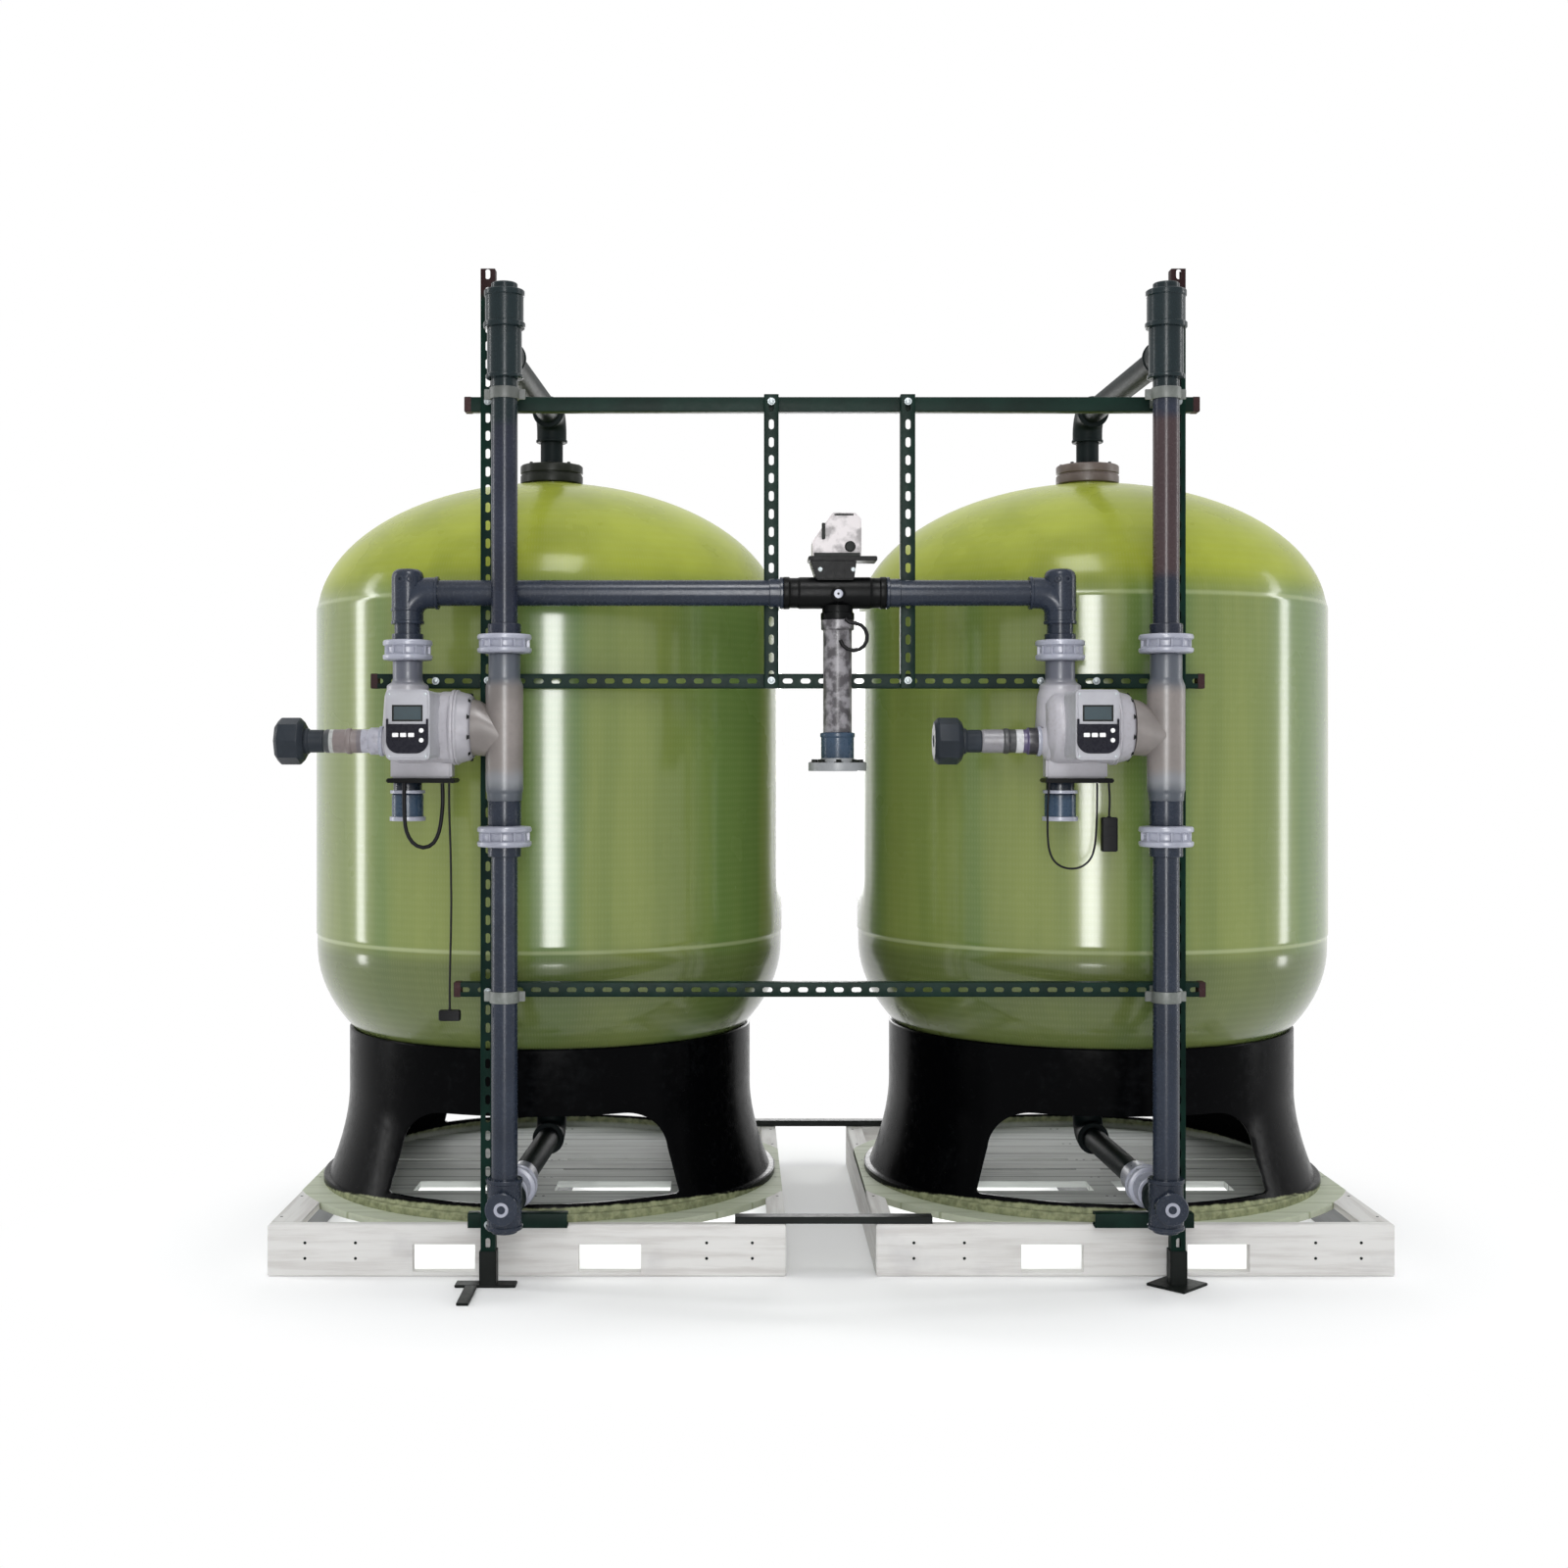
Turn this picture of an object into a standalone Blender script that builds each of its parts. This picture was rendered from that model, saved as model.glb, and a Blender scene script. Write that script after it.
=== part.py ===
"""Twin-tank industrial water softener on two pallets, in metres with +Z up.

Two glass-fibre pressure vessels stand on moulded skirts. A frame of slotted strut channel in front of
them carries the plastic pipework, two side valves with control heads and a changeover valve.
Sizes below are measured from the tank plane: X from midway between the tanks, Y from their axes
(away from the viewer), Z from the floor. One empty moves the whole assembly so that the middle of its
outline lies over the origin.
"""

import math

import bmesh
import bpy
from mathutils import Matrix, Vector

# Clearances
TOUCH = 0.0003
SLIP = 0.0005

# Vessels
TANK_RADIUS = 0.755
TANK_HALF_GAP = 0.125
TANK_X = TANK_RADIUS + TANK_HALF_GAP
TANK_WALL = 0.012
OVERWRAP = 0.003
CYLINDER_LOW_Z = 0.90
CYLINDER_HIGH_Z = 1.95
SEAM_LOW_Z = 0.935
SEAM_HIGH_Z = 1.981
TOP_DOME_HEIGHT = 0.440
LOW_DOME_HEIGHT = 0.490
NECK_RADIUS = 0.090
NECK_BORE = 0.0635
NECK_TOP_Z = 2.394
BOSS_RADIUS = 0.105
BOSS_BORE = 0.052
BOSS_Z = 0.372
TANK_SIDES = 24
DOME_STEPS = 5
BED_TOP_Z = 1.55
BED_CORE_RADIUS = 0.062
BED_CORE_TOP_Z = 0.80
BED_SIDES = 12

# Skirts
SKIRT_TOP_Z = 0.64
SKIRT_WAIST_Z = 0.44
SKIRT_WALL = 0.012
SKIRT_FOOT_RADIUS = 0.714
SKIRT_FLARE = 0.42
SKIRT_FOOT_LIP = 0.018
SKIRT_FOOT_LIP_HEIGHT = 0.022
ARCH_HALF_WIDTH = 0.430
ARCH_TOP_HALF_WIDTH = 0.330
ARCH_LOW_Z = 0.196
ARCH_TOP_Z = 0.443
ARCH_CORNER = 0.110

# Pallets
PALLET_HALF = 0.750
PALLET_HEIGHT = 0.150
DECK_THICKNESS = 0.020
STRINGER_WIDTH = 0.038
DECK_RADIUS = 0.840
DECK_SIDES = 16
OUTER_BOARD = 0.200
INNER_BOARD = 0.054
FORK_NEAR_X = 0.150
FORK_FAR_X = 0.330
FORK_LOW_Z = 0.013
FORK_HIGH_Z = 0.093
DECK_GAPS = ((-0.320, -0.190, 0.400), (-0.022, -0.010, 0.600), (0.130, 0.142, 0.600))

# Strut channel
STRUT = 0.0413
STRUT_WALL = 0.0026
STRUT_LIP = 0.0095
STRUT_RETURN = 0.0070
SLOT_PITCH = 0.0508
SLOT_LENGTH = 0.0286
SLOT_WIDTH = 0.0143

# Frame
RAIL_CLEARANCE = 0.065
RAIL_FRONT_Y = -(TANK_RADIUS + RAIL_CLEARANCE)
UPRIGHT_OUTSET = 0.098
UPRIGHT_X = TANK_X + UPRIGHT_OUTSET
UPRIGHT_TOP_Z = 2.885
RAILS = {
    "top_rail": (-1.050, 1.048, 2.509, False),
    "middle_rail": (-1.317, 1.062, 1.719, True),
    "lower_rail": (-1.080, 1.065, 0.838, True),
}
HANGERS = {"hanger_left": -0.175, "hanger_right": 0.212}
BRACKETS = {"foot_bracket_left": (-1.041, -0.757), "foot_bracket_right": (0.750, 1.032)}
BRACKET_Z = 0.178
TIE_LOW_X = -0.278
TIE_HIGH_X = 0.294
TIE_HEIGHT = 0.0206
TIE_INSET = 0.0300
BASE_PLATE = 0.124
BASE_THICKNESS = 0.008
SOCKET_HEIGHT = 0.095
SOCKET_WALL = 0.003
FOOT_BAR = (-0.094, 0.079, 0.050)
FOOT_TOE = (-0.064, -0.030, -0.200)

# Pipework
PIPE_RADIUS = 0.0365
PIPE_BORE = 0.0300
FITTING_RADIUS = 0.0480
UNION_RADIUS = 0.0750
PIPE_SIDES = 12
BORE_SIDES = 8
BEND_STEPS = 3
RISER_OUTSET = 0.037
RISER_X = TANK_X + RISER_OUTSET
HEADER_GAP = 0.0020
TOP_TEE_Z = 2.620
RISER_TOP_Z = 2.815
TOP_CAP_RADIUS = 0.0560
UPPER_UNION_Z = (1.7885, 1.8435)
LOWER_UNION_Z = (1.2520, 1.3120)
CASTING_LOW_Z = 1.410
CASTING_HIGH_Z = 1.700
BOTTOM_RUN_Z = 0.265
RISER_FOOT_Z = 0.185
BOTTOM_UNION = (0.185, 0.235)
BOTTOM_UNION_RADIUS = 0.060
FRONT_PLUG_RADIUS = 0.044
ADAPTER_RADIUS = 0.102
ADAPTER_TOP_Z = 2.456
ADAPTER_GROOVE = 0.004
DIFFUSER_LOW_Z = 2.170
COLLECTOR_TOP_Z = 0.700
BASKET_RADIUS = 0.046
BASKET_WALL = 0.006
BASKET_SLOT_PITCH = 0.095
BASKET_SLOT_HEIGHT = 0.012
SOCKET_LENGTH = 0.030
ELBOW_BEND = 0.058
TEE_REACH = 0.070
CAP_STEP = 0.020
BOTTOM_FLANGE = 0.026
PLUG_REACH = 0.080
CLAMP_HEIGHT = 0.032
CLAMP_WALL = 0.004
ARM_HALF_WIDTH = 0.0128

# Header and changeover valve
HEADER_Z = 1.963
LEG_OFFSET = -0.281
LEG_UNION_Z = (1.772, 1.832)
LEG_UNION_RADIUS = 0.0690
CHANGEOVER_X = (-0.142, 0.146)
CHANGEOVER_RADIUS = 0.0455
CHANGEOVER_BORE = 0.0320
CAP_TOP_Z = 2.063
CAP_BRIM_Z = 2.050
CAP_HALF_WIDTH = 0.075
CAP_FOOT_HALF_WIDTH = 0.0525
CAP_THROAT_HALF_WIDTH = 0.060
CAP_BRIM_X = 0.119
CAP_DEPTH = 0.092
OUTLET_X = 0.0100
OUTLET_RADIUS = 0.0400
NECK_DROP = 0.076
OUTLET_TOP_Z = HEADER_Z - NECK_DROP
OUTLET_COUPLING_Z = OUTLET_TOP_Z - 0.318
OUTLET_FLANGE_Z = (OUTLET_TOP_Z - 0.424, OUTLET_TOP_Z - 0.400)
OUTLET_FLANGE_RADIUS = 0.0815
CHANGEOVER_SPOOL_LENGTH = 0.130
SPOOL_LAND = 0.22
SPOOL_STEM = 0.0126
HEADER_ELBOW_RADIUS = 0.0440
END_RING = 0.010
NECK_RING = 0.027
NECK_COLLAR_RADIUS = 0.0470
BOSS_CENTRE_Z = 1.957
BOSS_PROUD = 0.008
BOSS_FACE_RADIUS = 0.022
HOOD_LEFT_X = -0.062
HOOD_RIGHT_X = 0.075
HOOD_CROWN_X = -0.005
HOOD_SHOULDER_Z = 2.105
HOOD_TOP_Z = 2.185
HOOD_CHAMFER = 0.018
HOOD_DEPTH = 0.084
HOOD_ROUND = 0.005

# Side valves, with X measured from each riser
VALVE_LEFT = -0.330
VALVE_RIGHT = -0.090
VALVE_FORWARD = 0.032
VALVE_Z = 1.585
VALVE_RADIUS = 0.100
VALVE_RIDGE_X = -0.138
SPIGOT_Z = 1.5465
SPIGOT_RADIUS = 0.0330
SPIGOT_RING = (-0.352, -0.342, 0.0420)
SPIGOT_END = -0.507
SPIGOT_BORE = 0.0180
DRAIN_NUT_END = -0.640
DRAIN_NUT_BACK = -0.560
DRAIN_NUT_RADIUS = 0.0655
STUB_LOW_Z = 1.323
STUB_SHELF_Z = (1.430, 1.455)
STUB_RADIUS = 0.0440
CYLINDER_BORE = 0.0500
CYLINDER_BORE_X = (-0.305, -0.125)
PISTON_LENGTH = 0.120
PISTON_STEM = 0.0180
VALVE_NOSE = 0.018
VALVE_NOSE_RADIUS = 0.072
VALVE_TAIL_RADIUS = 0.090
POST_REACH = 0.080
PISTON_LAND = 0.024
VALVE_RIDGE = 0.005
VALVE_SIDES = 16
HUB_RADIUS = 0.0415
HUB_FLARE = 0.020
FLARE_RADIUS = 0.0580
STUB_LIP = 0.0060
STUB_LIP_HEIGHT = 0.012
STUB_SOCKET_GAP = 0.010
STUB_SOCKET_DEPTH = 0.040
SHELF_LEFT = 0.050
SHELF_RIGHT = 0.140
SHELF_FRONT = 0.062
SHELF_BACK = 0.045
NUT_SIDES = 8
CASTING_RADIUS = 0.0520
COUPLING_RADIUS = 0.0460
MOUTH_FORWARD = 0.018
MOUTH_RADIUS = 0.0750
THROAT_RADIUS = 0.0650
THROAT_DROP = 0.024

# Control heads
HEAD_X = -0.231
HEAD_WIDTH = 0.117
HEAD_LOW_Z = 1.495
HEAD_HIGH_Z = 1.682
HEAD_REACH = 0.375
HEAD_FACE_Y = RAIL_FRONT_Y - HEAD_REACH
PANEL_PROUD = 0.005
PANEL_WIDTH = 0.112
PANEL_TOP_Z = 1.590
PANEL_LOW_Z = 1.512
WINDOW_WIDTH = 0.082
WINDOW_Z = (1.602, 1.652)
WINDOW_DEPTH = 0.003
KEY_Z = 1.561
KEY_HEIGHT = 0.011
KEY_WIDTH = 0.016
KEY_PITCH = 0.021
KEY_ROW_X = -0.031
KEY_COUNT = 3
KEY_GAP = 0.0003
KEY_DEPTH = 0.010
KEY_PROUD = 0.003
KEY_TRAVEL = 0.002
KEY_CORNER = 0.002
KEY_ROUND_SIDES = 10
HEAD_CORNER = 0.014
SADDLE_REACH = 0.72
PANEL_CORNER = 0.034
ROUND_KEY_X = 0.038
ROUND_KEY_Z = (1.573, 1.547)
ROUND_KEY_RADIUS = 0.006

# Cords
CABLE_RADIUS = 0.0055
LEAD_RADIUS = 0.0030
CORD_SPACING = 3.0
CABLE_CLEAR = 0.008
RING_CLEAR = 0.0080
CABLE_LOOP_LEFT = (
    (0.000, 0.000),
    (0.000, 0.030),
    (0.000, 0.060),
    (0.001, 0.090),
    (0.003, 0.118),
    (0.010, 0.144),
    (0.024, 0.166),
    (0.044, 0.178),
    (0.064, 0.178),
    (0.082, 0.166),
    (0.094, 0.144),
    (0.101, 0.116),
    (0.105, 0.086),
    (0.107, 0.056),
    (0.107, 0.026),
    (0.106, 0.000),
)
CABLE_LOOP_RIGHT = (
    (-0.040, 0.000),
    (-0.042, 0.030),
    (-0.044, 0.070),
    (-0.045, 0.110),
    (-0.044, 0.150),
    (-0.040, 0.186),
    (-0.028, 0.214),
    (-0.006, 0.232),
    (0.024, 0.238),
    (0.054, 0.230),
    (0.076, 0.208),
    (0.086, 0.176),
    (0.090, 0.140),
    (0.092, 0.100),
    (0.093, 0.050),
    (0.093, 0.000),
)
LEADS = {"left": (0.125, 0.628, 0.006), "right": (0.126, 0.092, 0.002)}
LEAD_SHAPE = (
    (0.00, 0.0),
    (0.06, 0.0),
    (0.13, 0.1),
    (0.20, 0.3),
    (0.28, 0.6),
    (0.36, 0.8),
    (0.44, 0.9),
    (0.52, 1.0),
    (0.60, 0.9),
    (0.68, 0.8),
    (0.76, 0.6),
    (0.84, 0.4),
    (0.90, 0.3),
    (0.95, 0.3),
    (1.00, 0.3),
)
PLUGS = {"left": (0.060, 0.032, 0.026), "right": (0.044, 0.098, 0.030)}
PLUG_CORNER = 0.006
RING_X = 0.052
RING_Z = 1.838
RING_SIZE = 0.0385
RING_SHAPE = (
    (-0.60, 1.30),
    (-0.45, 1.12),
    (-0.20, 1.00),
    (0.10, 0.98),
    (0.45, 0.88),
    (0.75, 0.65),
    (0.95, 0.30),
    (1.00, -0.10),
    (0.90, -0.48),
    (0.65, -0.80),
    (0.30, -0.97),
    (-0.10, -1.00),
    (-0.48, -0.88),
    (-0.78, -0.62),
    (-0.95, -0.25),
)

# Values worked out from those above
UPRIGHT_Y = RAIL_FRONT_Y - STRUT / 2 - TOUCH
HEADER_Y = UPRIGHT_Y - STRUT / 2 - TOUCH - PIPE_RADIUS
RISER_Y = HEADER_Y - 2 * PIPE_RADIUS - HEADER_GAP
VALVE_Y = HEADER_Y - VALVE_FORWARD
REAR_Y = max(PALLET_HALF, TANK_RADIUS)
FRONT_Y = HEAD_FACE_Y - PANEL_PROUD - KEY_PROUD
CENTRE_SHIFT = Vector((0.0, -(REAR_Y + FRONT_Y) / 2, 0.0))

SIDES = {"left": -1, "right": 1}
X_AXIS = Vector((1, 0, 0))
Y_AXIS = Vector((0, 1, 0))
Z_AXIS = Vector((0, 0, 1))


def make_material(name, colour, roughness, metallic=0.0):
    """One Principled material with a plain colour."""
    material = bpy.data.materials.new(name)
    material.use_nodes = True
    shader = material.node_tree.nodes["Principled BSDF"]
    shader.inputs["Base Color"].default_value = (*colour, 1.0)
    shader.inputs["Roughness"].default_value = roughness
    shader.inputs["Metallic"].default_value = metallic
    material.diffuse_color = (*colour, 1.0)
    return material


def add_object(name, mesh, material, helper=False):
    """Links a mesh as an object under the assembly's empty."""
    item = bpy.data.objects.new(name, mesh)
    bpy.context.scene.collection.objects.link(item)
    mesh.materials.append(material)
    item.parent = bpy.data.objects["assembly_centre"]
    if helper:
        item.hide_render = True
        item.display_type = "WIRE"
    else:
        mesh.shade_smooth()
        mesh.set_sharp_from_angle(angle=math.radians(35))
    return item


def to_mesh(name, work):
    """Turns a bmesh with outward faces into a mesh."""
    bmesh.ops.recalc_face_normals(work, faces=work.faces)
    mesh = bpy.data.meshes.new(name)
    work.to_mesh(mesh)
    work.free()
    return mesh


def basis_for(direction):
    """Two unit vectors square to a direction, the first as near to +X as it can be."""
    side = X_AXIS - direction * X_AXIS.dot(direction)
    if side.length < 0.1:
        side = Y_AXIS - direction * Y_AXIS.dot(direction)
    side.normalize()
    return side, direction.cross(side)


def skin(work, rings, closed=False):
    """Faces between rings of vertices, with flat caps or joined end to end."""
    count = len(rings[0])
    pairs = list(zip(rings, rings[1:]))
    if closed:
        pairs.append((rings[-1], rings[0]))
    for first, second in pairs:
        for i in range(count):
            j = (i + 1) % count
            work.faces.new((first[i], first[j], second[j], second[i]))
    if not closed:
        work.faces.new(rings[0])
        work.faces.new(rings[-1])


def turned(profile, sides, hollow=False, turn=0.0):
    """A profile of (radius, height) points turned about Z. A hollow one is a closed loop of points."""
    work = bmesh.new()
    rings = []
    for radius, height in profile:
        angles = [turn + math.tau * i / sides for i in range(sides)]
        rings.append([work.verts.new((radius * math.cos(a), radius * math.sin(a), height)) for a in angles])
    skin(work, rings, closed=hollow)
    return work


def place(work, origin, direction=Z_AXIS):
    """Stands work built along Z at a point, along a direction."""
    side, other = basis_for(direction)
    turn = Matrix((side, other, direction)).transposed().to_4x4()
    bmesh.ops.transform(work, matrix=Matrix.Translation(origin) @ turn, verts=work.verts)
    return work


def prism(outline, depth):
    """An outline of (x, y) points raised along Z."""
    work = bmesh.new()
    low = [work.verts.new((x, y, 0.0)) for x, y in outline]
    high = [work.verts.new((x, y, depth)) for x, y in outline]
    skin(work, [low, high])
    return work


def upright_prism(outline, low_y, high_y):
    """An outline of (x, z) points carried along Y."""
    work = bmesh.new()
    near = [work.verts.new((x, low_y, z)) for x, z in outline]
    far = [work.verts.new((x, high_y, z)) for x, z in outline]
    skin(work, [near, far])
    return work


def block(low, high):
    """A box between two corners."""
    outline = [(low[0], low[1]), (high[0], low[1]), (high[0], high[1]), (low[0], high[1])]
    work = prism(outline, high[2] - low[2])
    bmesh.ops.translate(work, vec=(0.0, 0.0, low[2]), verts=work.verts)
    return work


def arc(centre, radius, start, end, steps):
    """Points of an arc in the plane, angles in degrees."""
    angles = [math.radians(start + (end - start) * i / steps) for i in range(steps + 1)]
    return [(centre[0] + radius * math.cos(a), centre[1] + radius * math.sin(a)) for a in angles]


def rounded_box_outline(width, height, radius, steps=3):
    """A rectangle about the origin with round corners."""
    x, y = width / 2 - radius, height / 2 - radius
    corners = (((x, y), 0), ((-x, y), 90), ((-x, -y), 180), ((x, -y), 270))
    return [point for centre, start in corners for point in arc(centre, radius, start, start + 90, steps)]


def centre_line(points, bend_radius):
    """Stations (distance, centre, direction) along straight runs joined by arcs."""
    points = [Vector(point) for point in points]
    stations = [(points[0], (points[1] - points[0]).normalized())]
    for before, corner, after in zip(points, points[1:], points[2:]):
        way_in = (corner - before).normalized()
        way_out = (after - corner).normalized()
        turn = way_in.angle(way_out)
        reach = bend_radius * math.tan(turn / 2)
        spin_axis = way_in.cross(way_out).normalized()
        start = corner - way_in * reach
        hub = start + spin_axis.cross(way_in) * bend_radius
        for i in range(BEND_STEPS + 1):
            spin = Matrix.Rotation(turn * i / BEND_STEPS, 3, spin_axis)
            stations.append((hub + spin @ (start - hub), spin @ way_in))
    stations.append((points[-1], (points[-1] - points[-2]).normalized()))
    distance = 0.0
    measured = [(distance, *stations[0])]
    for before, here in zip(stations, stations[1:]):
        distance += (here[0] - before[0]).length
        measured.append((distance, *here))
    return measured


def station_at(line, distance):
    """The centre and direction at a distance along a centre line."""
    for before, here in zip(line, line[1:]):
        if distance <= here[0] + 1e-9:
            share = (distance - before[0]) / max(here[0] - before[0], 1e-9)
            return before[1].lerp(here[1], share), before[2].lerp(here[2], share).normalized()
    return line[-1][1], line[-1][2]


def pipe_rings(work, line, radius, collars=(), sides=PIPE_SIDES):
    """Rings along a centre line. Collars are (start, end, radius) stretches of another radius."""
    cuts = {round(station[0], 6) for station in line}
    edges = {round(min(max(d, 0.0), line[-1][0]), 6) for collar in collars for d in collar[:2]}
    side = basis_for(line[0][2])[0]
    rings = []
    for distance in sorted(cuts | edges):
        centre, direction = station_at(line, distance)
        side = (side - direction * side.dot(direction)).normalized()
        other = direction.cross(side)

        def radius_near(offset, distance=distance):
            for start, end, collar_radius in collars:
                if start < distance + offset < end:
                    return collar_radius
            return radius

        for size in dict.fromkeys((radius_near(-1e-5), radius_near(1e-5))):
            angles = [math.tau * i / sides for i in range(sides)]
            spots = [centre + size * (side * math.cos(a) + other * math.sin(a)) for a in angles]
            rings.append([work.verts.new(spot) for spot in spots])
    return rings


def solid_pipe(points, radius, bend_radius, collars=(), sides=PIPE_SIDES):
    """A solid bar along a path, with collars where its fittings are."""
    work = bmesh.new()
    skin(work, pipe_rings(work, centre_line(points, bend_radius), radius, collars, sides))
    return work


def hollow_pipe(points, radius, bore, bend_radius, collars=(), sides=PIPE_SIDES):
    """A pipe along a path, open at both ends."""
    work = bmesh.new()
    line = centre_line(points, bend_radius)
    outside = pipe_rings(work, line, radius, collars, sides)
    inside = pipe_rings(work, line, bore, (), sides)
    skin(work, outside + inside[::-1], closed=True)
    return work


def shape(name, base, material, join=(), cut=()):
    """An object from a base shape with others joined to it and cut from it."""
    item = add_object(name, to_mesh(name, base), material)
    for operation, shapes in (("UNION", join), ("DIFFERENCE", cut)):
        for number, work in enumerate(shapes):
            label = f"{name}.{operation.lower()}{number}"
            tool = add_object(label, to_mesh(label, work), material, helper=True)
            modifier = item.modifiers.new(label, "BOOLEAN")
            modifier.operation = operation
            modifier.object = tool
    return item


def move_origin(item, point):
    """Puts an object's origin at a point of the assembly without moving its shape."""
    item.data.transform(Matrix.Translation(-Vector(point)))
    item.location = point


def dome_points(full_radius, rise, inner_radius, steps):
    """Points (radius, height) of a dome from its widest ring to a neck's radius."""
    end = math.acos(inner_radius / full_radius)
    angles = [end * i / steps for i in range(steps + 1)]
    return [(full_radius * math.cos(a), rise * math.sin(a)) for a in angles]


def vessel_profile():
    """The pressure vessel's closed profile, down the outside and up the inside."""
    body = TANK_RADIUS - OVERWRAP
    inner = body - TANK_WALL
    top = dome_points(body, TOP_DOME_HEIGHT, NECK_RADIUS, DOME_STEPS)
    inner_top = dome_points(inner, TOP_DOME_HEIGHT - TANK_WALL, NECK_BORE, DOME_STEPS - 1)
    outside = [(NECK_RADIUS, NECK_TOP_Z)]
    outside += [(r, CYLINDER_HIGH_Z + z) for r, z in reversed(top) if z > SEAM_HIGH_Z - CYLINDER_HIGH_Z]
    outside += [(body, SEAM_HIGH_Z), (TANK_RADIUS, SEAM_HIGH_Z - OVERWRAP)]
    outside += [(TANK_RADIUS, SEAM_LOW_Z + OVERWRAP), (body, SEAM_LOW_Z)]
    outside += outer_dome()
    outside += [(BOSS_RADIUS, BOSS_Z)]
    inside = [(BOSS_BORE, BOSS_Z)]
    inside += reversed(inner_dome())
    inside += [(r, CYLINDER_HIGH_Z + z) for r, z in inner_top]
    inside += [(NECK_BORE, NECK_TOP_Z)]
    return outside + inside


def inner_dome():
    """The lower dome's inner points (radius, height), from its widest ring down to the boss."""
    inner = TANK_RADIUS - OVERWRAP - TANK_WALL
    points = dome_points(inner, LOW_DOME_HEIGHT - TANK_WALL, BOSS_BORE, DOME_STEPS - 1)
    return [(r, CYLINDER_LOW_Z - z) for r, z in points]


def outer_dome():
    """The lower dome's outer points (radius, height), from its widest ring down to the boss."""
    points = dome_points(TANK_RADIUS - OVERWRAP, LOW_DOME_HEIGHT, BOSS_RADIUS, DOME_STEPS)
    return [(r, CYLINDER_LOW_Z - z) for r, z in points]


def crossing(points, index, value):
    """The point of a polyline where its coordinate of that index takes a value."""
    for before, after in zip(points, points[1:]):
        low, high = sorted((before[index], after[index]))
        if low <= value <= high:
            share = (value - before[index]) / (after[index] - before[index])
            return tuple(a + (b - a) * share for a, b in zip(before, after))
    raise ValueError(f"no point of the line has {value}")


def bed_profile():
    """The resin bed, resting in the lower dome round the collector."""
    dome = inner_dome()
    resting = [point for point in dome if point[0] > BED_CORE_RADIUS] + [crossing(dome, 0, BED_CORE_RADIUS)]
    profile = [(resting[0][0] - SLIP, BED_TOP_Z)]
    profile += [(r - SLIP, z + SLIP) for r, z in resting]
    profile += [(BED_CORE_RADIUS - SLIP, BED_CORE_TOP_Z)]
    return profile


def skirt_top_radius():
    """The lower dome's radius where the skirt's top edge wraps it, on the shell's own facets."""
    return crossing(outer_dome(), 1, SKIRT_TOP_Z)[0]


def skirt_profile():
    """The skirt's closed profile: a straight waist that flares to a lipped foot."""
    seat = skirt_top_radius() + SLIP
    waist = seat + SKIRT_WALL
    foot = SKIRT_FOOT_RADIUS
    low = PALLET_HEIGHT + TOUCH
    middle = (SKIRT_WAIST_Z + low) / 2
    bulge = waist + (foot - waist) * SKIRT_FLARE
    return [
        (waist, SKIRT_TOP_Z),
        (waist, SKIRT_WAIST_Z),
        (bulge, middle),
        (foot, low + SKIRT_FOOT_LIP_HEIGHT),
        (foot + SKIRT_FOOT_LIP, low + SKIRT_FOOT_LIP_HEIGHT),
        (foot + SKIRT_FOOT_LIP, low),
        (foot - SKIRT_WALL, low),
        (bulge - SKIRT_WALL, middle),
        (seat, SKIRT_WAIST_Z),
        (seat, SKIRT_TOP_Z),
    ]


def arch_outline():
    """The skirt's arch window as (x, z) points, with round upper corners."""
    slope = math.degrees(math.atan2(ARCH_TOP_Z - ARCH_LOW_Z, ARCH_HALF_WIDTH - ARCH_TOP_HALF_WIDTH))
    hub = (ARCH_TOP_HALF_WIDTH - ARCH_CORNER, ARCH_TOP_Z - ARCH_CORNER)
    right = arc(hub, ARCH_CORNER, 90 - slope, 90, 4)
    return [(ARCH_HALF_WIDTH, ARCH_LOW_Z), *right, *[(-x, z) for x, z in reversed(right)], (-ARCH_HALF_WIDTH, ARCH_LOW_Z)]


def build_vessel(side, x, finish):
    """Shell, resin bed and skirt of one vessel."""
    spot = Vector((x, 0.0, 0.0))
    shell = place(turned(vessel_profile(), TANK_SIDES, hollow=True), spot)
    shape(f"tank_shell_{side}", shell, finish["glass_fibre"])
    shape(f"media_bed_{side}", place(turned(bed_profile(), BED_SIDES), spot), finish["resin"])
    skirt = place(turned(skirt_profile(), TANK_SIDES, hollow=True), spot)
    window = upright_prism(arch_outline(), -TANK_RADIUS - STRUT, TANK_RADIUS + STRUT)
    bmesh.ops.translate(window, vec=spot, verts=window.verts)
    shape(f"skirt_{side}", skirt, finish["skirt"], cut=[window])


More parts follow.
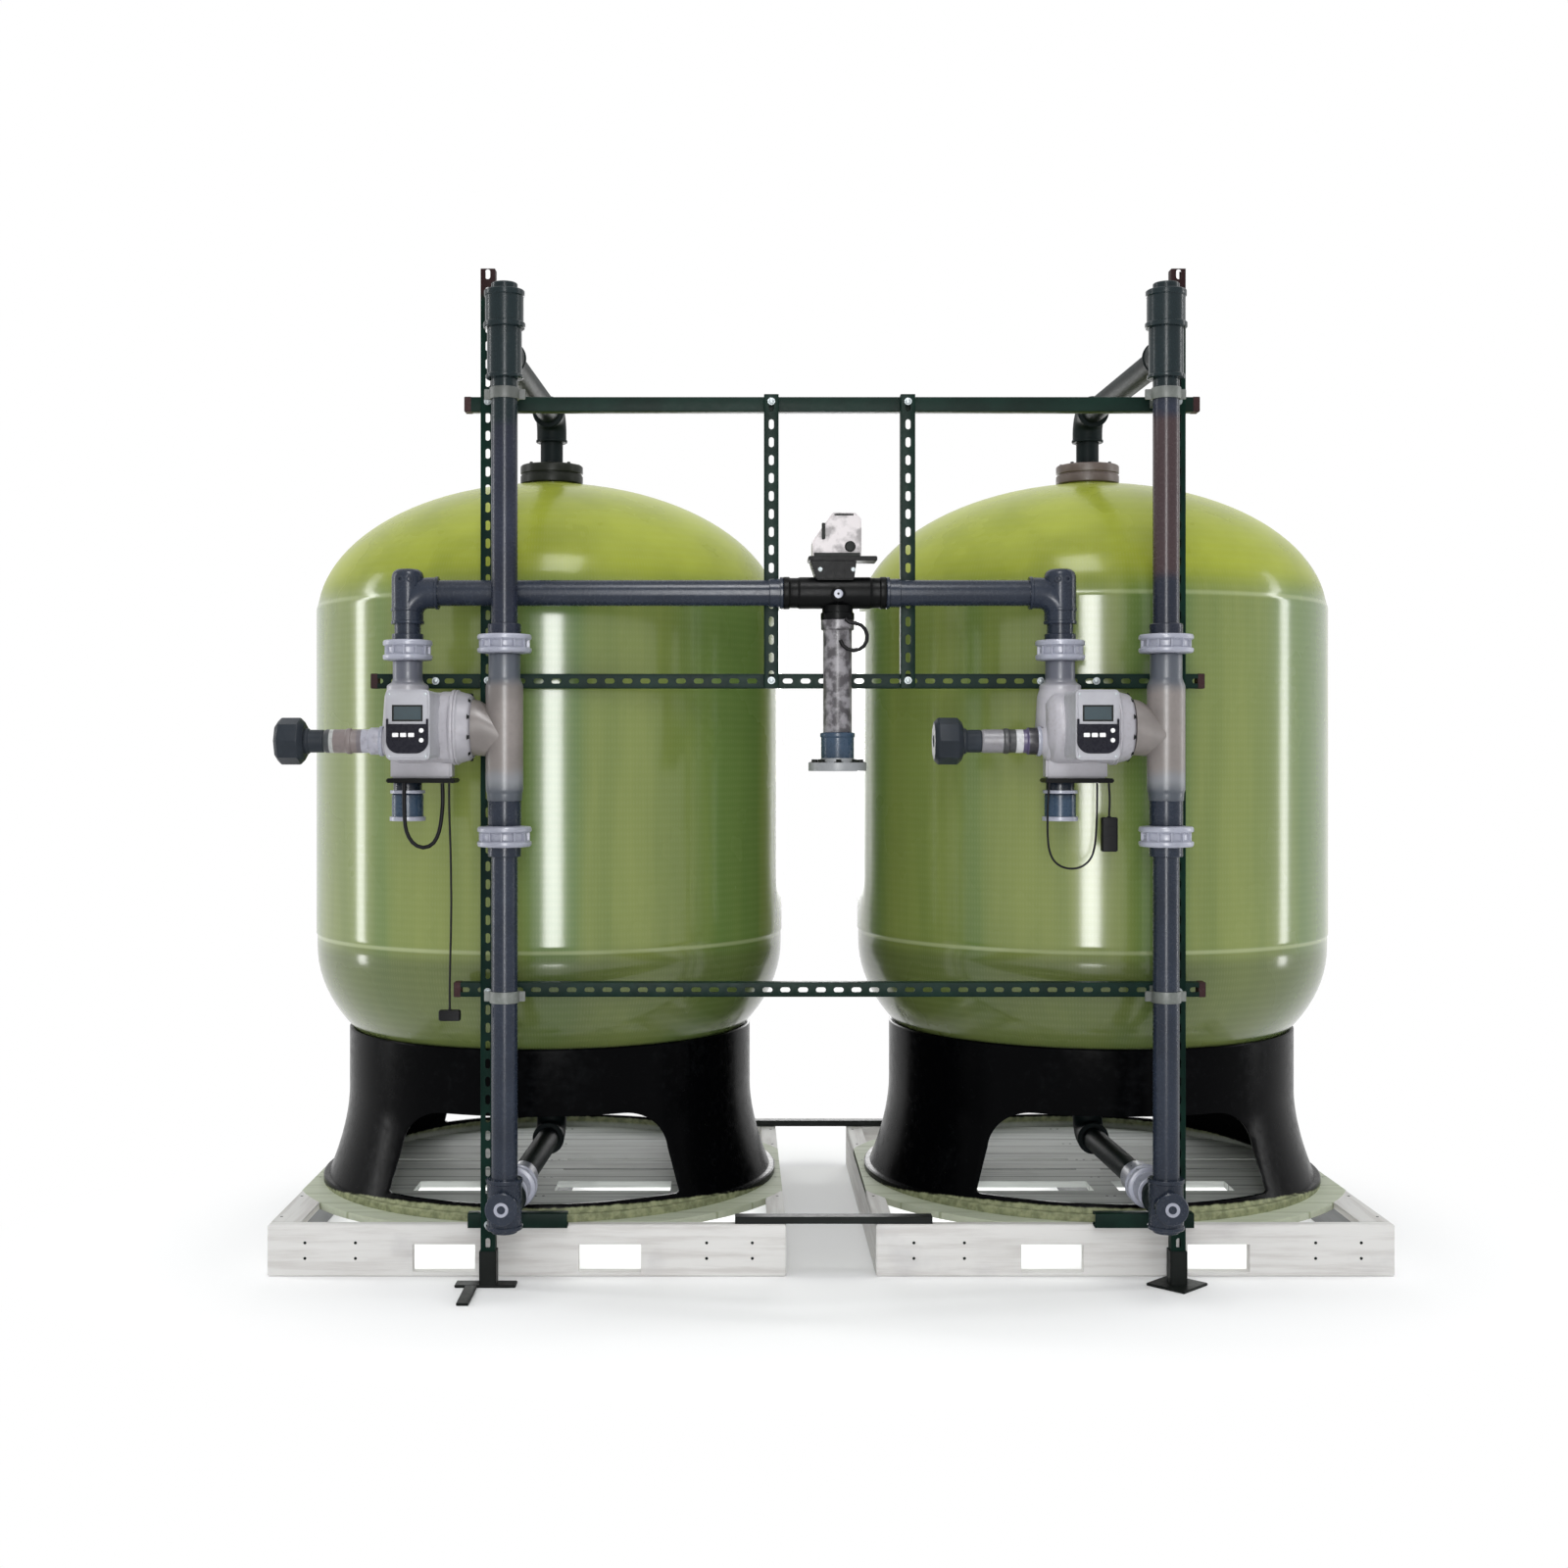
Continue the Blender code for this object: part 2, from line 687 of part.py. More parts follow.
def build_pallet(side, x, outward, finish):
    """A nailed pallet: edge boards with fork pockets, a round deck plate and two side boards."""
    half = PALLET_HALF
    low_deck = PALLET_HEIGHT - DECK_THICKNESS
    boards = [
        block((-half, half - STRINGER_WIDTH, 0.0), (half, half, PALLET_HEIGHT)),
        block((-half, -half, 0.0), (STRINGER_WIDTH - half, half, PALLET_HEIGHT)),
        block((half - STRINGER_WIDTH, -half, 0.0), (half, half, PALLET_HEIGHT)),
        block((-STRINGER_WIDTH, -half, 0.0), (STRINGER_WIDTH, half, low_deck + TOUCH)),
    ]
    for width, way in ((OUTER_BOARD, outward), (INNER_BOARD, -outward)):
        near, far = sorted((way * half, way * (half - width)))
        boards.append(block((near, -half, low_deck), (far, half, PALLET_HEIGHT)))
    disc = turned([(DECK_RADIUS, low_deck), (DECK_RADIUS, PALLET_HEIGHT)], DECK_SIDES)
    for way in (X_AXIS, -X_AXIS, Y_AXIS, -Y_AXIS):
        everything = disc.verts[:] + disc.edges[:] + disc.faces[:]
        cut = bmesh.ops.bisect_plane(disc, geom=everything, plane_co=way * half, plane_no=way, clear_outer=True)
        bmesh.ops.contextual_create(disc, geom=[e for e in cut["geom_cut"] if isinstance(e, bmesh.types.BMEdge)])
    boards.append(disc)
    cuts = []
    for way in (-1, 1):
        near, far = sorted((way * FORK_NEAR_X, way * FORK_FAR_X))
        cuts.append(block((near, -half - TOUCH, FORK_LOW_Z), (far, half + TOUCH, FORK_HIGH_Z)))
    for low_y, high_y, reach in DECK_GAPS:
        for near, far in ((-reach, -STRINGER_WIDTH - TOUCH), (STRINGER_WIDTH + TOUCH, reach)):
            cuts.append(block((near, low_y, low_deck - TOUCH), (far, high_y, PALLET_HEIGHT + TOUCH)))
    base = block((-half, -half, 0.0), (half, STRINGER_WIDTH - half, PALLET_HEIGHT))
    for work in [base, *boards, *cuts]:
        bmesh.ops.translate(work, vec=(x, 0.0, 0.0), verts=work.verts)
    shape(f"pallet_{side}", base, finish["timber"], join=boards, cut=cuts)


def fitted(points, bend_radius, start=(), end=(), elbow=FITTING_RADIUS):
    """Collars of a pipe run: those near its start, those measured back from its end, and one at each bend."""
    line = centre_line(points, bend_radius)
    length = line[-1][0]
    collars = list(start) + [(length - high, length - low, radius) for low, high, radius in end]
    for bend in range(len(points) - 2):
        first = line[1 + bend * (BEND_STEPS + 1)][0]
        last = line[(bend + 1) * (BEND_STEPS + 1)][0]
        collars.append((first - SOCKET_LENGTH, last + SOCKET_LENGTH, elbow))
    return collars


def basket_cuts(x, low_z, high_z):
    """Cross slots of a strainer basket, one above the other."""
    count = int((high_z - low_z) / BASKET_SLOT_PITCH)
    cuts = []
    for i in range(count):
        z = low_z + (i + 0.5) * BASKET_SLOT_PITCH
        half = (BASKET_RADIUS * 0.5, BASKET_RADIUS * 2, BASKET_SLOT_HEIGHT / 2)
        cuts.append(block((x - half[0], -half[1], z - half[2]), (x + half[0], half[1], z + half[2])))
    return cuts


def build_neck_fittings(side, x, riser_x, finish):
    """Top adapter with its diffuser, and the pipe spools above and below the side casting."""
    bore = BASKET_RADIUS - BASKET_WALL
    groove_z = (NECK_TOP_Z + ADAPTER_TOP_Z) / 2
    seat = NECK_TOP_Z + TOUCH
    profile = [
        (bore, DIFFUSER_LOW_Z + BASKET_WALL),
        (bore, NECK_TOP_Z),
        (PIPE_BORE, NECK_TOP_Z + BASKET_WALL),
        (PIPE_BORE, ADAPTER_TOP_Z),
        (ADAPTER_RADIUS, ADAPTER_TOP_Z),
        (ADAPTER_RADIUS, groove_z + ADAPTER_GROOVE / 2),
        (ADAPTER_RADIUS - ADAPTER_GROOVE, groove_z + ADAPTER_GROOVE / 2),
        (ADAPTER_RADIUS - ADAPTER_GROOVE, groove_z - ADAPTER_GROOVE / 2),
        (ADAPTER_RADIUS, groove_z - ADAPTER_GROOVE / 2),
        (ADAPTER_RADIUS, seat),
        (BASKET_RADIUS, seat),
        (BASKET_RADIUS, DIFFUSER_LOW_Z),
    ]
    adapter = place(turned(profile, PIPE_SIDES), Vector((x, 0.0, 0.0)))
    cuts = basket_cuts(x, DIFFUSER_LOW_Z, NECK_TOP_Z - BASKET_SLOT_PITCH)
    shape(f"top_adapter_{side}", adapter, finish["dark_fitting"], cut=cuts)

    low, high = UPPER_UNION_Z
    foot = (riser_x, RISER_Y, low)
    column = [foot, (riser_x, RISER_Y, RISER_TOP_Z)]
    sizes = [
        (0.0, high - low, UNION_RADIUS),
        (TOP_TEE_Z - TEE_REACH - low, TOP_TEE_Z + TEE_REACH - low, FITTING_RADIUS),
        (TOP_TEE_Z + TEE_REACH - low, RISER_TOP_Z - CAP_STEP - low, TOP_CAP_RADIUS),
    ]
    branch = [(riser_x, RISER_Y, TOP_TEE_Z), (x, 0.0, TOP_TEE_Z), (x, 0.0, ADAPTER_TOP_Z + TOUCH)]
    ends = fitted(branch, ELBOW_BEND, start=[(0.0, TEE_REACH, FITTING_RADIUS)], end=[(0.0, SOCKET_LENGTH, FITTING_RADIUS)])
    inner_column = [(riser_x, RISER_Y, low - TOUCH), (riser_x, RISER_Y, TOP_TEE_Z)]
    inner_branch = branch[:2] + [(x, 0.0, ADAPTER_TOP_Z - TOUCH)]
    shape(
        f"upper_spool_{side}",
        solid_pipe(column, PIPE_RADIUS, ELBOW_BEND, sizes),
        finish["pipe"],
        join=[solid_pipe(branch, PIPE_RADIUS, ELBOW_BEND, ends)],
        cut=[
            solid_pipe(inner_column, PIPE_BORE, ELBOW_BEND, sides=BORE_SIDES),
            solid_pipe(inner_branch, PIPE_BORE, ELBOW_BEND, sides=BORE_SIDES),
        ],
    )

    low, high = LOWER_UNION_Z
    column = [(riser_x, RISER_Y, high), (riser_x, RISER_Y, RISER_FOOT_Z)]
    tee = high - BOTTOM_RUN_Z
    sizes = [(0.0, high - low, UNION_RADIUS), (tee - TEE_REACH, tee + TEE_REACH, FITTING_RADIUS)]
    flange_low = BOSS_Z - TOUCH - BOTTOM_FLANGE
    run = [(riser_x, RISER_Y, BOTTOM_RUN_Z), (x, 0.0, BOTTOM_RUN_Z), (x, 0.0, COLLECTOR_TOP_Z)]
    end = COLLECTOR_TOP_Z
    collars = fitted(
        run,
        ELBOW_BEND,
        start=[(0.0, TEE_REACH, FITTING_RADIUS), (*BOTTOM_UNION, BOTTOM_UNION_RADIUS)],
        end=[(0.0, end - BOSS_Z + TOUCH, BASKET_RADIUS), (end - BOSS_Z + TOUCH, end - flange_low, BOSS_RADIUS)],
    )
    plug = [(riser_x, RISER_Y, BOTTOM_RUN_Z), (riser_x, RISER_Y - PLUG_REACH, BOTTOM_RUN_Z)]
    inner_column = [(riser_x, RISER_Y, high + TOUCH), (riser_x, RISER_Y, BOTTOM_RUN_Z)]
    inner_run = run[:2] + [(x, 0.0, COLLECTOR_TOP_Z - BASKET_WALL)]
    shape(
        f"lower_spool_{side}",
        solid_pipe(column, PIPE_RADIUS, ELBOW_BEND, sizes),
        finish["pipe"],
        join=[solid_pipe(run, PIPE_RADIUS, ELBOW_BEND, collars), solid_pipe(plug, FRONT_PLUG_RADIUS, ELBOW_BEND)],
        cut=[
            solid_pipe(inner_column, PIPE_BORE, ELBOW_BEND, sides=BORE_SIDES),
            solid_pipe(inner_run, PIPE_BORE, ELBOW_BEND, sides=BORE_SIDES),
            *basket_cuts(x, BOSS_Z + BASKET_SLOT_PITCH, COLLECTOR_TOP_Z),
        ],
    )


def channel(length, slotted):
    """Strut channel along Z with its web towards the viewer, and the tool that punches its slots."""
    h, t = STRUT / 2, STRUT_WALL
    half = [
        (h, -h),
        (h, h),
        (h - STRUT_LIP, h),
        (h - STRUT_LIP, h - STRUT_RETURN),
        (h - STRUT_LIP + t, h - STRUT_RETURN),
        (h - STRUT_LIP + t, h - t),
        (h - t, h - t),
        (h - t, t - h),
    ]
    work = prism(half + [(-x, y) for x, y in reversed(half)], length)
    if not slotted:
        return work, []
    slots = bmesh.new()
    tip, side = SLOT_LENGTH / 2, SLOT_WIDTH / 2
    outline = [(side, -tip), (side, tip), (-side, tip), (-side, -tip)]
    count = int((length - SLOT_LENGTH) / SLOT_PITCH) + 1
    first = (length - (count - 1) * SLOT_PITCH) / 2
    for i in range(count):
        z = first + i * SLOT_PITCH
        near = [slots.verts.new((x, -h - TOUCH, z + up)) for x, up in outline]
        far = [slots.verts.new((x, t - h + TOUCH, z + up)) for x, up in outline]
        skin(slots, [near, far])
    return work, [slots]


def lay_along_x(work, start):
    """Turns a channel built along Z to run along X, with its web still towards the viewer."""
    turn = Matrix((-Z_AXIS, Y_AXIS, X_AXIS)).transposed().to_4x4()
    bmesh.ops.transform(work, matrix=Matrix.Translation(start) @ turn, verts=work.verts)
    return work


def pipe_clamp(riser_x, z):
    """A strap round a riser and the stand-off that carries it on a rail."""
    grip = PIPE_RADIUS + SLIP
    half = CLAMP_HEIGHT / 2
    ring = [(grip, -half), (grip + CLAMP_WALL, -half), (grip + CLAMP_WALL, half), (grip, half)]
    strap = place(turned(ring, PIPE_SIDES, hollow=True), Vector((riser_x, RISER_Y, z)))
    near_y = RISER_Y + grip + CLAMP_WALL / 2
    arm = block((riser_x - ARM_HALF_WIDTH, near_y, z - ARM_HALF_WIDTH), (riser_x + ARM_HALF_WIDTH, RAIL_FRONT_Y + TOUCH * 2, z + ARM_HALF_WIDTH))
    return [strap, arm]


def build_frame(finish):
    """Uprights, rails, hangers, foot brackets, tie bars and post bases."""
    rail_y = RAIL_FRONT_Y + STRUT / 2
    for side, way in SIDES.items():
        post, slots = channel(UPRIGHT_TOP_Z - BASE_THICKNESS - TOUCH, True)
        foot = Vector((way * UPRIGHT_X, UPRIGHT_Y, BASE_THICKNESS + TOUCH))
        for work in (post, *slots):
            bmesh.ops.translate(work, vec=foot, verts=work.verts)
        shape(f"upright_{side}", post, finish["strut"], cut=slots)
        build_post_base(side, way, finish)
    for name, (low_x, high_x, z, slotted) in RAILS.items():
        rail, slots = channel(high_x - low_x, slotted)
        start = Vector((low_x, rail_y, z))
        clamps = []
        if name != "middle_rail":
            clamps = [piece for way in SIDES.values() for piece in pipe_clamp(way * RISER_X, z)]
        tools = [lay_along_x(work, start) for work in slots]
        shape(name, lay_along_x(rail, start), finish["strut"], join=clamps, cut=tools)
    hanger_low = RAILS["middle_rail"][2] - STRUT / 2
    hanger_high = RAILS["top_rail"][2] + STRUT / 2
    for name, x in HANGERS.items():
        hanger, slots = channel(hanger_high - hanger_low, True)
        for work in (hanger, *slots):
            bmesh.ops.translate(work, vec=(x, UPRIGHT_Y, hanger_low), verts=work.verts)
        shape(name, hanger, finish["strut"], cut=slots)
    for name, (low_x, high_x) in BRACKETS.items():
        bracket, slots = channel(high_x - low_x, False)
        shape(name, lay_along_x(bracket, Vector((low_x, rail_y, BRACKET_Z))), finish["strut"])
    for name, way in (("tie_bar_front", -1), ("tie_bar_rear", 1)):
        y = way * (PALLET_HALF - TIE_INSET)
        low = (TIE_LOW_X, y - STRUT / 2, PALLET_HEIGHT + TOUCH)
        high = (TIE_HIGH_X, y + STRUT / 2, PALLET_HEIGHT + TOUCH + TIE_HEIGHT)
        groove_low = (low[0] - TOUCH, low[1] + STRUT_WALL, low[2] - TOUCH)
        groove_high = (high[0] + TOUCH, high[1] - STRUT_WALL, high[2] - STRUT_WALL)
        shape(name, block(low, high), finish["strut"], cut=[block(groove_low, groove_high)])


def build_post_base(side, way, finish):
    """The welded foot of an upright: a socket on a turned plate at the right, on a toed bar at the left."""
    spot = Vector((way * UPRIGHT_X, UPRIGHT_Y, 0.0))
    inner = STRUT / 2 + TOUCH
    outer = inner + SOCKET_WALL
    plates = []
    if way > 0:
        reach = BASE_PLATE / math.sqrt(2)
        plates.append(prism([(reach, 0.0), (0.0, reach), (-reach, 0.0), (0.0, -reach)], BASE_THICKNESS))
    else:
        low_x, high_x, width = FOOT_BAR
        plates.append(block((low_x, -width / 2, 0.0), (high_x, width / 2, BASE_THICKNESS)))
        toe_low, toe_high, toe_end = FOOT_TOE
        plates.append(block((toe_low, toe_end, 0.0), (toe_high, 0.0, BASE_THICKNESS)))
    socket = block((-outer, -outer, 0.0), (outer, outer, BASE_THICKNESS + SOCKET_HEIGHT))
    hole = block((-inner, -inner, BASE_THICKNESS), (inner, inner, BASE_THICKNESS + SOCKET_HEIGHT + TOUCH))
    for work in (socket, hole, *plates):
        bmesh.ops.translate(work, vec=spot, verts=work.verts)
    shape(f"post_base_{side}", socket, finish["black_steel"], join=plates, cut=[hole])


def turned_along_x(profile, start_x, y, z, sides=PIPE_SIDES, hollow=False):
    """A profile of (radius, x) points turned about a level line through (y, z)."""
    work = turned([(radius, x - start_x) for radius, x in profile], sides, hollow)
    return place(work, Vector((start_x, y, z)), X_AXIS)


def lofted_across_x(sections, sides=PIPE_SIDES):
    """A duct through round sections (centre, radius) that all stand square to X."""
    work = bmesh.new()
    rings = []
    for (x, y, z), radius in sections:
        angles = [math.tau * i / sides for i in range(sides)]
        rings.append([work.verts.new((x, y + radius * math.cos(a), z + radius * math.sin(a))) for a in angles])
    skin(work, rings)
    return work


def upright_bar(x, y, low_z, high_z, radius, collars=(), sides=PIPE_SIDES):
    """A solid round bar standing at a point, with collars given as (low z, high z, radius)."""
    rises = [(low - low_z, high - low_z, size) for low, high, size in collars]
    return solid_pipe([(x, y, low_z), (x, y, high_z)], radius, ELBOW_BEND, rises, sides)


def build_valve(side, riser_x, finish):
    """Side valve with its ports and drain spigot, its piston, the drain nut and the casting on the riser."""
    leg_x = riser_x + LEG_OFFSET
    left, right = riser_x + VALVE_LEFT, riser_x + VALVE_RIGHT
    ridge = riser_x + VALVE_RIDGE_X
    barrel = [
        (VALVE_NOSE_RADIUS, left),
        (VALVE_RADIUS, left + VALVE_NOSE),
        (VALVE_RADIUS, ridge - VALVE_RIDGE),
        (VALVE_RADIUS + VALVE_RIDGE, ridge - VALVE_RIDGE),
        (VALVE_RADIUS + VALVE_RIDGE, ridge + VALVE_RIDGE),
        (VALVE_RADIUS, ridge + VALVE_RIDGE),
        (VALVE_TAIL_RADIUS, right),
    ]
    inlet_top = LEG_UNION_Z[0] - TOUCH
    hub_low = VALVE_Z + VALVE_RADIUS
    inlet = upright_bar(leg_x, HEADER_Y, VALVE_Z, inlet_top, HUB_RADIUS, [(VALVE_Z, hub_low + HUB_FLARE, FLARE_RADIUS)])
    shelf_low, shelf_high = STUB_SHELF_Z
    lip_high = STUB_LOW_Z + STUB_LIP_HEIGHT
    lips = [
        (STUB_LOW_Z, lip_high, STUB_RADIUS + STUB_LIP),
        (lip_high, shelf_low - STUB_SOCKET_GAP, STUB_RADIUS),
    ]
    stub = upright_bar(leg_x, HEADER_Y, STUB_LOW_Z, VALVE_Z, PIPE_RADIUS, lips)
    shelf = block(
        (leg_x - SHELF_LEFT, HEADER_Y - SHELF_FRONT, shelf_low),
        (leg_x + SHELF_RIGHT, HEADER_Y + SHELF_BACK, shelf_high),
    )
    post = block(
        (leg_x - SHELF_LEFT, HEADER_Y - PIPE_RADIUS, shelf_high - TOUCH),
        (leg_x + SHELF_RIGHT, HEADER_Y + PIPE_RADIUS, VALVE_Z - POST_REACH),
    )
    ring_low, ring_high, ring_radius = (riser_x + SPIGOT_RING[0], riser_x + SPIGOT_RING[1], SPIGOT_RING[2])
    spigot_end = riser_x + SPIGOT_END
    spigot = [
        (SPIGOT_RADIUS, spigot_end),
        (SPIGOT_RADIUS, ring_low),
        (ring_radius, ring_low),
        (ring_radius, ring_high),
        (SPIGOT_RADIUS, ring_high),
        (SPIGOT_RADIUS, left + VALVE_NOSE * 2),
    ]
    bore_low, bore_high = riser_x + CYLINDER_BORE_X[0], riser_x + CYLINDER_BORE_X[1]
    cylinder = turned_along_x([(CYLINDER_BORE, bore_low), (CYLINDER_BORE, bore_high)], bore_low, VALVE_Y, VALVE_Z)
    outlet = turned_along_x(
        [(PIPE_BORE, bore_high - SLIP), (PIPE_BORE, right + SLIP)], bore_high, VALVE_Y, VALVE_Z, BORE_SIDES
    )
    drain = turned_along_x(
        [(SPIGOT_BORE, spigot_end - SLIP), (SPIGOT_BORE, bore_low + SLIP)], spigot_end, VALVE_Y, SPIGOT_Z, BORE_SIDES
    )
    shape(
        f"valve_body_{side}",
        turned_along_x(barrel, left, VALVE_Y, VALVE_Z, VALVE_SIDES),
        finish["valve"],
        join=[inlet, stub, shelf, post, turned_along_x(spigot, spigot_end, VALVE_Y, SPIGOT_Z)],
        cut=[
            cylinder,
            outlet,
            drain,
            upright_bar(leg_x, HEADER_Y, STUB_LOW_Z - TOUCH, inlet_top + TOUCH, PIPE_BORE, sides=BORE_SIDES),
            upright_bar(leg_x, HEADER_Y, STUB_LOW_Z - TOUCH * 2, lip_high + STUB_SOCKET_DEPTH, PIPE_RADIUS + SLIP),
        ],
    )

    piston_x = bore_low + TOUCH
    land = PISTON_LAND
    full = CYLINDER_BORE - SLIP
    piston = [
        (full, piston_x),
        (full, piston_x + land),
        (PISTON_STEM, piston_x + land),
        (PISTON_STEM, piston_x + PISTON_LENGTH - land),
        (full, piston_x + PISTON_LENGTH - land),
        (full, piston_x + PISTON_LENGTH),
    ]
    item = shape(f"valve_piston_{side}", turned_along_x(piston, piston_x, VALVE_Y, VALVE_Z), finish["piston"])
    move_origin(item, (piston_x, VALVE_Y, VALVE_Z))

    nut_end = riser_x + DRAIN_NUT_END
    nut_run = [(nut_end, VALVE_Y, SPIGOT_Z), (spigot_end - TOUCH, VALVE_Y, SPIGOT_Z)]
    nut_collar = [(0.0, DRAIN_NUT_BACK - DRAIN_NUT_END, DRAIN_NUT_RADIUS)]
    nut = hollow_pipe(nut_run, SPIGOT_RADIUS, SPIGOT_BORE, ELBOW_BEND, nut_collar, NUT_SIDES)
    shape(f"drain_nut_{side}", nut, finish["dark_fitting"])

    casting_low, casting_high = LOWER_UNION_Z[1] + TOUCH, UPPER_UNION_Z[0] - TOUCH
    collars = [(casting_low, CASTING_LOW_Z, COUPLING_RADIUS), (CASTING_LOW_Z, CASTING_HIGH_Z, CASTING_RADIUS)]
    column = upright_bar(riser_x, RISER_Y, casting_low, casting_high, COUPLING_RADIUS, collars)
    mouth_y = VALVE_Y - MOUTH_FORWARD
    mouth = (right + TOUCH, mouth_y, VALVE_Z)
    throat = ((right + riser_x) / 2, (mouth_y + RISER_Y) / 2, VALVE_Z - THROAT_DROP / 2)
    seat = (riser_x, RISER_Y, VALVE_Z - THROAT_DROP)
    arm = lofted_across_x([(mouth, MOUTH_RADIUS), (throat, THROAT_RADIUS), (seat, CASTING_RADIUS - SLIP)])
    inner_mouth = (right - TOUCH, VALVE_Y, VALVE_Z)
    duct = lofted_across_x([(inner_mouth, PIPE_BORE), (throat, PIPE_BORE), (seat, PIPE_BORE - SLIP)], BORE_SIDES)
    shape(
        f"side_manifold_{side}",
        column,
        finish["valve"],
        join=[arm],
        cut=[
            upright_bar(riser_x, RISER_Y, casting_low - TOUCH, casting_high + TOUCH, PIPE_BORE, sides=BORE_SIDES),
            duct,
        ],
    )


def build_control_head(side, riser_x, finish):
    """Control housing with display window and black key panel, and its five sprung keys."""
    x = riser_x + HEAD_X
    height = HEAD_HIGH_Z - HEAD_LOW_Z
    middle = (HEAD_HIGH_Z + HEAD_LOW_Z) / 2
    outline = [(x + a, middle + b) for a, b in rounded_box_outline(HEAD_WIDTH, height, HEAD_CORNER)]
    back_y = VALVE_Y - VALVE_RADIUS * SADDLE_REACH
    saddle = turned_along_x(
        [(VALVE_RADIUS + SLIP, x - HEAD_WIDTH), (VALVE_RADIUS + SLIP, x + HEAD_WIDTH)],
        x - HEAD_WIDTH,
        VALVE_Y,
        VALVE_Z,
        VALVE_SIDES,
    )
    panel_y = HEAD_FACE_Y - PANEL_PROUD
    half = PANEL_WIDTH / 2
    hub_z = PANEL_LOW_Z + PANEL_CORNER
    right = arc((half - PANEL_CORNER, hub_z), PANEL_CORNER, 0, -90, 4)
    left = arc((PANEL_CORNER - half, hub_z), PANEL_CORNER, -90, -180, 4)
    panel_outline = [(x + a, b) for a, b in [(half, PANEL_TOP_Z), *right, *left, (-half, PANEL_TOP_Z)]]
    panel = upright_prism(panel_outline, panel_y, HEAD_FACE_Y + PANEL_PROUD)
    window = block(
        (x - WINDOW_WIDTH / 2, HEAD_FACE_Y - TOUCH, WINDOW_Z[0]),
        (x + WINDOW_WIDTH / 2, HEAD_FACE_Y + WINDOW_DEPTH, WINDOW_Z[1]),
    )
    keys = []
    for i in range(KEY_COUNT):
        spot = (x + KEY_ROW_X + i * KEY_PITCH, KEY_Z)
        keys.append((f"key_{side}_{i + 1}", spot, rounded_box_outline(KEY_WIDTH, KEY_HEIGHT, KEY_CORNER, 1)))
    for i, z in enumerate(ROUND_KEY_Z):
        circle = arc((0.0, 0.0), ROUND_KEY_RADIUS, 0, 360 - 360 / KEY_ROUND_SIDES, KEY_ROUND_SIDES - 1)
        keys.append((f"round_key_{side}_{i + 1}", (x + ROUND_KEY_X, z), circle))
    pockets = []
    for name, (key_x, key_z), key_outline in keys:
        grow = 1.0 + 2 * KEY_GAP / KEY_HEIGHT
        wide = [(key_x + a * grow, key_z + b * grow) for a, b in key_outline]
        pockets.append(upright_prism(wide, panel_y - TOUCH, panel_y + KEY_DEPTH))
        snug = [(key_x + a, key_z + b) for a, b in key_outline]
        key_back = panel_y + KEY_DEPTH - KEY_TRAVEL - TOUCH
        key = shape(name, upright_prism(snug, panel_y - KEY_PROUD, key_back), finish["key"])
        move_origin(key, (key_x, panel_y, key_z))
    shape(
        f"control_head_{side}",
        upright_prism(outline, HEAD_FACE_Y, back_y),
        finish["head"],
        join=[panel],
        cut=[saddle, window, *pockets],
    )


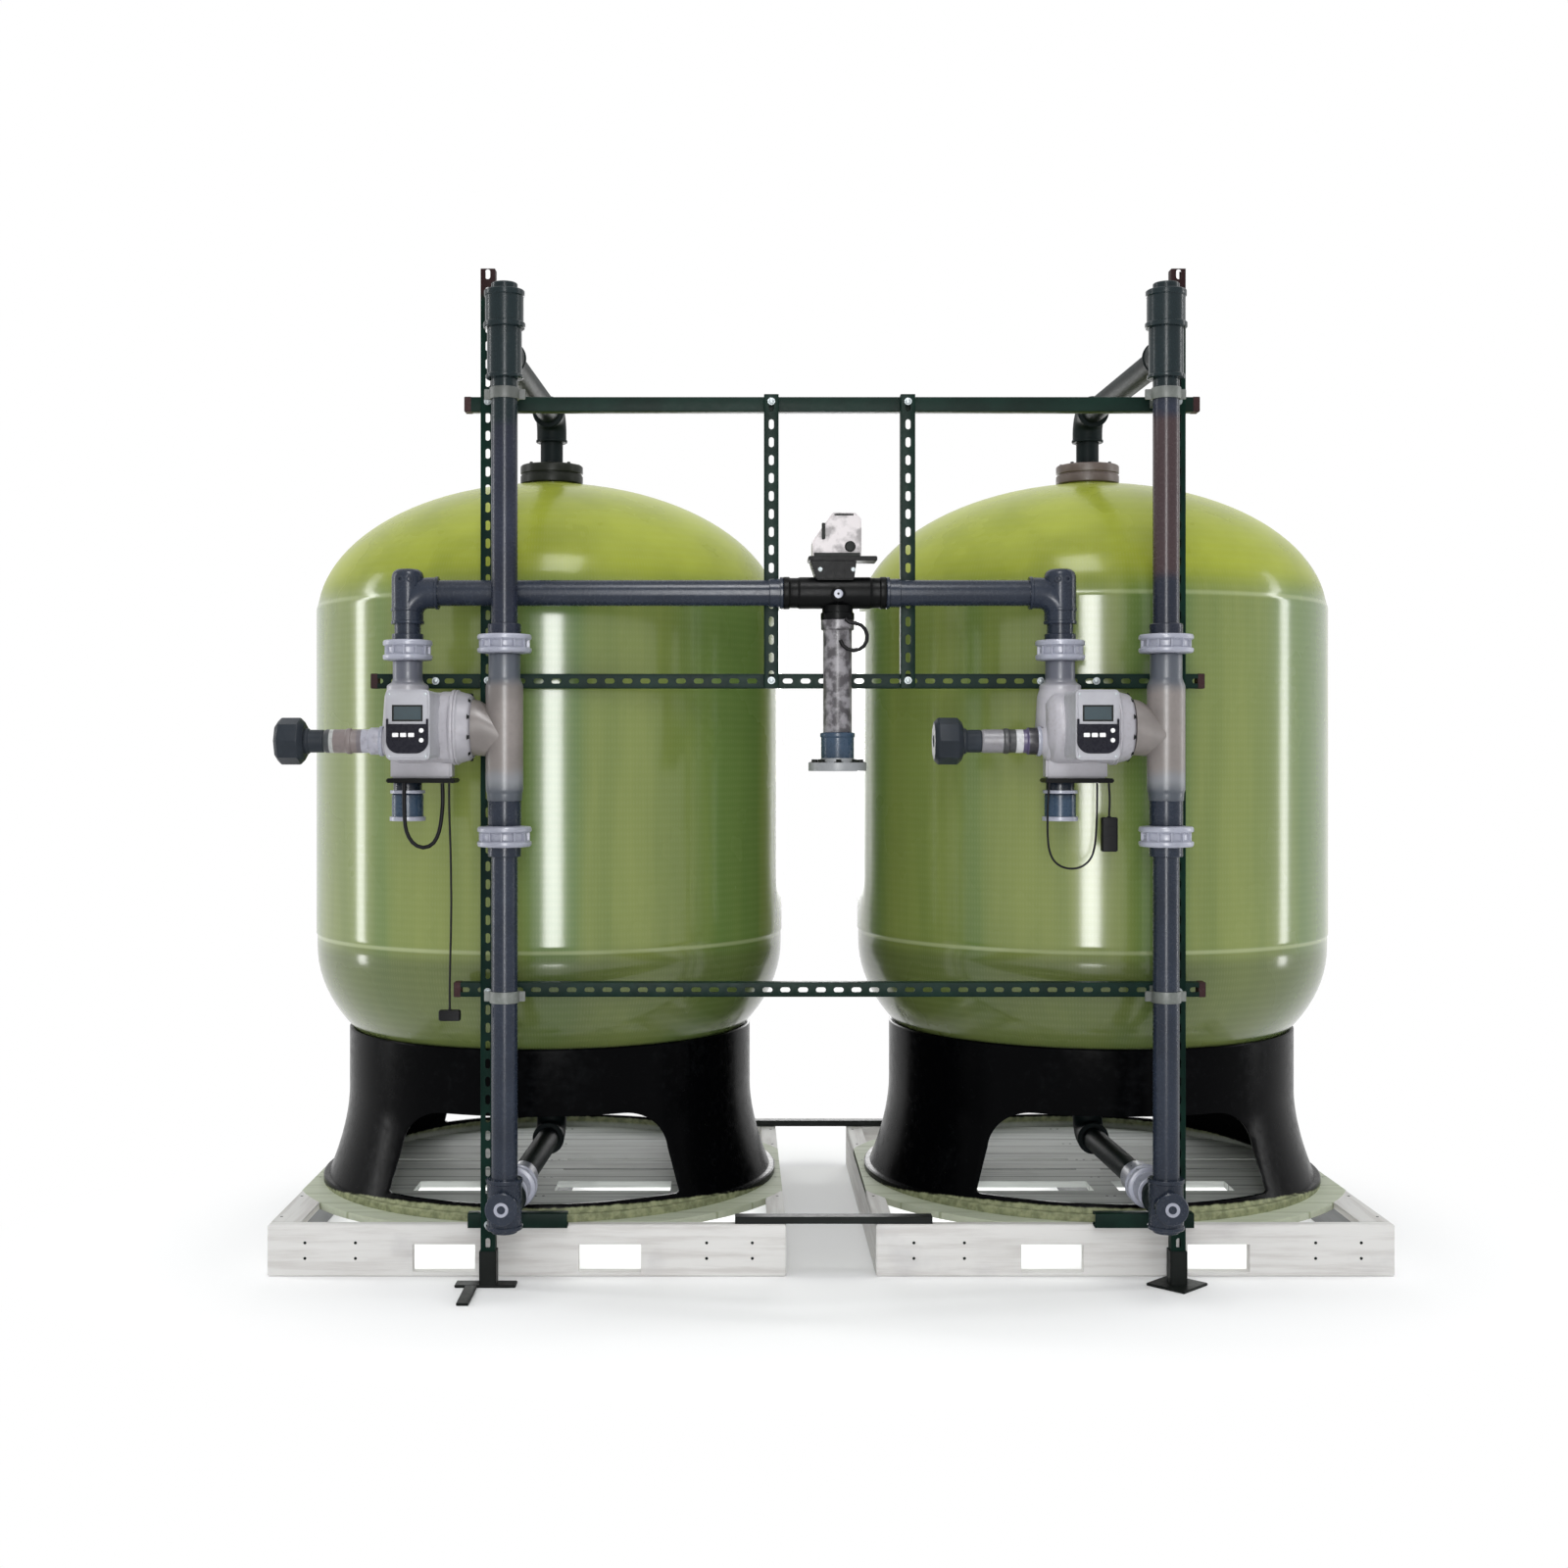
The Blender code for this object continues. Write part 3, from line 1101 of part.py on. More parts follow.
def build_header(finish):
    """Header pipes with their legs, changeover valve with spool and actuator, and the outlet pipe."""
    near_x, far_x = CHANGEOVER_X
    for side, way in SIDES.items():
        start_x = far_x + TOUCH if way > 0 else near_x - TOUCH
        leg_x = way * RISER_X + LEG_OFFSET
        low, high = LEG_UNION_Z
        run = [(start_x, HEADER_Y, HEADER_Z), (leg_x, HEADER_Y, HEADER_Z), (leg_x, HEADER_Y, low)]
        collars = fitted(
            run,
            ELBOW_BEND,
            start=[(0.0, END_RING, CHANGEOVER_RADIUS - SLIP)],
            end=[(0.0, high - low, LEG_UNION_RADIUS)],
            elbow=HEADER_ELBOW_RADIUS,
        )
        shape(f"header_{side}", hollow_pipe(run, PIPE_RADIUS, PIPE_BORE, ELBOW_BEND, collars), finish["pipe"])

    middle_x = (near_x + far_x) / 2
    barrel = turned_along_x([(CHANGEOVER_RADIUS, near_x), (CHANGEOVER_RADIUS, far_x)], near_x, HEADER_Y, HEADER_Z)
    cap_outline = [
        (middle_x - CAP_FOOT_HALF_WIDTH, HEADER_Z),
        (middle_x + CAP_FOOT_HALF_WIDTH, HEADER_Z),
        (middle_x + CAP_THROAT_HALF_WIDTH, CAP_BRIM_Z),
        (CAP_BRIM_X, CAP_BRIM_Z),
        (CAP_BRIM_X, CAP_TOP_Z),
        (middle_x - CAP_HALF_WIDTH, CAP_TOP_Z),
    ]
    cap = upright_prism(cap_outline, HEADER_Y - CAP_DEPTH / 2, HEADER_Y + CAP_DEPTH / 2)
    neck_low = OUTLET_TOP_Z + TOUCH
    neck = upright_bar(OUTLET_X, HEADER_Y, neck_low, HEADER_Z, NECK_COLLAR_RADIUS)
    boss = solid_pipe(
        [(OUTLET_X, HEADER_Y, BOSS_CENTRE_Z), (OUTLET_X, HEADER_Y - CHANGEOVER_RADIUS - BOSS_PROUD, BOSS_CENTRE_Z)],
        BOSS_FACE_RADIUS,
        ELBOW_BEND,
        sides=NUT_SIDES,
    )
    through = turned_along_x(
        [(CHANGEOVER_BORE, near_x - TOUCH), (CHANGEOVER_BORE, far_x + TOUCH)], near_x, HEADER_Y, HEADER_Z
    )
    down = upright_bar(OUTLET_X, HEADER_Y, neck_low - TOUCH, HEADER_Z, PIPE_BORE, sides=BORE_SIDES)
    shape("changeover_body", barrel, finish["black_plastic"], join=[cap, neck, boss], cut=[through, down])

    spool_x = middle_x - CHANGEOVER_SPOOL_LENGTH / 2
    land = CHANGEOVER_SPOOL_LENGTH * SPOOL_LAND
    full = CHANGEOVER_BORE - SLIP
    end_x = spool_x + CHANGEOVER_SPOOL_LENGTH
    spool = [
        (full, spool_x),
        (full, spool_x + land),
        (SPOOL_STEM, spool_x + land),
        (SPOOL_STEM, end_x - land),
        (full, end_x - land),
        (full, end_x),
    ]
    item = shape("changeover_spool", turned_along_x(spool, spool_x, HEADER_Y, HEADER_Z), finish["piston"])
    move_origin(item, (middle_x, HEADER_Y, HEADER_Z))

    low_z = CAP_TOP_Z + TOUCH
    hood = [
        (HOOD_LEFT_X, low_z),
        (HOOD_RIGHT_X, low_z),
        (HOOD_RIGHT_X, HOOD_TOP_Z - HOOD_CHAMFER),
        (HOOD_RIGHT_X - HOOD_CHAMFER, HOOD_TOP_Z),
        (HOOD_CROWN_X, HOOD_TOP_Z),
        (HOOD_LEFT_X, HOOD_SHOULDER_Z),
    ]
    half = HOOD_DEPTH / 2
    work = upright_prism(hood, HEADER_Y - half, HEADER_Y + half)
    bmesh.ops.bevel(work, geom=work.edges[:], offset=HOOD_ROUND, segments=1, affect="EDGES")
    shape("changeover_actuator", work, finish["hood"])

    flange_low, flange_high = OUTLET_FLANGE_Z
    run = [(OUTLET_X, HEADER_Y, flange_low), (OUTLET_X, HEADER_Y, OUTLET_TOP_Z)]
    collars = [
        (0.0, flange_high - flange_low, OUTLET_FLANGE_RADIUS),
        (flange_high - flange_low, OUTLET_COUPLING_Z - flange_low, COUPLING_RADIUS),
        (OUTLET_TOP_Z - NECK_RING - flange_low, OUTLET_TOP_Z - flange_low, COUPLING_RADIUS),
    ]
    outlet = hollow_pipe(run, OUTLET_RADIUS, PIPE_BORE, ELBOW_BEND, collars)
    shape("outlet_pipe", outlet, finish["grey_pipe"])


def smooth_route(points, spacing):
    """Points at an even spacing on a smooth curve through the chosen points."""
    points = [Vector(point) for point in points]
    ends = [points[0] * 2 - points[1], *points, points[-1] * 2 - points[-2]]
    fine = []
    for a, b, c, d in zip(ends, ends[1:], ends[2:], ends[3:]):
        for i in range(12):
            t = i / 12
            fine.append(
                0.5 * (2 * b + (c - a) * t + (2 * a - 5 * b + 4 * c - d) * t**2 + (3 * b - a - 3 * c + d) * t**3)
            )
    fine.append(points[-1])
    total = sum((after - before).length for before, after in zip(fine, fine[1:]))
    count = max(int(total / spacing), 4)
    route, travelled, wanted = [fine[0]], 0.0, total / count
    for before, after in zip(fine, fine[1:]):
        step = (after - before).length
        while travelled + step >= wanted - 1e-9 and len(route) < count:
            route.append(before.lerp(after, (wanted - travelled) / step))
            wanted += total / count
        travelled += step
    return [*route, fine[-1]]


def build_cord(name, points, radius, material):
    """A cord's round tube along a smooth curve through its chosen points."""
    route = smooth_route(points, radius * 2 * CORD_SPACING)
    curve = bpy.data.curves.new(name, "CURVE")
    curve.dimensions = "3D"
    curve.bevel_depth = radius
    curve.bevel_resolution = 2
    curve.use_fill_caps = True
    spline = curve.splines.new("POLY")
    spline.points.add(len(route) - 1)
    for point, spot in zip(spline.points, route):
        point.co = (*spot, 1.0)
    curve.materials.append(material)
    item = bpy.data.objects.new(name, curve)
    bpy.context.scene.collection.objects.link(item)
    item.parent = bpy.data.objects["assembly_centre"]


def cable_routes():
    """Chosen points of each cord, under the shelf of its valve or the changeover valve's neck."""
    routes = {}
    shelf_z = STUB_SHELF_Z[0] - TOUCH
    for side, way in SIDES.items():
        leg_x = way * RISER_X + LEG_OFFSET
        front_y = HEADER_Y - STUB_RADIUS - STUB_LIP - CABLE_CLEAR
        if side == "left":
            shape_points = CABLE_LOOP_LEFT
        else:
            shape_points = CABLE_LOOP_RIGHT
        routes[f"cable_loop_{side}"] = [(leg_x + dx, front_y, shelf_z - drop) for dx, drop in shape_points]
        lead_x, lead_drop, reach = LEADS[side]
        routes[f"lead_{side}"] = [
            (leg_x + lead_x + sway * reach, front_y, shelf_z - lead_drop * share) for share, sway in LEAD_SHAPE
        ]
    ring_y = HEADER_Y - OUTLET_RADIUS - RING_CLEAR
    routes["cable_ring"] = [
        (RING_X + dx * RING_SIZE, ring_y, RING_Z + dz * RING_SIZE) for dx, dz in RING_SHAPE
    ]
    return routes


def build_cords(finish):
    """Cable loops, leads with their plugs, and the cable ring at the changeover valve."""
    radii = {"cable_loop_left": CABLE_RADIUS, "cable_loop_right": LEAD_RADIUS, "cable_ring": CABLE_RADIUS}
    routes = cable_routes()
    for name, points in routes.items():
        build_cord(name, points, radii.get(name, LEAD_RADIUS), finish["cable"])
    for side in SIDES:
        end = Vector(routes[f"lead_{side}"][-1])
        width, height, depth = PLUGS[side]
        outline = rounded_box_outline(width, depth, PLUG_CORNER, 2)
        work = prism(outline, height)
        bmesh.ops.translate(work, vec=end - Vector((0.0, 0.0, height + TOUCH)), verts=work.verts)
        shape(f"plug_{side}", work, finish["cable"])


def main():
    """Clears the scene and builds the whole softener."""
    for item in list(bpy.data.objects):
        bpy.data.objects.remove(item, do_unlink=True)
    centre = bpy.data.objects.new("assembly_centre", None)
    bpy.context.scene.collection.objects.link(centre)
    centre.location = CENTRE_SHIFT
    finish = {
        "glass_fibre": make_material("olive_glass_fibre", (0.16, 0.22, 0.06), 0.25),
        "resin": make_material("amber_resin", (0.35, 0.18, 0.05), 0.6),
        "skirt": make_material("black_moulded_skirt", (0.006, 0.006, 0.008), 0.2),
        "timber": make_material("pale_timber", (0.62, 0.60, 0.55), 0.8),
        "strut": make_material("green_strut", (0.008, 0.045, 0.025), 0.45),
        "black_steel": make_material("black_steel", (0.01, 0.01, 0.01), 0.5),
        "pipe": make_material("slate_pipe", (0.03, 0.045, 0.07), 0.35),
        "grey_pipe": make_material("grey_pipe", (0.26, 0.26, 0.28), 0.35),
        "dark_fitting": make_material("dark_fitting", (0.015, 0.02, 0.02), 0.4),
        "black_plastic": make_material("black_plastic", (0.006, 0.006, 0.007), 0.35),
        "valve": make_material("beige_grey_casting", (0.30, 0.28, 0.27), 0.45),
        "head": make_material("grey_housing", (0.42, 0.43, 0.45), 0.4),
        "hood": make_material("pale_hood", (0.55, 0.55, 0.55), 0.4),
        "key": make_material("white_key", (0.85, 0.85, 0.85), 0.4),
        "piston": make_material("pale_piston", (0.7, 0.7, 0.7), 0.35),
        "cable": make_material("black_cable", (0.01, 0.01, 0.01), 0.5),
    }
    for side, way in SIDES.items():
        build_vessel(side, way * TANK_X, finish)
        build_pallet(side, way * TANK_X, way, finish)
        build_neck_fittings(side, way * TANK_X, way * RISER_X, finish)
        build_valve(side, way * RISER_X, finish)
        build_control_head(side, way * RISER_X, finish)
    build_frame(finish)
    build_header(finish)
    build_cords(finish)


main()
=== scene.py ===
"""Finishes, fine shapes and fasteners of a twin-vessel water softener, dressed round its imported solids.

Everything is in metres with +Z up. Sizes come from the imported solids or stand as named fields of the
class that builds the piece. The viewer looks along +Y.
"""

from __future__ import annotations

import logging
import math
from dataclasses import dataclass, field
from enum import Enum
from typing import Callable, ClassVar, Iterable, Sequence

import bmesh
import bpy
from mathutils import Matrix, Vector

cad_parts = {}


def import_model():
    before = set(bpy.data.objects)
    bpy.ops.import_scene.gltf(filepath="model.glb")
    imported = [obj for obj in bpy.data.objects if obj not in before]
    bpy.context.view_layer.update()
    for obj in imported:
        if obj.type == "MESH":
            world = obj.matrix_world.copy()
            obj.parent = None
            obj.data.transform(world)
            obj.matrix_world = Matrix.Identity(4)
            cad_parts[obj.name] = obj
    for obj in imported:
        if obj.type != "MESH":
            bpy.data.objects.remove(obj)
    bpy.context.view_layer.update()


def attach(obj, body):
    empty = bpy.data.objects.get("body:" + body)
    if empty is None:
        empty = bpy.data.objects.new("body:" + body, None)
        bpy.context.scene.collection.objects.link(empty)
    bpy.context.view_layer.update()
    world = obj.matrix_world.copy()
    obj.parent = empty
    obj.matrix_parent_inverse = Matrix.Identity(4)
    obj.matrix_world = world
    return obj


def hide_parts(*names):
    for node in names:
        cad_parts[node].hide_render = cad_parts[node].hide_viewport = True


LOG = logging.getLogger("softener")
Colour = tuple[float, float, float]
Spot = tuple[float, float, float]
Pair = tuple[float, float]
BASE = "base"
SIDES: dict[str, int] = {"left": -1, "right": 1}
X_AXIS = Vector((1.0, 0.0, 0.0))
Y_AXIS = Vector((0.0, 1.0, 0.0))
Z_AXIS = Vector((0.0, 0.0, 1.0))
ORIGIN: Spot = (0.0, 0.0, 0.0)
# Lays a unit built up along Z so that it points at the viewer.
FACING = Matrix.Rotation(math.pi / 2, 4, "X")
# The radius at which a turned profile closes on its axis.
TIP = 0.0001


class Socket:
    """A shader socket that takes part in ordinary arithmetic by adding Math nodes."""

    def __init__(self, graph: ShaderGraph, link: bpy.types.NodeSocket) -> None:
        """Wraps an output socket of a graph."""
        self.graph = graph
        self.link = link

    def _maths(self, operation: str, *values: Socket | float) -> Socket:
        """Adds one Math node.

        Args:
            operation: the node's operation.
            values: what goes into its sockets.

        Returns:
            The node's output.
        """
        return self.graph.node("ShaderNodeMath", {"operation": operation}, dict(enumerate(values)))

    def __add__(self, other: Socket | float) -> Socket:
        """The sum."""
        return self._maths("ADD", self, other)

    def __sub__(self, other: Socket | float) -> Socket:
        """The difference."""
        return self._maths("SUBTRACT", self, other)

    def __mul__(self, other: Socket | float) -> Socket:
        """The product."""
        return self._maths("MULTIPLY", self, other)

    def __truediv__(self, other: Socket | float) -> Socket:
        """The quotient."""
        return self._maths("DIVIDE", self, other)

    def __pow__(self, other: Socket | float) -> Socket:
        """The power."""
        return self._maths("POWER", self, other)

    def __rsub__(self, other: float) -> Socket:
        """A number less this socket."""
        return self._maths("SUBTRACT", other, self)

    def __abs__(self) -> Socket:
        """The size without its sign."""
        return self._maths("ABSOLUTE", self)

    def sine(self) -> Socket:
        """The sine, in radians."""
        return self._maths("SINE", self)

    def fraction(self) -> Socket:
        """The part after the whole number."""
        return self._maths("FRACT", self)

    def angle_to(self, other: Socket) -> Socket:
        """The angle whose tangent is this over the other."""
        return self._maths("ARCTAN2", self, other)

    def step(self, start: float, end: float) -> Socket:
        """A smooth rise from 0 to 1.

        Args:
            start: the value where the rise starts.
            end: the value where it ends, which may be the lower one.

        Returns:
            The rise, held at 0 and 1 outside it.
        """
        values = {0: self, 1: start, 2: end, 3: 0.0, 4: 1.0}
        if start > end:
            values = {0: self, 1: end, 2: start, 3: 1.0, 4: 0.0}
        return self.graph.node("ShaderNodeMapRange", {"interpolation_type": "SMOOTHSTEP"}, values)

    __radd__ = __add__
    __rmul__ = __mul__


class ShaderGraph:
    """The node tree of one new material, with its Principled shader."""

    def __init__(self, name: str) -> None:
        """Starts an empty material of that name.

        Args:
            name: the material's name.
        """
        self.material = bpy.data.materials.new(name)
        self.material.use_nodes = True
        self.tree = self.material.node_tree
        self.shader = self.tree.nodes["Principled BSDF"]

    def node(
        self, kind: str, settings: dict[str, object], values: dict[int | str, object], out: int | str = 0
    ) -> Socket:
        """Adds a node of any type.

        Args:
            kind: the node's type.
            settings: its properties, set first. A list under "stops" fills a ramp.
            values: plain values or sockets by input.
            out: the wanted output.

        Returns:
            That output.
        """
        made = self.tree.nodes.new(kind)
        for key, value in settings.items():
            if key == "stops":
                self._fill_ramp(made.color_ramp, value)
            else:
                setattr(made, key, value)
        for key, value in values.items():
            if isinstance(value, Socket):
                self.tree.links.new(value.link, made.inputs[key])
            else:
                made.inputs[key].default_value = value
        return Socket(self, made.outputs[out])

    @staticmethod
    def _fill_ramp(ramp: bpy.types.ColorRamp, stops: Sequence[tuple[float, Colour]]) -> None:
        """Gives a ramp its stops, in order.

        Args:
            ramp: the ramp to fill.
            stops: each stop's place and colour.
        """
        while len(ramp.elements) < len(stops):
            ramp.elements.new(1.0)
        for element, (position, colour) in zip(ramp.elements, stops):
            element.position = position
            element.color = (*colour, 1.0)

    def place(self, centre: Spot = (0.0, 0.0, 0.0), scale: Spot = (1.0, 1.0, 1.0)) -> Socket:
        """Object coordinates, measured from a point.

        Args:
            centre: the point that becomes the origin.
            scale: how much each axis is stretched.

        Returns:
            The coordinates as a vector.
        """
        spot = self.node("ShaderNodeTexCoord", {}, {}, "Object")
        offset = tuple(-c * s for c, s in zip(centre, scale))
        return self.node("ShaderNodeMapping", {}, {"Vector": spot, "Location": offset, "Scale": scale})

    def axes(self, vector: Socket) -> tuple[Socket, Socket, Socket]:
        """The three parts of a vector.

        Args:
            vector: the vector's socket.

        Returns:
            Its X, Y and Z.
        """
        made = self.tree.nodes.new("ShaderNodeSeparateXYZ")
        self.tree.links.new(vector.link, made.inputs[0])
        return tuple(Socket(self, output) for output in made.outputs)

    def noise(self, vector: Socket, scale: float, detail: float = 3.0, roughness: float = 0.55) -> Socket:
        """Soft noise from 0 to 1.

        Args:
            vector: where it is read.
            scale: how many blots to a metre.
            detail: how many finer layers it has.
            roughness: how strong the finer layers are.

        Returns:
            The noise's strength.
        """
        values = {"Vector": vector, "Scale": scale, "Detail": detail, "Roughness": roughness}
        return self.node("ShaderNodeTexNoise", {}, values)

    def mix(self, factor: Socket | float, first: Socket | Colour, second: Socket | Colour) -> Socket:
        """A blend of two colours.

        Args:
            factor: 0 gives the first and 1 the second.
            first: a colour.
            second: a colour.

        Returns:
            The blended colour.
        """
        colours = [c if isinstance(c, Socket) else (*c, 1.0) for c in (first, second)]
        return self.node(
            "ShaderNodeMix", {"data_type": "RGBA"}, {0: factor, 6: colours[0], 7: colours[1]}, 2
        )

    def fixed(self, **values: float | Colour) -> None:
        """Sets plain values on the shader's sockets, named in lower case with underscores."""
        for key, value in values.items():
            name = key.replace("_", " ").title().replace("Ior", "IOR")
            self.shader.inputs[name].default_value = (*value, 1.0) if isinstance(value, tuple) else value

    def drive(self, name: str, value: Socket) -> None:
        """Links a value to one of the shader's sockets."""
        self.tree.links.new(value.link, self.shader.inputs[name])

    def relief(self, height: Socket, depth: float, strength: float = 1.0) -> None:
        """Feeds a height to the shader's normal.

        Args:
            height: the height, about 0 to 1.
            depth: what a height of 1 means in metres.
            strength: how much of the relief shows.
        """
        values = {"Height": height, "Distance": depth, "Strength": strength}
        self.drive("Normal", self.node("ShaderNodeBump", {}, values))


@dataclass(frozen=True)
class Finish:
    """A moulded or painted surface: one colour with soft mottling, speckled roughness and worn-in dust."""

    name: str
    slot: str
    colour: Colour
    roughness: float = 0.4
    mottle: float = 0.1
    dust: float = 0.0
    dust_colour: Colour = (0.3, 0.29, 0.27)
    grain: float = 0.00003
    grain_scale: float = 200.0
    coat: float = 0.0
    metallic: float = 0.0
    specular: float = 0.5
    stains: tuple[tuple[float, float, Colour], ...] = ()

    def material(self) -> bpy.types.Material:
        """Builds the finish's node material.

        Returns:
            The material.
        """
        graph = ShaderGraph(self.name)
        spot = graph.place()
        broad = graph.noise(spot, 7.0, 4.0)
        fine = graph.noise(spot, 90.0, 3.0)
        darker = tuple(c * (1.0 - self.mottle) for c in self.colour)
        lighter = tuple(min(c * (1.0 + self.mottle), 1.0) for c in self.colour)
        shade = graph.mix(broad.step(0.3, 0.7), darker, lighter)
        if self.dust:
            cover = (broad * 0.5 + fine * 0.5).step(0.5, 0.72) * self.dust
            shade = graph.mix(cover, shade, self.dust_colour)
        for low, high, stain in self.stains:
            z = graph.axes(spot)[2] + (broad - 0.5) * 0.05
            shade = graph.mix(z.step(low, low + 0.04) * z.step(high, high - 0.04) * 0.9, shade, stain)
        graph.drive("Base Color", shade)
        graph.drive("Roughness", fine.step(0.25, 0.75) * 0.08 + (self.roughness - 0.04))
        graph.relief(graph.noise(spot, self.grain_scale, 2.0), self.grain)
        graph.fixed(metallic=self.metallic, coat_weight=self.coat, coat_roughness=0.12)
        graph.shader.inputs["Specular IOR Level"].default_value = self.specular
        return graph.material


@dataclass(frozen=True)
class WoundShell:
    """Glossy filament-wound shell: crossing bands of strand, a yellower, paler dome whose paleness is partly
    painted light from above, a lower dome darkened with painted shade, and resin-rich seams.
    """

    name: str
    slot: str
    centre: Spot
    dome_low_z: float
    low_dome_z: float
    wall_colour: Colour = (0.2, 0.24, 0.062)
    wall_dark: Colour = (0.145, 0.19, 0.046)
    wall_green: Colour = (0.08, 0.15, 0.036)
    # The dome's own yellower tone, paler in part as painted light from above.
    dome_top_lit_tone: Colour = (0.31, 0.35, 0.04)
    dome_dark: Colour = (0.215, 0.25, 0.026)
    # Painted shade on the lower dome, which faces down.
    lower_dome_shade: Colour = (0.075, 0.098, 0.03)
    seam_colour: Colour = (0.42, 0.47, 0.26)
    strand_pitch: float = 0.019
    hoop_pitch: float = 0.0065

    def material(self) -> bpy.types.Material:
        """Builds the wound shell's node material.

        Returns:
            The material.
        """
        graph = ShaderGraph(self.name)
        spot = graph.place(self.centre)
        x, y, z = graph.axes(spot)
        angle = y.angle_to(x)
        along = angle * 0.75
        steep = 0.42
        right = ((z * steep + along) * (math.tau / self.strand_pitch)).sine()
        left = ((z * steep - along) * (math.tau / self.strand_pitch)).sine()
        hoops = (z * (math.tau / self.hoop_pitch)).sine()
        cloud = graph.noise(spot, 2.6, 4.0)
        streak = graph.noise(graph.place(self.centre, (9.0, 9.0, 0.6)), 1.0, 5.0, 0.6)
        up = z.step(self.dome_low_z - 0.02, self.dome_low_z + 0.1)
        # down masks the lower dome, which is painted darker as shade.
        down = z.step(self.low_dome_z + 0.015, self.low_dome_z - 0.05)
        band = graph.noise(graph.place(self.centre, (2.6, 2.6, 0.12)), 1.0, 2.0)
        wall = graph.mix(streak.step(0.3, 0.72), self.wall_dark, self.wall_colour)
        wall = graph.mix(band.step(0.46, 0.62) * 0.75, wall, self.wall_green)
        # The dome is painted yellower and paler than the wall; the paleness is partly painted light from
        # above.
        dome = graph.mix(cloud.step(0.32, 0.7), self.dome_dark, self.dome_top_lit_tone)
        shade = graph.mix(down * (cloud * 0.5 + 0.5), graph.mix(up, wall, dome), self.lower_dome_shade)
        weave = (right * left) * 0.5 + 0.5
        shade = graph.mix(weave.step(0.35, 1.0) * 0.05, shade, self.seam_colour)
        top_seam = abs(z - self.dome_low_z).step(0.01, 0.002)
        low_seam = abs(z - self.low_dome_z).step(0.009, 0.002)
        seams = (top_seam * 0.6 + low_seam) * (cloud * 0.5 + 0.26)
        graph.drive("Base Color", graph.mix(seams, shade, self.seam_colour))
        graph.drive("Roughness", cloud.step(0.3, 0.7) * 0.1 + 0.22)
        graph.relief(weave * 0.6 + hoops * 0.1 + streak * 0.5, 0.0003, 0.4)
        graph.drive("Coat Weight", z.step(self.dome_low_z + 0.06, self.dome_low_z - 0.02) * 0.62 + 0.14)
        graph.fixed(coat_roughness=0.13)
        graph.shader.inputs["Specular IOR Level"].default_value = 0.08
        return graph.material


@dataclass(frozen=True)
class PaleTimber:
    """Washed pale boards with grain along one axis, knots and grey handling marks; optional painted highlight
    bands, painted olive reflection and painted shade.
    """

    name: str
    slot: str
    along_y: bool = False
    pale: Colour = (0.66, 0.65, 0.63)
    grain_colour: Colour = (0.55, 0.53, 0.51)
    grey: Colour = (0.44, 0.43, 0.44)
    board: float = 0.0
    board_start: float = 0.0
    joint: Colour = (0.055, 0.065, 0.05)
    # The colour of the painted highlight band on each board.
    edge: Colour = (0.62, 0.64, 0.6)
    middle: Spot = (0.0, 0.0, 0.0)
    rim: float = 0.0
    # The painted olive reflection of the vessel, outside the rim.
    rim_reflection: Colour = (0.4, 0.44, 0.27)
    lit_half: float = 0.0
    unlit: Colour = (0.085, 0.09, 0.095)

    def material(self) -> bpy.types.Material:
        """Builds the timber's node material.

        Returns:
            The material.
        """
        graph = ShaderGraph(self.name)
        scale = (38.0, 2.4, 38.0) if self.along_y else (2.4, 38.0, 38.0)
        rings = graph.noise(graph.place(scale=scale), 1.0, 6.0, 0.62)
        marks = graph.noise(graph.place(), 5.0, 4.0)
        shade = graph.mix(rings.step(0.42, 0.66), self.pale, self.grain_colour)
        shade = graph.mix(marks.step(0.56, 0.78) * 0.45, shade, self.grey)
        if self.board:
            across = (graph.axes(graph.place())[1] - self.board_start) * (1.0 / self.board)
            joint = abs(across.fraction() - 0.5).step(0.455, 0.485)
            # light is a painted highlight: a pale band along each board.
            light = abs(across.fraction() - 0.3).step(0.06, 0.02)
            shade = graph.mix(light * 0.55, graph.mix(joint * 0.85, shade, self.joint), self.edge)
        x, y, _ = graph.axes(graph.place(self.middle))
        if self.rim:
            # Outside the rim the deck takes a painted olive reflection of the vessel.
            outside = ((x * x + y * y) ** 0.5).step(self.rim, self.rim + 0.012)
            shade = graph.mix(outside * (marks * 0.4 + 0.45), shade, self.rim_reflection)
        if self.lit_half:
            shade = graph.mix(abs(x).step(self.lit_half + 0.004, self.lit_half) * 0.9, shade, self.unlit)
        graph.drive("Base Color", shade)
        graph.drive("Roughness", rings * 0.15 + 0.62)
        graph.relief(rings, 0.0012, 0.7)
        return graph.material


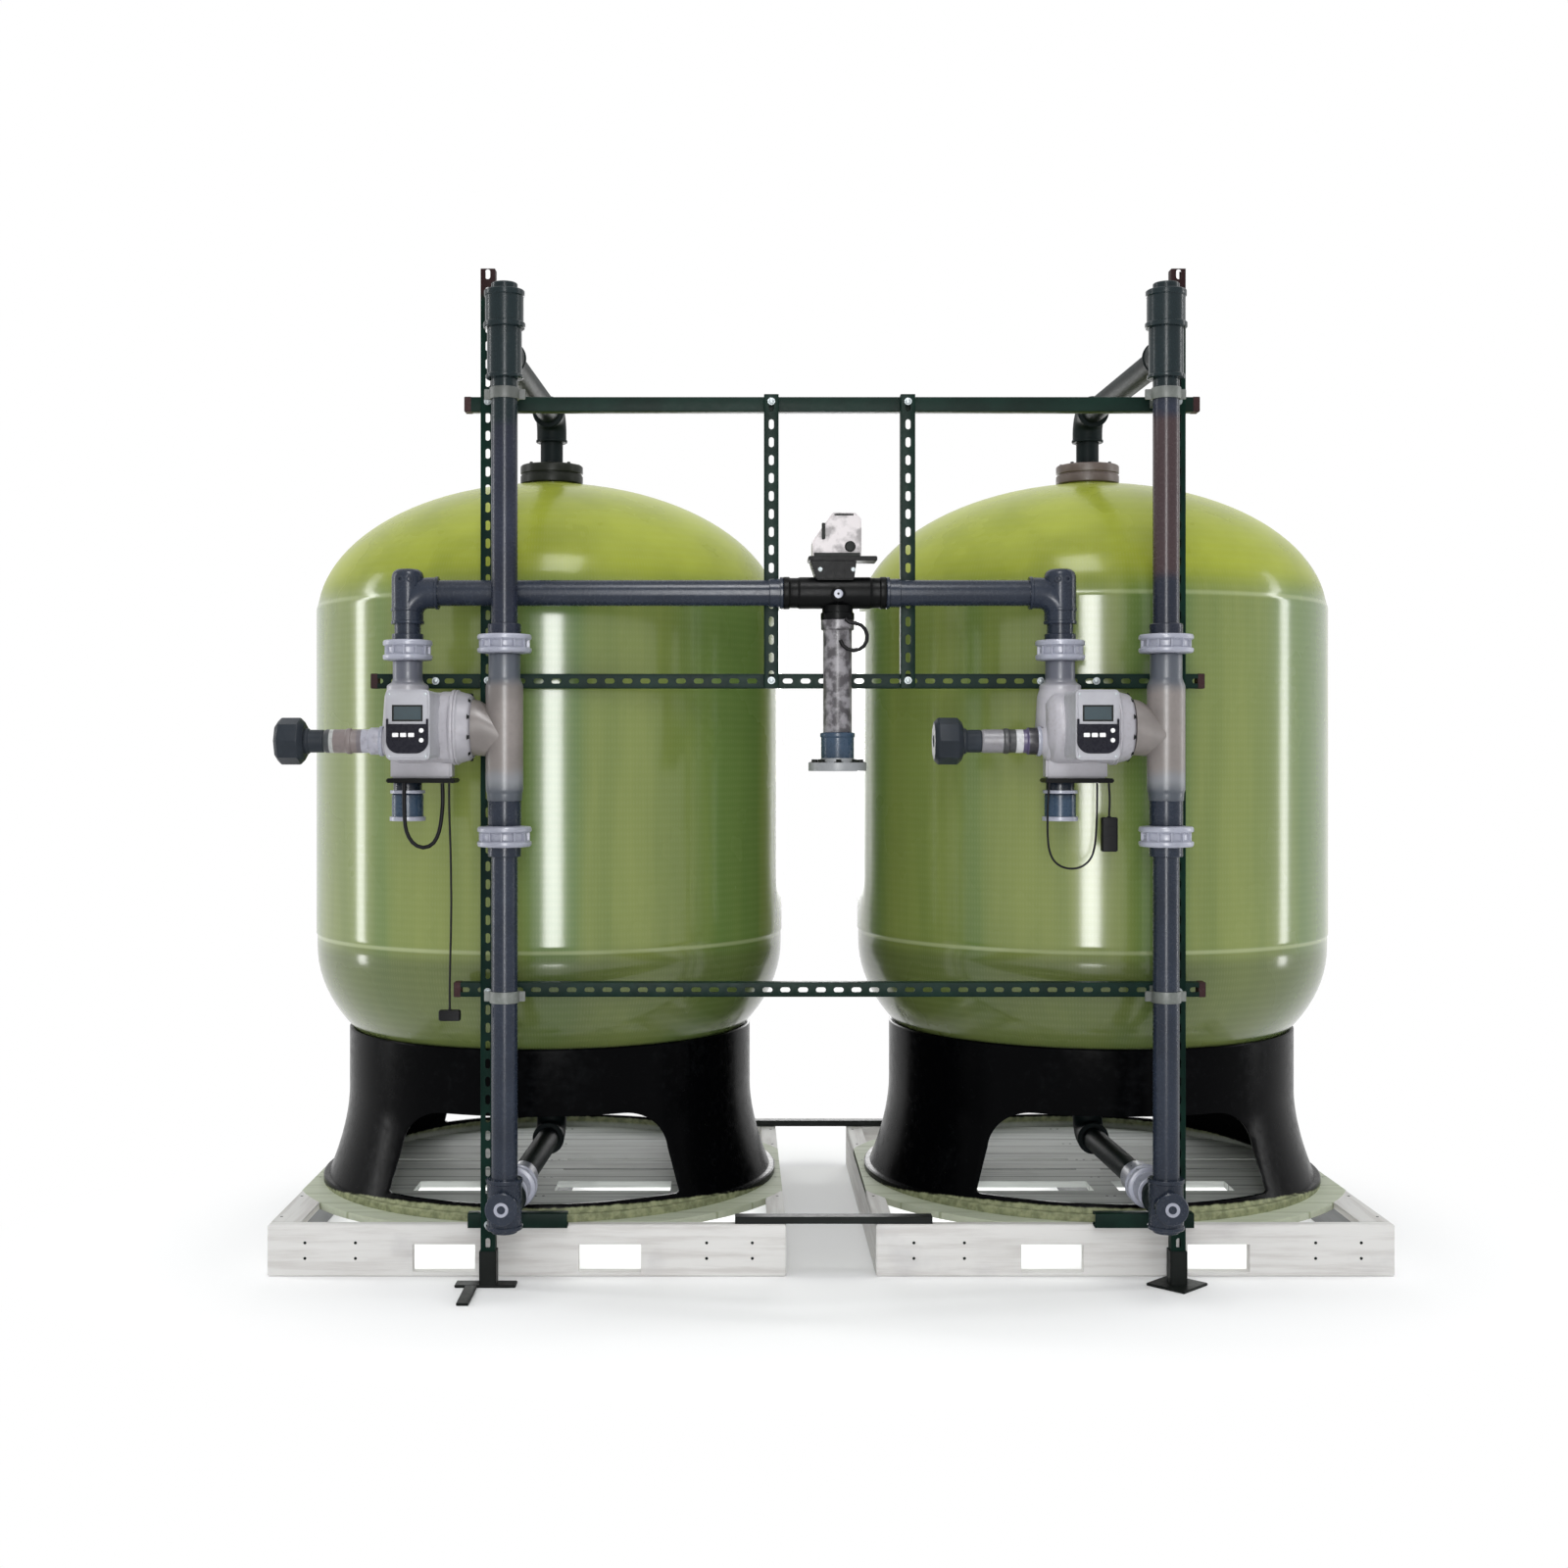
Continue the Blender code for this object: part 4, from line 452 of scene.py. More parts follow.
@dataclass(frozen=True)
class SkirtMoulding:
    """Black moulded skirt whose foot ring carries a painted olive reflection of the vessel, paler at its
    inner rear with painted backlight.
    """

    name: str
    slot: str
    centre: Spot
    foot_z: float
    band: float = 0.04
    reach: float = 0.7
    black: Colour = (0.001, 0.0011, 0.0014)
    scuffed: Colour = (0.004, 0.0044, 0.005)
    # The two tones of the painted olive reflection on the foot band.
    foot_olive_reflection: Colour = (0.29, 0.31, 0.18)
    foot_olive_reflection_dark: Colour = (0.17, 0.185, 0.105)
    inner_foot: Pair = (0.711, 0.705)
    foot_flare: float = 0.38
    # The painted backlight on the inner face of the rear foot.
    backlit_pale: Colour = (0.45, 0.47, 0.44)

    def material(self) -> bpy.types.Material:
        """Builds the skirt's node material.

        Returns:
            The material.
        """
        graph = ShaderGraph(self.name)
        spot = graph.place(self.centre)
        x, y, z = graph.axes(spot)
        blots = graph.noise(spot, 5.0, 4.0)
        fine = graph.noise(spot, 42.0, 4.0)
        shade = graph.mix((blots * 0.6 + fine * 0.4).step(0.5, 0.66) * 0.6, self.black, self.scuffed)
        # The foot band is painted with an olive reflection of the vessel, in two tones.
        dust = graph.mix(fine.step(0.35, 0.65), self.foot_olive_reflection_dark, self.foot_olive_reflection)
        # Painted backlight: the inner face of the rear foot is painted pale, as if lit through the rear
        # windows.
        reach = (x * x + y * y) ** 0.5 + (z - self.foot_z) * self.foot_flare
        backlit_inner_rear = reach.step(*self.inner_foot) * y.step(0.15, 0.3)
        dust = graph.mix(backlit_inner_rear * (fine * 0.5 + 0.6), dust, self.backlit_pale)
        # Below a line that rises toward the front and back of the foot, the painted reflection replaces the
        # black.
        front = abs(y).step(0.12, self.reach)
        edge = front * self.band + (fine - 0.5) * 0.008 + self.foot_z
        shade = graph.mix((edge - z).step(0.0, 0.006), shade, dust)
        graph.drive("Base Color", shade)
        graph.drive("Roughness", fine.step(0.3, 0.7) * 0.1 + 0.18)
        graph.relief(fine, 0.00008)
        graph.shader.inputs["Specular IOR Level"].default_value = 0.03
        return graph.material


@dataclass(frozen=True)
class BandedSpigot:
    """Drain spigot moulded in dark and pale bands along X."""

    name: str
    slot: str
    start_x: float
    bands: tuple[tuple[float, Colour], ...]

    def material(self) -> bpy.types.Material:
        """Builds the banded material.

        Returns:
            The material.
        """
        graph = ShaderGraph(self.name)
        spot = graph.place()
        along = (graph.axes(spot)[0] - self.start_x) * -1.0
        blots = graph.noise(spot, 60.0, 3.0)
        shade = self.bands[0][1]
        for (start, _), (_, colour) in zip(self.bands, self.bands[1:]):
            shade = graph.mix(along.step(start - 0.001, start + 0.001), shade, colour)
        shade = graph.mix(blots.step(0.48, 0.7) * 0.3, shade, (0.1, 0.085, 0.09))
        graph.drive("Base Color", shade)
        graph.drive("Roughness", blots * 0.15 + 0.3)
        graph.relief(graph.noise(spot, 240.0, 2.0), 0.00005)
        return graph.material


@dataclass(frozen=True)
class MottledPlastic:
    """Speckled plastic of two tones, as on the changeover drive's cover and the riser's tinted stretch."""

    name: str
    slot: str
    first: Colour
    second: Colour
    scale: float = 30.0
    low: float = 0.42
    high: float = 0.58
    roughness: float = 0.4

    def material(self) -> bpy.types.Material:
        """Builds the two-tone material.

        Returns:
            The material.
        """
        graph = ShaderGraph(self.name)
        spot = graph.place()
        blots = graph.noise(spot, self.scale, 3.0)
        graph.drive("Base Color", graph.mix(blots.step(self.low, self.high), self.first, self.second))
        graph.drive("Roughness", blots * 0.2 + (self.roughness - 0.1))
        graph.relief(graph.noise(spot, 240.0, 2.0), 0.00015)
        return graph.material


class Tone(Enum):
    """The plain finishes of the softener, by what they cover."""

    STRUT = Finish(
        "green_strut_paint", "strut", (0.003, 0.015, 0.0105), 0.42, 0.3, 0.04, (0.02, 0.04, 0.035),
        specular=0.08
    )
    STRUT_END = Finish("dark_red_strut_end", "strut", (0.03, 0.009, 0.01), 0.55, 0.3, 0.08, specular=0.15)
    STEEL = Finish("black_steel", "black_steel", (0.006, 0.008, 0.007), 0.45, 0.3, 0.06, (0.05, 0.05, 0.05),
                   specular=0.12)
    PIPE = Finish("slate_pipe", "pipe", (0.017, 0.023, 0.037), 0.26, 0.15, 0.02, (0.08, 0.09, 0.12),
                  specular=0.24)
    BROWN_PIPE = Finish(
        "stained_slate_pipe", "pipe", (0.018, 0.022, 0.036), 0.26, 0.18, 0.02, (0.08, 0.09, 0.12),
        specular=0.22,
        stains=((1.98, 2.47, (0.052, 0.032, 0.033)), (2.48, 3.0, (0.0065, 0.015, 0.0165))),
    )
    RISER_PIPE = Finish(
        "slate_riser_pipe", "pipe", (0.018, 0.022, 0.036), 0.26, 0.18, 0.02, (0.08, 0.09, 0.12), specular=0.2,
        stains=((2.4, 3.0, (0.0065, 0.015, 0.0165)),),
    )
    BRANCH = Finish("dark_branch", "pipe", (0.006, 0.01, 0.0105), 0.5, 0.25, 0.03, (0.03, 0.04, 0.04),
                    specular=0.07)
    STUB = Finish("blue_port", "pipe", (0.026, 0.05, 0.085), 0.28, 0.18, 0.04, (0.1, 0.16, 0.24),
                  specular=0.35)
    PORT = Finish(
        "dark_topped_port", "pipe", (0.026, 0.05, 0.085), 0.28, 0.18, 0.04, (0.1, 0.16, 0.24), specular=0.3,
        stains=((1.375, 1.6, (0.003, 0.005, 0.01)),),
    )
    POST = Finish(
        "green_post_paint", "strut", (0.003, 0.0165, 0.0115), 0.46, 0.3, 0.04, (0.02, 0.04, 0.035),
        specular=0.05,
        stains=((2.79, 3.0, (0.026, 0.01, 0.011)),),
    )
    FLANGE = Finish("pale_outlet_flange", "grey_pipe", (0.24, 0.25, 0.26), 0.4, 0.12, 0.15,
                    (0.14, 0.14, 0.15))
    STRAP = Finish("mottled_grey_strap", "pipe", (0.105, 0.115, 0.105), 0.45, 0.35, 0.5, (0.26, 0.27, 0.26))
    UNION = Finish("lavender_union", "pipe", (0.3, 0.31, 0.37), 0.3, 0.14, 0.12, (0.16, 0.15, 0.17))
    NUT = Finish("slate_nut", "dark_fitting", (0.021, 0.026, 0.033), 0.38, 0.2, 0.05, (0.08, 0.09, 0.1),
                 specular=0.12)
    ADAPTER = Finish("dark_adapter", "dark_fitting", (0.01, 0.012, 0.009), 0.38, 0.2, 0.06, (0.1, 0.1, 0.07),
                     specular=0.15)
    ADAPTER_BROWN = Finish("brown_grey_adapter", "dark_fitting", (0.085, 0.06, 0.052), 0.42, 0.2, 0.12)
    CASTING = Finish("pale_grey_casting", "valve", (0.37, 0.36, 0.39), 0.4, 0.16, 0.4, (0.24, 0.21, 0.2))
    ARM = Finish(
        "brown_grey_casting", "valve", (0.18, 0.16, 0.15), 0.36, 0.16, 0.18, (0.1, 0.085, 0.08),
        stains=(
            (1.2, 1.48, (0.18, 0.19, 0.205)), (1.2, 1.44, (0.04, 0.05, 0.066)),
            (1.68, 1.9, (0.055, 0.068, 0.09)),
        ),
    )
    HUB = Finish(
        "stained_grey_hub", "valve", (0.4, 0.39, 0.42), 0.36, 0.12, 0.14, (0.24, 0.21, 0.2),
        stains=((1.685, 1.9, (0.06, 0.068, 0.095)),),
    )
    HOUSING = Finish("grey_housing", "head", (0.35, 0.35, 0.38), 0.36, 0.12, 0.3, (0.24, 0.24, 0.27))
    PANEL = Finish("black_panel", "black_plastic", (0.006, 0.006, 0.012), 0.28, 0.1, specular=0.14)
    BODY = Finish("black_changeover_body", "black_plastic", (0.003, 0.0032, 0.0034), 0.36, 0.2, 0.01,
                  (0.03, 0.03, 0.03), specular=0.08)
    WINDOW = Finish("display_glass", "black_plastic", (0.018, 0.04, 0.05), 0.12, 0.15, coat=0.5)
    KEY = Finish("white_key", "key", (0.78, 0.78, 0.78), 0.38, 0.04)
    RUBBER = Finish("black_cable", "cable", (0.006, 0.006, 0.007), 0.48, 0.15, specular=0.12)
    ZINC = Finish("zinc_screw", "black_steel", (0.3, 0.33, 0.34), 0.48, 0.15, metallic=0.8)
    PISTON = Finish("pale_piston", "piston", (0.7, 0.7, 0.7), 0.35, 0.05)
    RESIN = Finish("resin_beads", "resin", (0.35, 0.18, 0.05), 0.55, 0.25, grain=0.0008, grain_scale=900.0)


Recipe = Tone | Finish | WoundShell | PaleTimber | SkirtMoulding | BandedSpigot | MottledPlastic


class Paints:
    """Makes each material once and hands it out by its finish."""

    def __init__(self) -> None:
        """Starts with none made."""
        self.made: dict[str, bpy.types.Material] = {}

    def get(self, finish: Recipe) -> bpy.types.Material:
        """Returns a finish's material, made on its first use.

        Args:
            finish: the finish's recipe.

        Returns:
            The material.
        """
        recipe = finish.value if isinstance(finish, Tone) else finish
        if recipe.name not in self.made:
            self.made[recipe.name] = recipe.material()
        return self.made[recipe.name]

    @staticmethod
    def slot_of(finish: Recipe) -> str:
        """The material slot that a finish names."""
        return (finish.value if isinstance(finish, Tone) else finish).slot


class GeometryGraph:
    """A Geometry Nodes tree that repeats a unit and dresses it, with named inputs."""

    def __init__(self, name: str, inputs: Sequence[tuple[str, str]]) -> None:
        """Starts a tree.

        Args:
            name: the tree's name.
            inputs: the name and socket type of each input.
        """
        self.tree = bpy.data.node_groups.new(name, "GeometryNodeTree")
        for label, kind in inputs:
            self.tree.interface.new_socket(label, in_out="INPUT", socket_type=kind)
        self.tree.interface.new_socket("Geometry", in_out="OUTPUT", socket_type="NodeSocketGeometry")
        self.source = self.tree.nodes.new("NodeGroupInput")
        self.result = self.tree.nodes.new("NodeGroupOutput")

    def node(self, kind: str, settings: dict[str, object], values: dict[int | str, object]) -> bpy.types.Node:
        """Adds a node.

        Args:
            kind: the node's type.
            settings: its properties, set first.
            values: output sockets to link, or plain values, by input.

        Returns:
            The node.
        """
        made = self.tree.nodes.new(kind)
        for key, value in settings.items():
            setattr(made, key, value)
        for key, value in values.items():
            if isinstance(value, bpy.types.NodeSocket):
                self.tree.links.new(value, made.inputs[key])
            else:
                made.inputs[key].default_value = value
        return made

    def close(self, instances: bpy.types.NodeSocket) -> None:
        """Ends the tree in Realize Instances and Set Material.

        Args:
            instances: the socket that gives the copies.
        """
        plain = self.node("GeometryNodeRealizeInstances", {}, {0: instances})
        finish = self.source.outputs["Finish"]
        dressed = self.node("GeometryNodeSetMaterial", {}, {"Geometry": plain.outputs[0], "Material": finish})
        self.tree.links.new(dressed.outputs[0], self.result.inputs[0])

    def run(self, mesh: bpy.types.Mesh, values: dict[str, object]) -> bpy.types.Mesh:
        """Runs the tree on a mesh.

        Args:
            mesh: the mesh that goes in.
            values: each input's value by name.

        Returns:
            A plain mesh of the result.
        """
        carrier = bpy.data.objects.new("carrier", mesh)
        bpy.context.scene.collection.objects.link(carrier)
        modifier = carrier.modifiers.new("repeat", "NODES")
        modifier.node_group = self.tree
        for item in self.tree.interface.items_tree:
            if item.in_out == "INPUT" and item.name in values:
                modifier[item.identifier] = values[item.name]
        depsgraph = bpy.context.evaluated_depsgraph_get()
        made = bpy.data.meshes.new_from_object(carrier.evaluated_get(depsgraph))
        carrier.modifiers.remove(modifier)
        bpy.data.objects.remove(carrier, do_unlink=True)
        return made


class Repeats:
    """The repeating trees: a row of units, units round a circle, and units at chosen spots."""

    def __init__(self) -> None:
        """Builds the three trees."""
        self.row = self._row_tree()
        self.ring = self._ring_tree()
        self.spots = self._spot_tree()

    @staticmethod
    def _row_tree() -> GeometryGraph:
        """Units one after the other along a line.

        Returns:
            The tree.
        """
        inputs = [
            ("Unit", "NodeSocketGeometry"),
            ("Count", "NodeSocketInt"),
            ("Start", "NodeSocketVector"),
            ("Step", "NodeSocketVector"),
            ("Finish", "NodeSocketMaterial"),
        ]
        graph = GeometryGraph("units_in_a_row", inputs)
        ends = graph.source.outputs
        values = {"Count": ends["Count"], "Start Location": ends["Start"], "Offset": ends["Step"]}
        line = graph.node("GeometryNodeMeshLine", {"mode": "OFFSET"}, values)
        made = graph.node(
            "GeometryNodeInstanceOnPoints", {}, {"Points": line.outputs[0], "Instance": ends["Unit"]}
        )
        graph.close(made.outputs[0])
        return graph

    @staticmethod
    def _ring_tree() -> GeometryGraph:
        """Units turned about Z, spread evenly round a circle.

        Returns:
            The tree.
        """
        inputs = [
            ("Unit", "NodeSocketGeometry"),
            ("Count", "NodeSocketInt"),
            ("Finish", "NodeSocketMaterial"),
        ]
        graph = GeometryGraph("units_round_a_circle", inputs)
        ends = graph.source.outputs
        line = graph.node(
            "GeometryNodeMeshLine", {"mode": "OFFSET"}, {"Count": ends["Count"], "Offset": (0.0, 0.0, 0.0)}
        )
        index = graph.node("GeometryNodeInputIndex", {}, {})
        share = graph.node(
            "ShaderNodeMath", {"operation": "DIVIDE"}, {0: index.outputs[0], 1: ends["Count"]}
        )
        angle = graph.node("ShaderNodeMath", {"operation": "MULTIPLY"}, {0: share.outputs[0], 1: math.tau})
        turn = graph.node("ShaderNodeCombineXYZ", {}, {"Z": angle.outputs[0]})
        values = {"Points": line.outputs[0], "Instance": ends["Unit"], "Rotation": turn.outputs[0]}
        made = graph.node("GeometryNodeInstanceOnPoints", {}, values)
        graph.close(made.outputs[0])
        return graph

    @staticmethod
    def _spot_tree() -> GeometryGraph:
        """Units of another object at each vertex, turned at random about the unit's Z axis.

        Returns:
            The tree.
        """
        inputs = [
            ("Spots", "NodeSocketGeometry"),
            ("Unit", "NodeSocketObject"),
            ("Most Turn", "NodeSocketFloat"),
            ("Seed", "NodeSocketInt"),
            ("Finish", "NodeSocketMaterial"),
        ]
        graph = GeometryGraph("units_at_spots", inputs)
        ends = graph.source.outputs
        unit = graph.node("GeometryNodeObjectInfo", {}, {"Object": ends["Unit"]})
        turn = graph.node(
            "FunctionNodeRandomValue", {"data_type": "FLOAT"}, {"Seed": ends["Seed"]}
        )
        graph.tree.links.new(ends["Most Turn"], turn.inputs[3])
        spin = graph.node("ShaderNodeCombineXYZ", {}, {"Z": turn.outputs[1]})
        values = {"Points": ends["Spots"], "Instance": unit.outputs["Geometry"], "Rotation": spin.outputs[0]}
        made = graph.node("GeometryNodeInstanceOnPoints", {}, values)
        graph.close(made.outputs[0])
        return graph


def softened(outline: Sequence[Pair], radius: float, steps: int = 3, closed: bool = True) -> list[Pair]:
    """Rounds the corners of an outline.

    Args:
        outline: its corner points.
        radius: the reach of each round, cut down on short sides.
        steps: how many faces each round has.
        closed: whether the last point joins the first.

    Returns:
        The outline with rounds.
    """
    points = [Vector(point) for point in outline]
    count = len(points)
    rounded: list[Pair] = []
    for i, corner in enumerate(points):
        if not closed and i in (0, count - 1):
            rounded.append(tuple(corner))
            continue
        before, after = points[i - 1] - corner, points[(i + 1) % count] - corner
        reach = min(radius, before.length * 0.45, after.length * 0.45)
        start, end = corner + before.normalized() * reach, corner + after.normalized() * reach
        for step in range(steps + 1):
            t = step / steps
            rounded.append(tuple(start * (1 - t) ** 2 + corner * (2 * t * (1 - t)) + end * t**2))
    return rounded


def arc_points(centre: Pair, radius: float, start: float, end: float, steps: int) -> list[Pair]:
    """Points of an arc.

    Args:
        centre: the arc's centre.
        radius: its radius.
        start: its first angle in degrees.
        end: its last angle.
        steps: how many chords it has.

    Returns:
        The points.
    """
    angles = [math.radians(start + (end - start) * i / steps) for i in range(steps + 1)]
    return [(centre[0] + radius * math.cos(a), centre[1] + radius * math.sin(a)) for a in angles]


def rounded_box(width: float, height: float, radius: float, steps: int = 5) -> list[Pair]:
    """A rectangle about the origin with round corners.

    Args:
        width: its size along the first axis.
        height: its size along the second.
        radius: the corners' radius.
        steps: how many chords each corner has.

    Returns:
        The outline's points.
    """
    x, y = width / 2 - radius, height / 2 - radius
    corners = (((x, y), 0), ((-x, y), 90), ((-x, -y), 180), ((x, -y), 270))
    return [p for centre, start in corners for p in arc_points(centre, radius, start, start + 90, steps)]


def basis_for(direction: Vector) -> tuple[Vector, Vector]:
    """Two unit vectors square to a direction, the first as near to +X as it can be.

    Args:
        direction: the unit vector to be square to.

    Returns:
        Both directions.
    """
    side = X_AXIS - direction * X_AXIS.dot(direction)
    if side.length < 0.1:
        side = Y_AXIS - direction * Y_AXIS.dot(direction)
    side.normalize()
    return side, direction.cross(side)


@dataclass(frozen=True)
class Collar:
    """A stretch of another radius along a pipe."""

    start: float
    end: float
    radius: float


class Route:
    """A pipe's centre line: straight runs joined by arcs."""

    def __init__(self, points: Sequence[Spot], bend: float, steps: int = 10) -> None:
        """Measures the line.

        Args:
            points: its corners.
            bend: the bends' radius.
            steps: how many chords each bend has.
        """
        corners = [Vector(point) for point in points]
        stops = [(corners[0], (corners[1] - corners[0]).normalized())]
        self.bends: list[Pair] = []
        marks: list[tuple[int, int]] = []
        for before, corner, after in zip(corners, corners[1:], corners[2:]):
            way_in, way_out = (corner - before).normalized(), (after - corner).normalized()
            turn = way_in.angle(way_out)
            axis = way_in.cross(way_out).normalized()
            start = corner - way_in * bend * math.tan(turn / 2)
            hub = start + axis.cross(way_in) * bend
            marks.append((len(stops), len(stops) + steps))
            for i in range(steps + 1):
                spin = Matrix.Rotation(turn * i / steps, 3, axis)
                stops.append((hub + spin @ (start - hub), spin @ way_in))
        stops.append((corners[-1], (corners[-1] - corners[-2]).normalized()))
        distance = 0.0
        self.stops = [(distance, *stops[0])]
        for before, here in zip(stops, stops[1:]):
            distance += (here[0] - before[0]).length
            self.stops.append((distance, *here))
        self.bends = [(self.stops[a][0], self.stops[b][0]) for a, b in marks]
        self.length = distance

    def at(self, distance: float) -> tuple[Vector, Vector]:
        """The centre and direction at a distance along the line.

        Args:
            distance: how far along the line.

        Returns:
            The point and the direction there.
        """
        for before, here in zip(self.stops, self.stops[1:]):
            if distance <= here[0] + 1e-9:
                share = (distance - before[0]) / max(here[0] - before[0], 1e-9)
                return before[1].lerp(here[1], share), before[2].lerp(here[2], share).normalized()
        return self.stops[-1][1], self.stops[-1][2]

    def fittings(self, socket: float, radius: float, lip: float = 0.003, band: float = 0.01) -> list[Collar]:
        """Sockets over each bend, with a lip at both mouths.

        Args:
            socket: how far the elbow reaches past its bend.
            radius: the elbow's radius.
            lip: how far the lips stand proud.
            band: how long a lip is.

        Returns:
            The collars.
        """
        found = []
        for start, end in self.bends:
            low, high = max(start - socket, 0.0), min(end + socket, self.length)
            found += [Collar(low, low + band, radius + lip), Collar(high - band, high, radius + lip)]
            found.append(Collar(low, high, radius))
        return found


class Form:
    """Closed shapes gathered into one mesh, all with their faces outward."""

    def __init__(self) -> None:
        """Starts empty."""
        self.work = bmesh.new()

    def take(self, part: bmesh.types.BMesh) -> Form:
        """Adds a finished shape and frees it.

        Args:
            part: the shape. It is used up.

        Returns:
            The form.
        """
        bmesh.ops.recalc_face_normals(part, faces=part.faces)
        mesh = bpy.data.meshes.new("part")
        part.to_mesh(mesh)
        part.free()
        self.work.from_mesh(mesh)
        bpy.data.meshes.remove(mesh)
        return self

    def mesh(self, name: str) -> bpy.types.Mesh:
        """Turns what was gathered into a mesh of that name.

        Args:
            name: the mesh's name.

        Returns:
            The mesh.
        """
        made = bpy.data.meshes.new(name)
        self.work.to_mesh(made)
        self.work.free()
        return made

    @staticmethod
    def _skin(work: bmesh.types.BMesh, rings: Sequence[list], closed: bool) -> None:
        """Faces between rings, with flat caps or joined end to end.

        Args:
            work: the mesh being made.
            rings: its rings of vertices.
            closed: whether the last ring joins the first.
        """
        count = len(rings[0])
        pairs = list(zip(rings, rings[1:]))
        if closed:
            pairs.append((rings[-1], rings[0]))
        for first, second in pairs:
            for i in range(count):
                j = (i + 1) % count
                work.faces.new((first[i], first[j], second[j], second[i]))
        if not closed:
            work.faces.new(rings[0])
            work.faces.new(rings[-1])

    def turned(
        self,
        profile: Sequence[Pair],
        origin: Spot,
        axis: Vector = Z_AXIS,
        sides: int = 64,
        hollow: bool = False,
        soft: float = 0.0015,
    ) -> Form:
        """Adds a profile turned about an axis.

        Args:
            profile: points of radius and height, closed on itself if hollow.
            origin: the point on the axis at height 0.
            axis: the axis's direction.
            sides: how many faces go round.
            hollow: whether the profile is a closed loop off the axis.
            soft: the rounding of its corners.

        Returns:
            The form.
        """
        points = softened(profile, soft, 2, closed=hollow) if soft else profile
        work = bmesh.new()
        side, other = basis_for(axis)
        base = Vector(origin)
        rings = []
        for radius, height in points:
            centre = base + axis * height
            ring = []
            for i in range(sides):
                a = math.tau * i / sides
                ring.append(work.verts.new(centre + (side * math.cos(a) + other * math.sin(a)) * radius))
            rings.append(ring)
        self._skin(work, rings, hollow)
        return self.take(work)

    def pipe(
        self, route: Route, radius: float, collars: Iterable[Collar] = (), sides: int = 40,
        edge: float = 0.0015
    ) -> Form:
        """Adds a round bar along a route, with collars whose edges are eased.

        Args:
            route: the centre line.
            radius: the bar's radius.
            collars: stretches of another radius. An earlier one wins.
            sides: how many faces go round.
            edge: the easing of each step.

        Returns:
            The form.
        """
        collars = list(collars)

        def size_at(distance: float) -> float:
            """The radius at a distance.

            Args:
                distance: how far along the route.

            Returns:
                The radius.
            """
            for collar in collars:
                if collar.start < distance < collar.end:
                    return collar.radius
            return radius

        cuts = {round(stop[0], 5) for stop in route.stops}
        steps = {round(min(max(d, 0.0), route.length), 5) for c in collars for d in (c.start, c.end)}
        rows: list[Pair] = []
        for distance in sorted(cuts | steps):
            before, after = size_at(distance - 1e-5), size_at(distance + 1e-5)
            if distance in (0.0, round(route.length, 5)):
                inside = after if distance == 0.0 else before
                step_in = edge if distance == 0.0 else -edge
                pair = [(distance, inside - edge), (distance + step_in, inside)]
                rows += pair if distance == 0.0 else pair[::-1]
            elif abs(before - after) < 1e-6:
                rows.append((distance, before))
            elif before < after:
                rows += [(distance, before), (distance, after - edge), (distance + edge, after)]
            else:
                rows += [(distance - edge, before), (distance, before - edge), (distance, after)]
        work = bmesh.new()
        side = basis_for(route.stops[0][2])[0]
        rings = []
        for distance, size in sorted(rows, key=lambda row: row[0]):
            centre, direction = route.at(distance)
            side = (side - direction * side.dot(direction)).normalized()
            other = direction.cross(side)
            angles = [math.tau * i / sides for i in range(sides)]
            spots = [centre + size * (side * math.cos(a) + other * math.sin(a)) for a in angles]
            rings.append([work.verts.new(spot) for spot in spots])
        self._skin(work, rings, False)
        return self.take(work)

    def slab(
        self, outline: Sequence[Pair], low: float, high: float, across: str = "Y", bevel: float = 0.002,
        steps: int = 2
    ) -> Form:
        """Adds a flat outline carried along an axis, with its rims bevelled.

        Args:
            outline: its points in the plane.
            low: where it starts on the axis.
            high: where it ends.
            across: the axis. The outline is (x, z) for Y, (x, y) for Z and (y, z) for X.
            bevel: the bevel of its rims.
            steps: how many faces the bevel has.

        Returns:
            The form.
        """
        spot: Callable[[Pair, float], Spot] = {
            "Y": lambda p, d: (p[0], d, p[1]),
            "Z": lambda p, d: (p[0], p[1], d),
            "X": lambda p, d: (d, p[0], p[1]),
        }[across]
        work = bmesh.new()
        rings = [[work.verts.new(spot(point, depth)) for point in outline] for depth in (low, high)]
        self._skin(work, rings, False)
        bmesh.ops.recalc_face_normals(work, faces=work.faces)
        sharp = [e for e in work.edges if e.calc_face_angle(0.0) > math.radians(32)]
        if bevel:
            bmesh.ops.bevel(work, geom=sharp, offset=bevel, segments=steps, affect="EDGES",
                            clamp_overlap=True)
        return self.take(work)

    def box(self, low: Spot, high: Spot, bevel: float = 0.002) -> Form:
        """Adds a box with bevelled edges between two corners."""
        outline = [(low[0], low[1]), (high[0], low[1]), (high[0], high[1]), (low[0], high[1])]
        return self.slab(outline, low[2], high[2], "Z", bevel)

    def loft(self, sections: Sequence[tuple[Spot, float, float]], sides: int = 48) -> Form:
        """Adds a duct through upright sections square to X.

        Args:
            sections: each section's centre, half depth along Y and half height along Z.
            sides: how many faces go round.

        Returns:
            The form.
        """
        work = bmesh.new()
        rings = []
        for (x, y, z), depth, height in sections:
            angles = [math.tau * i / sides for i in range(sides)]
            spots = [(x, y + depth * math.cos(a), z + height * math.sin(a)) for a in angles]
            rings.append([work.verts.new(spot) for spot in spots])
        self._skin(work, rings, False)
        return self.take(work)


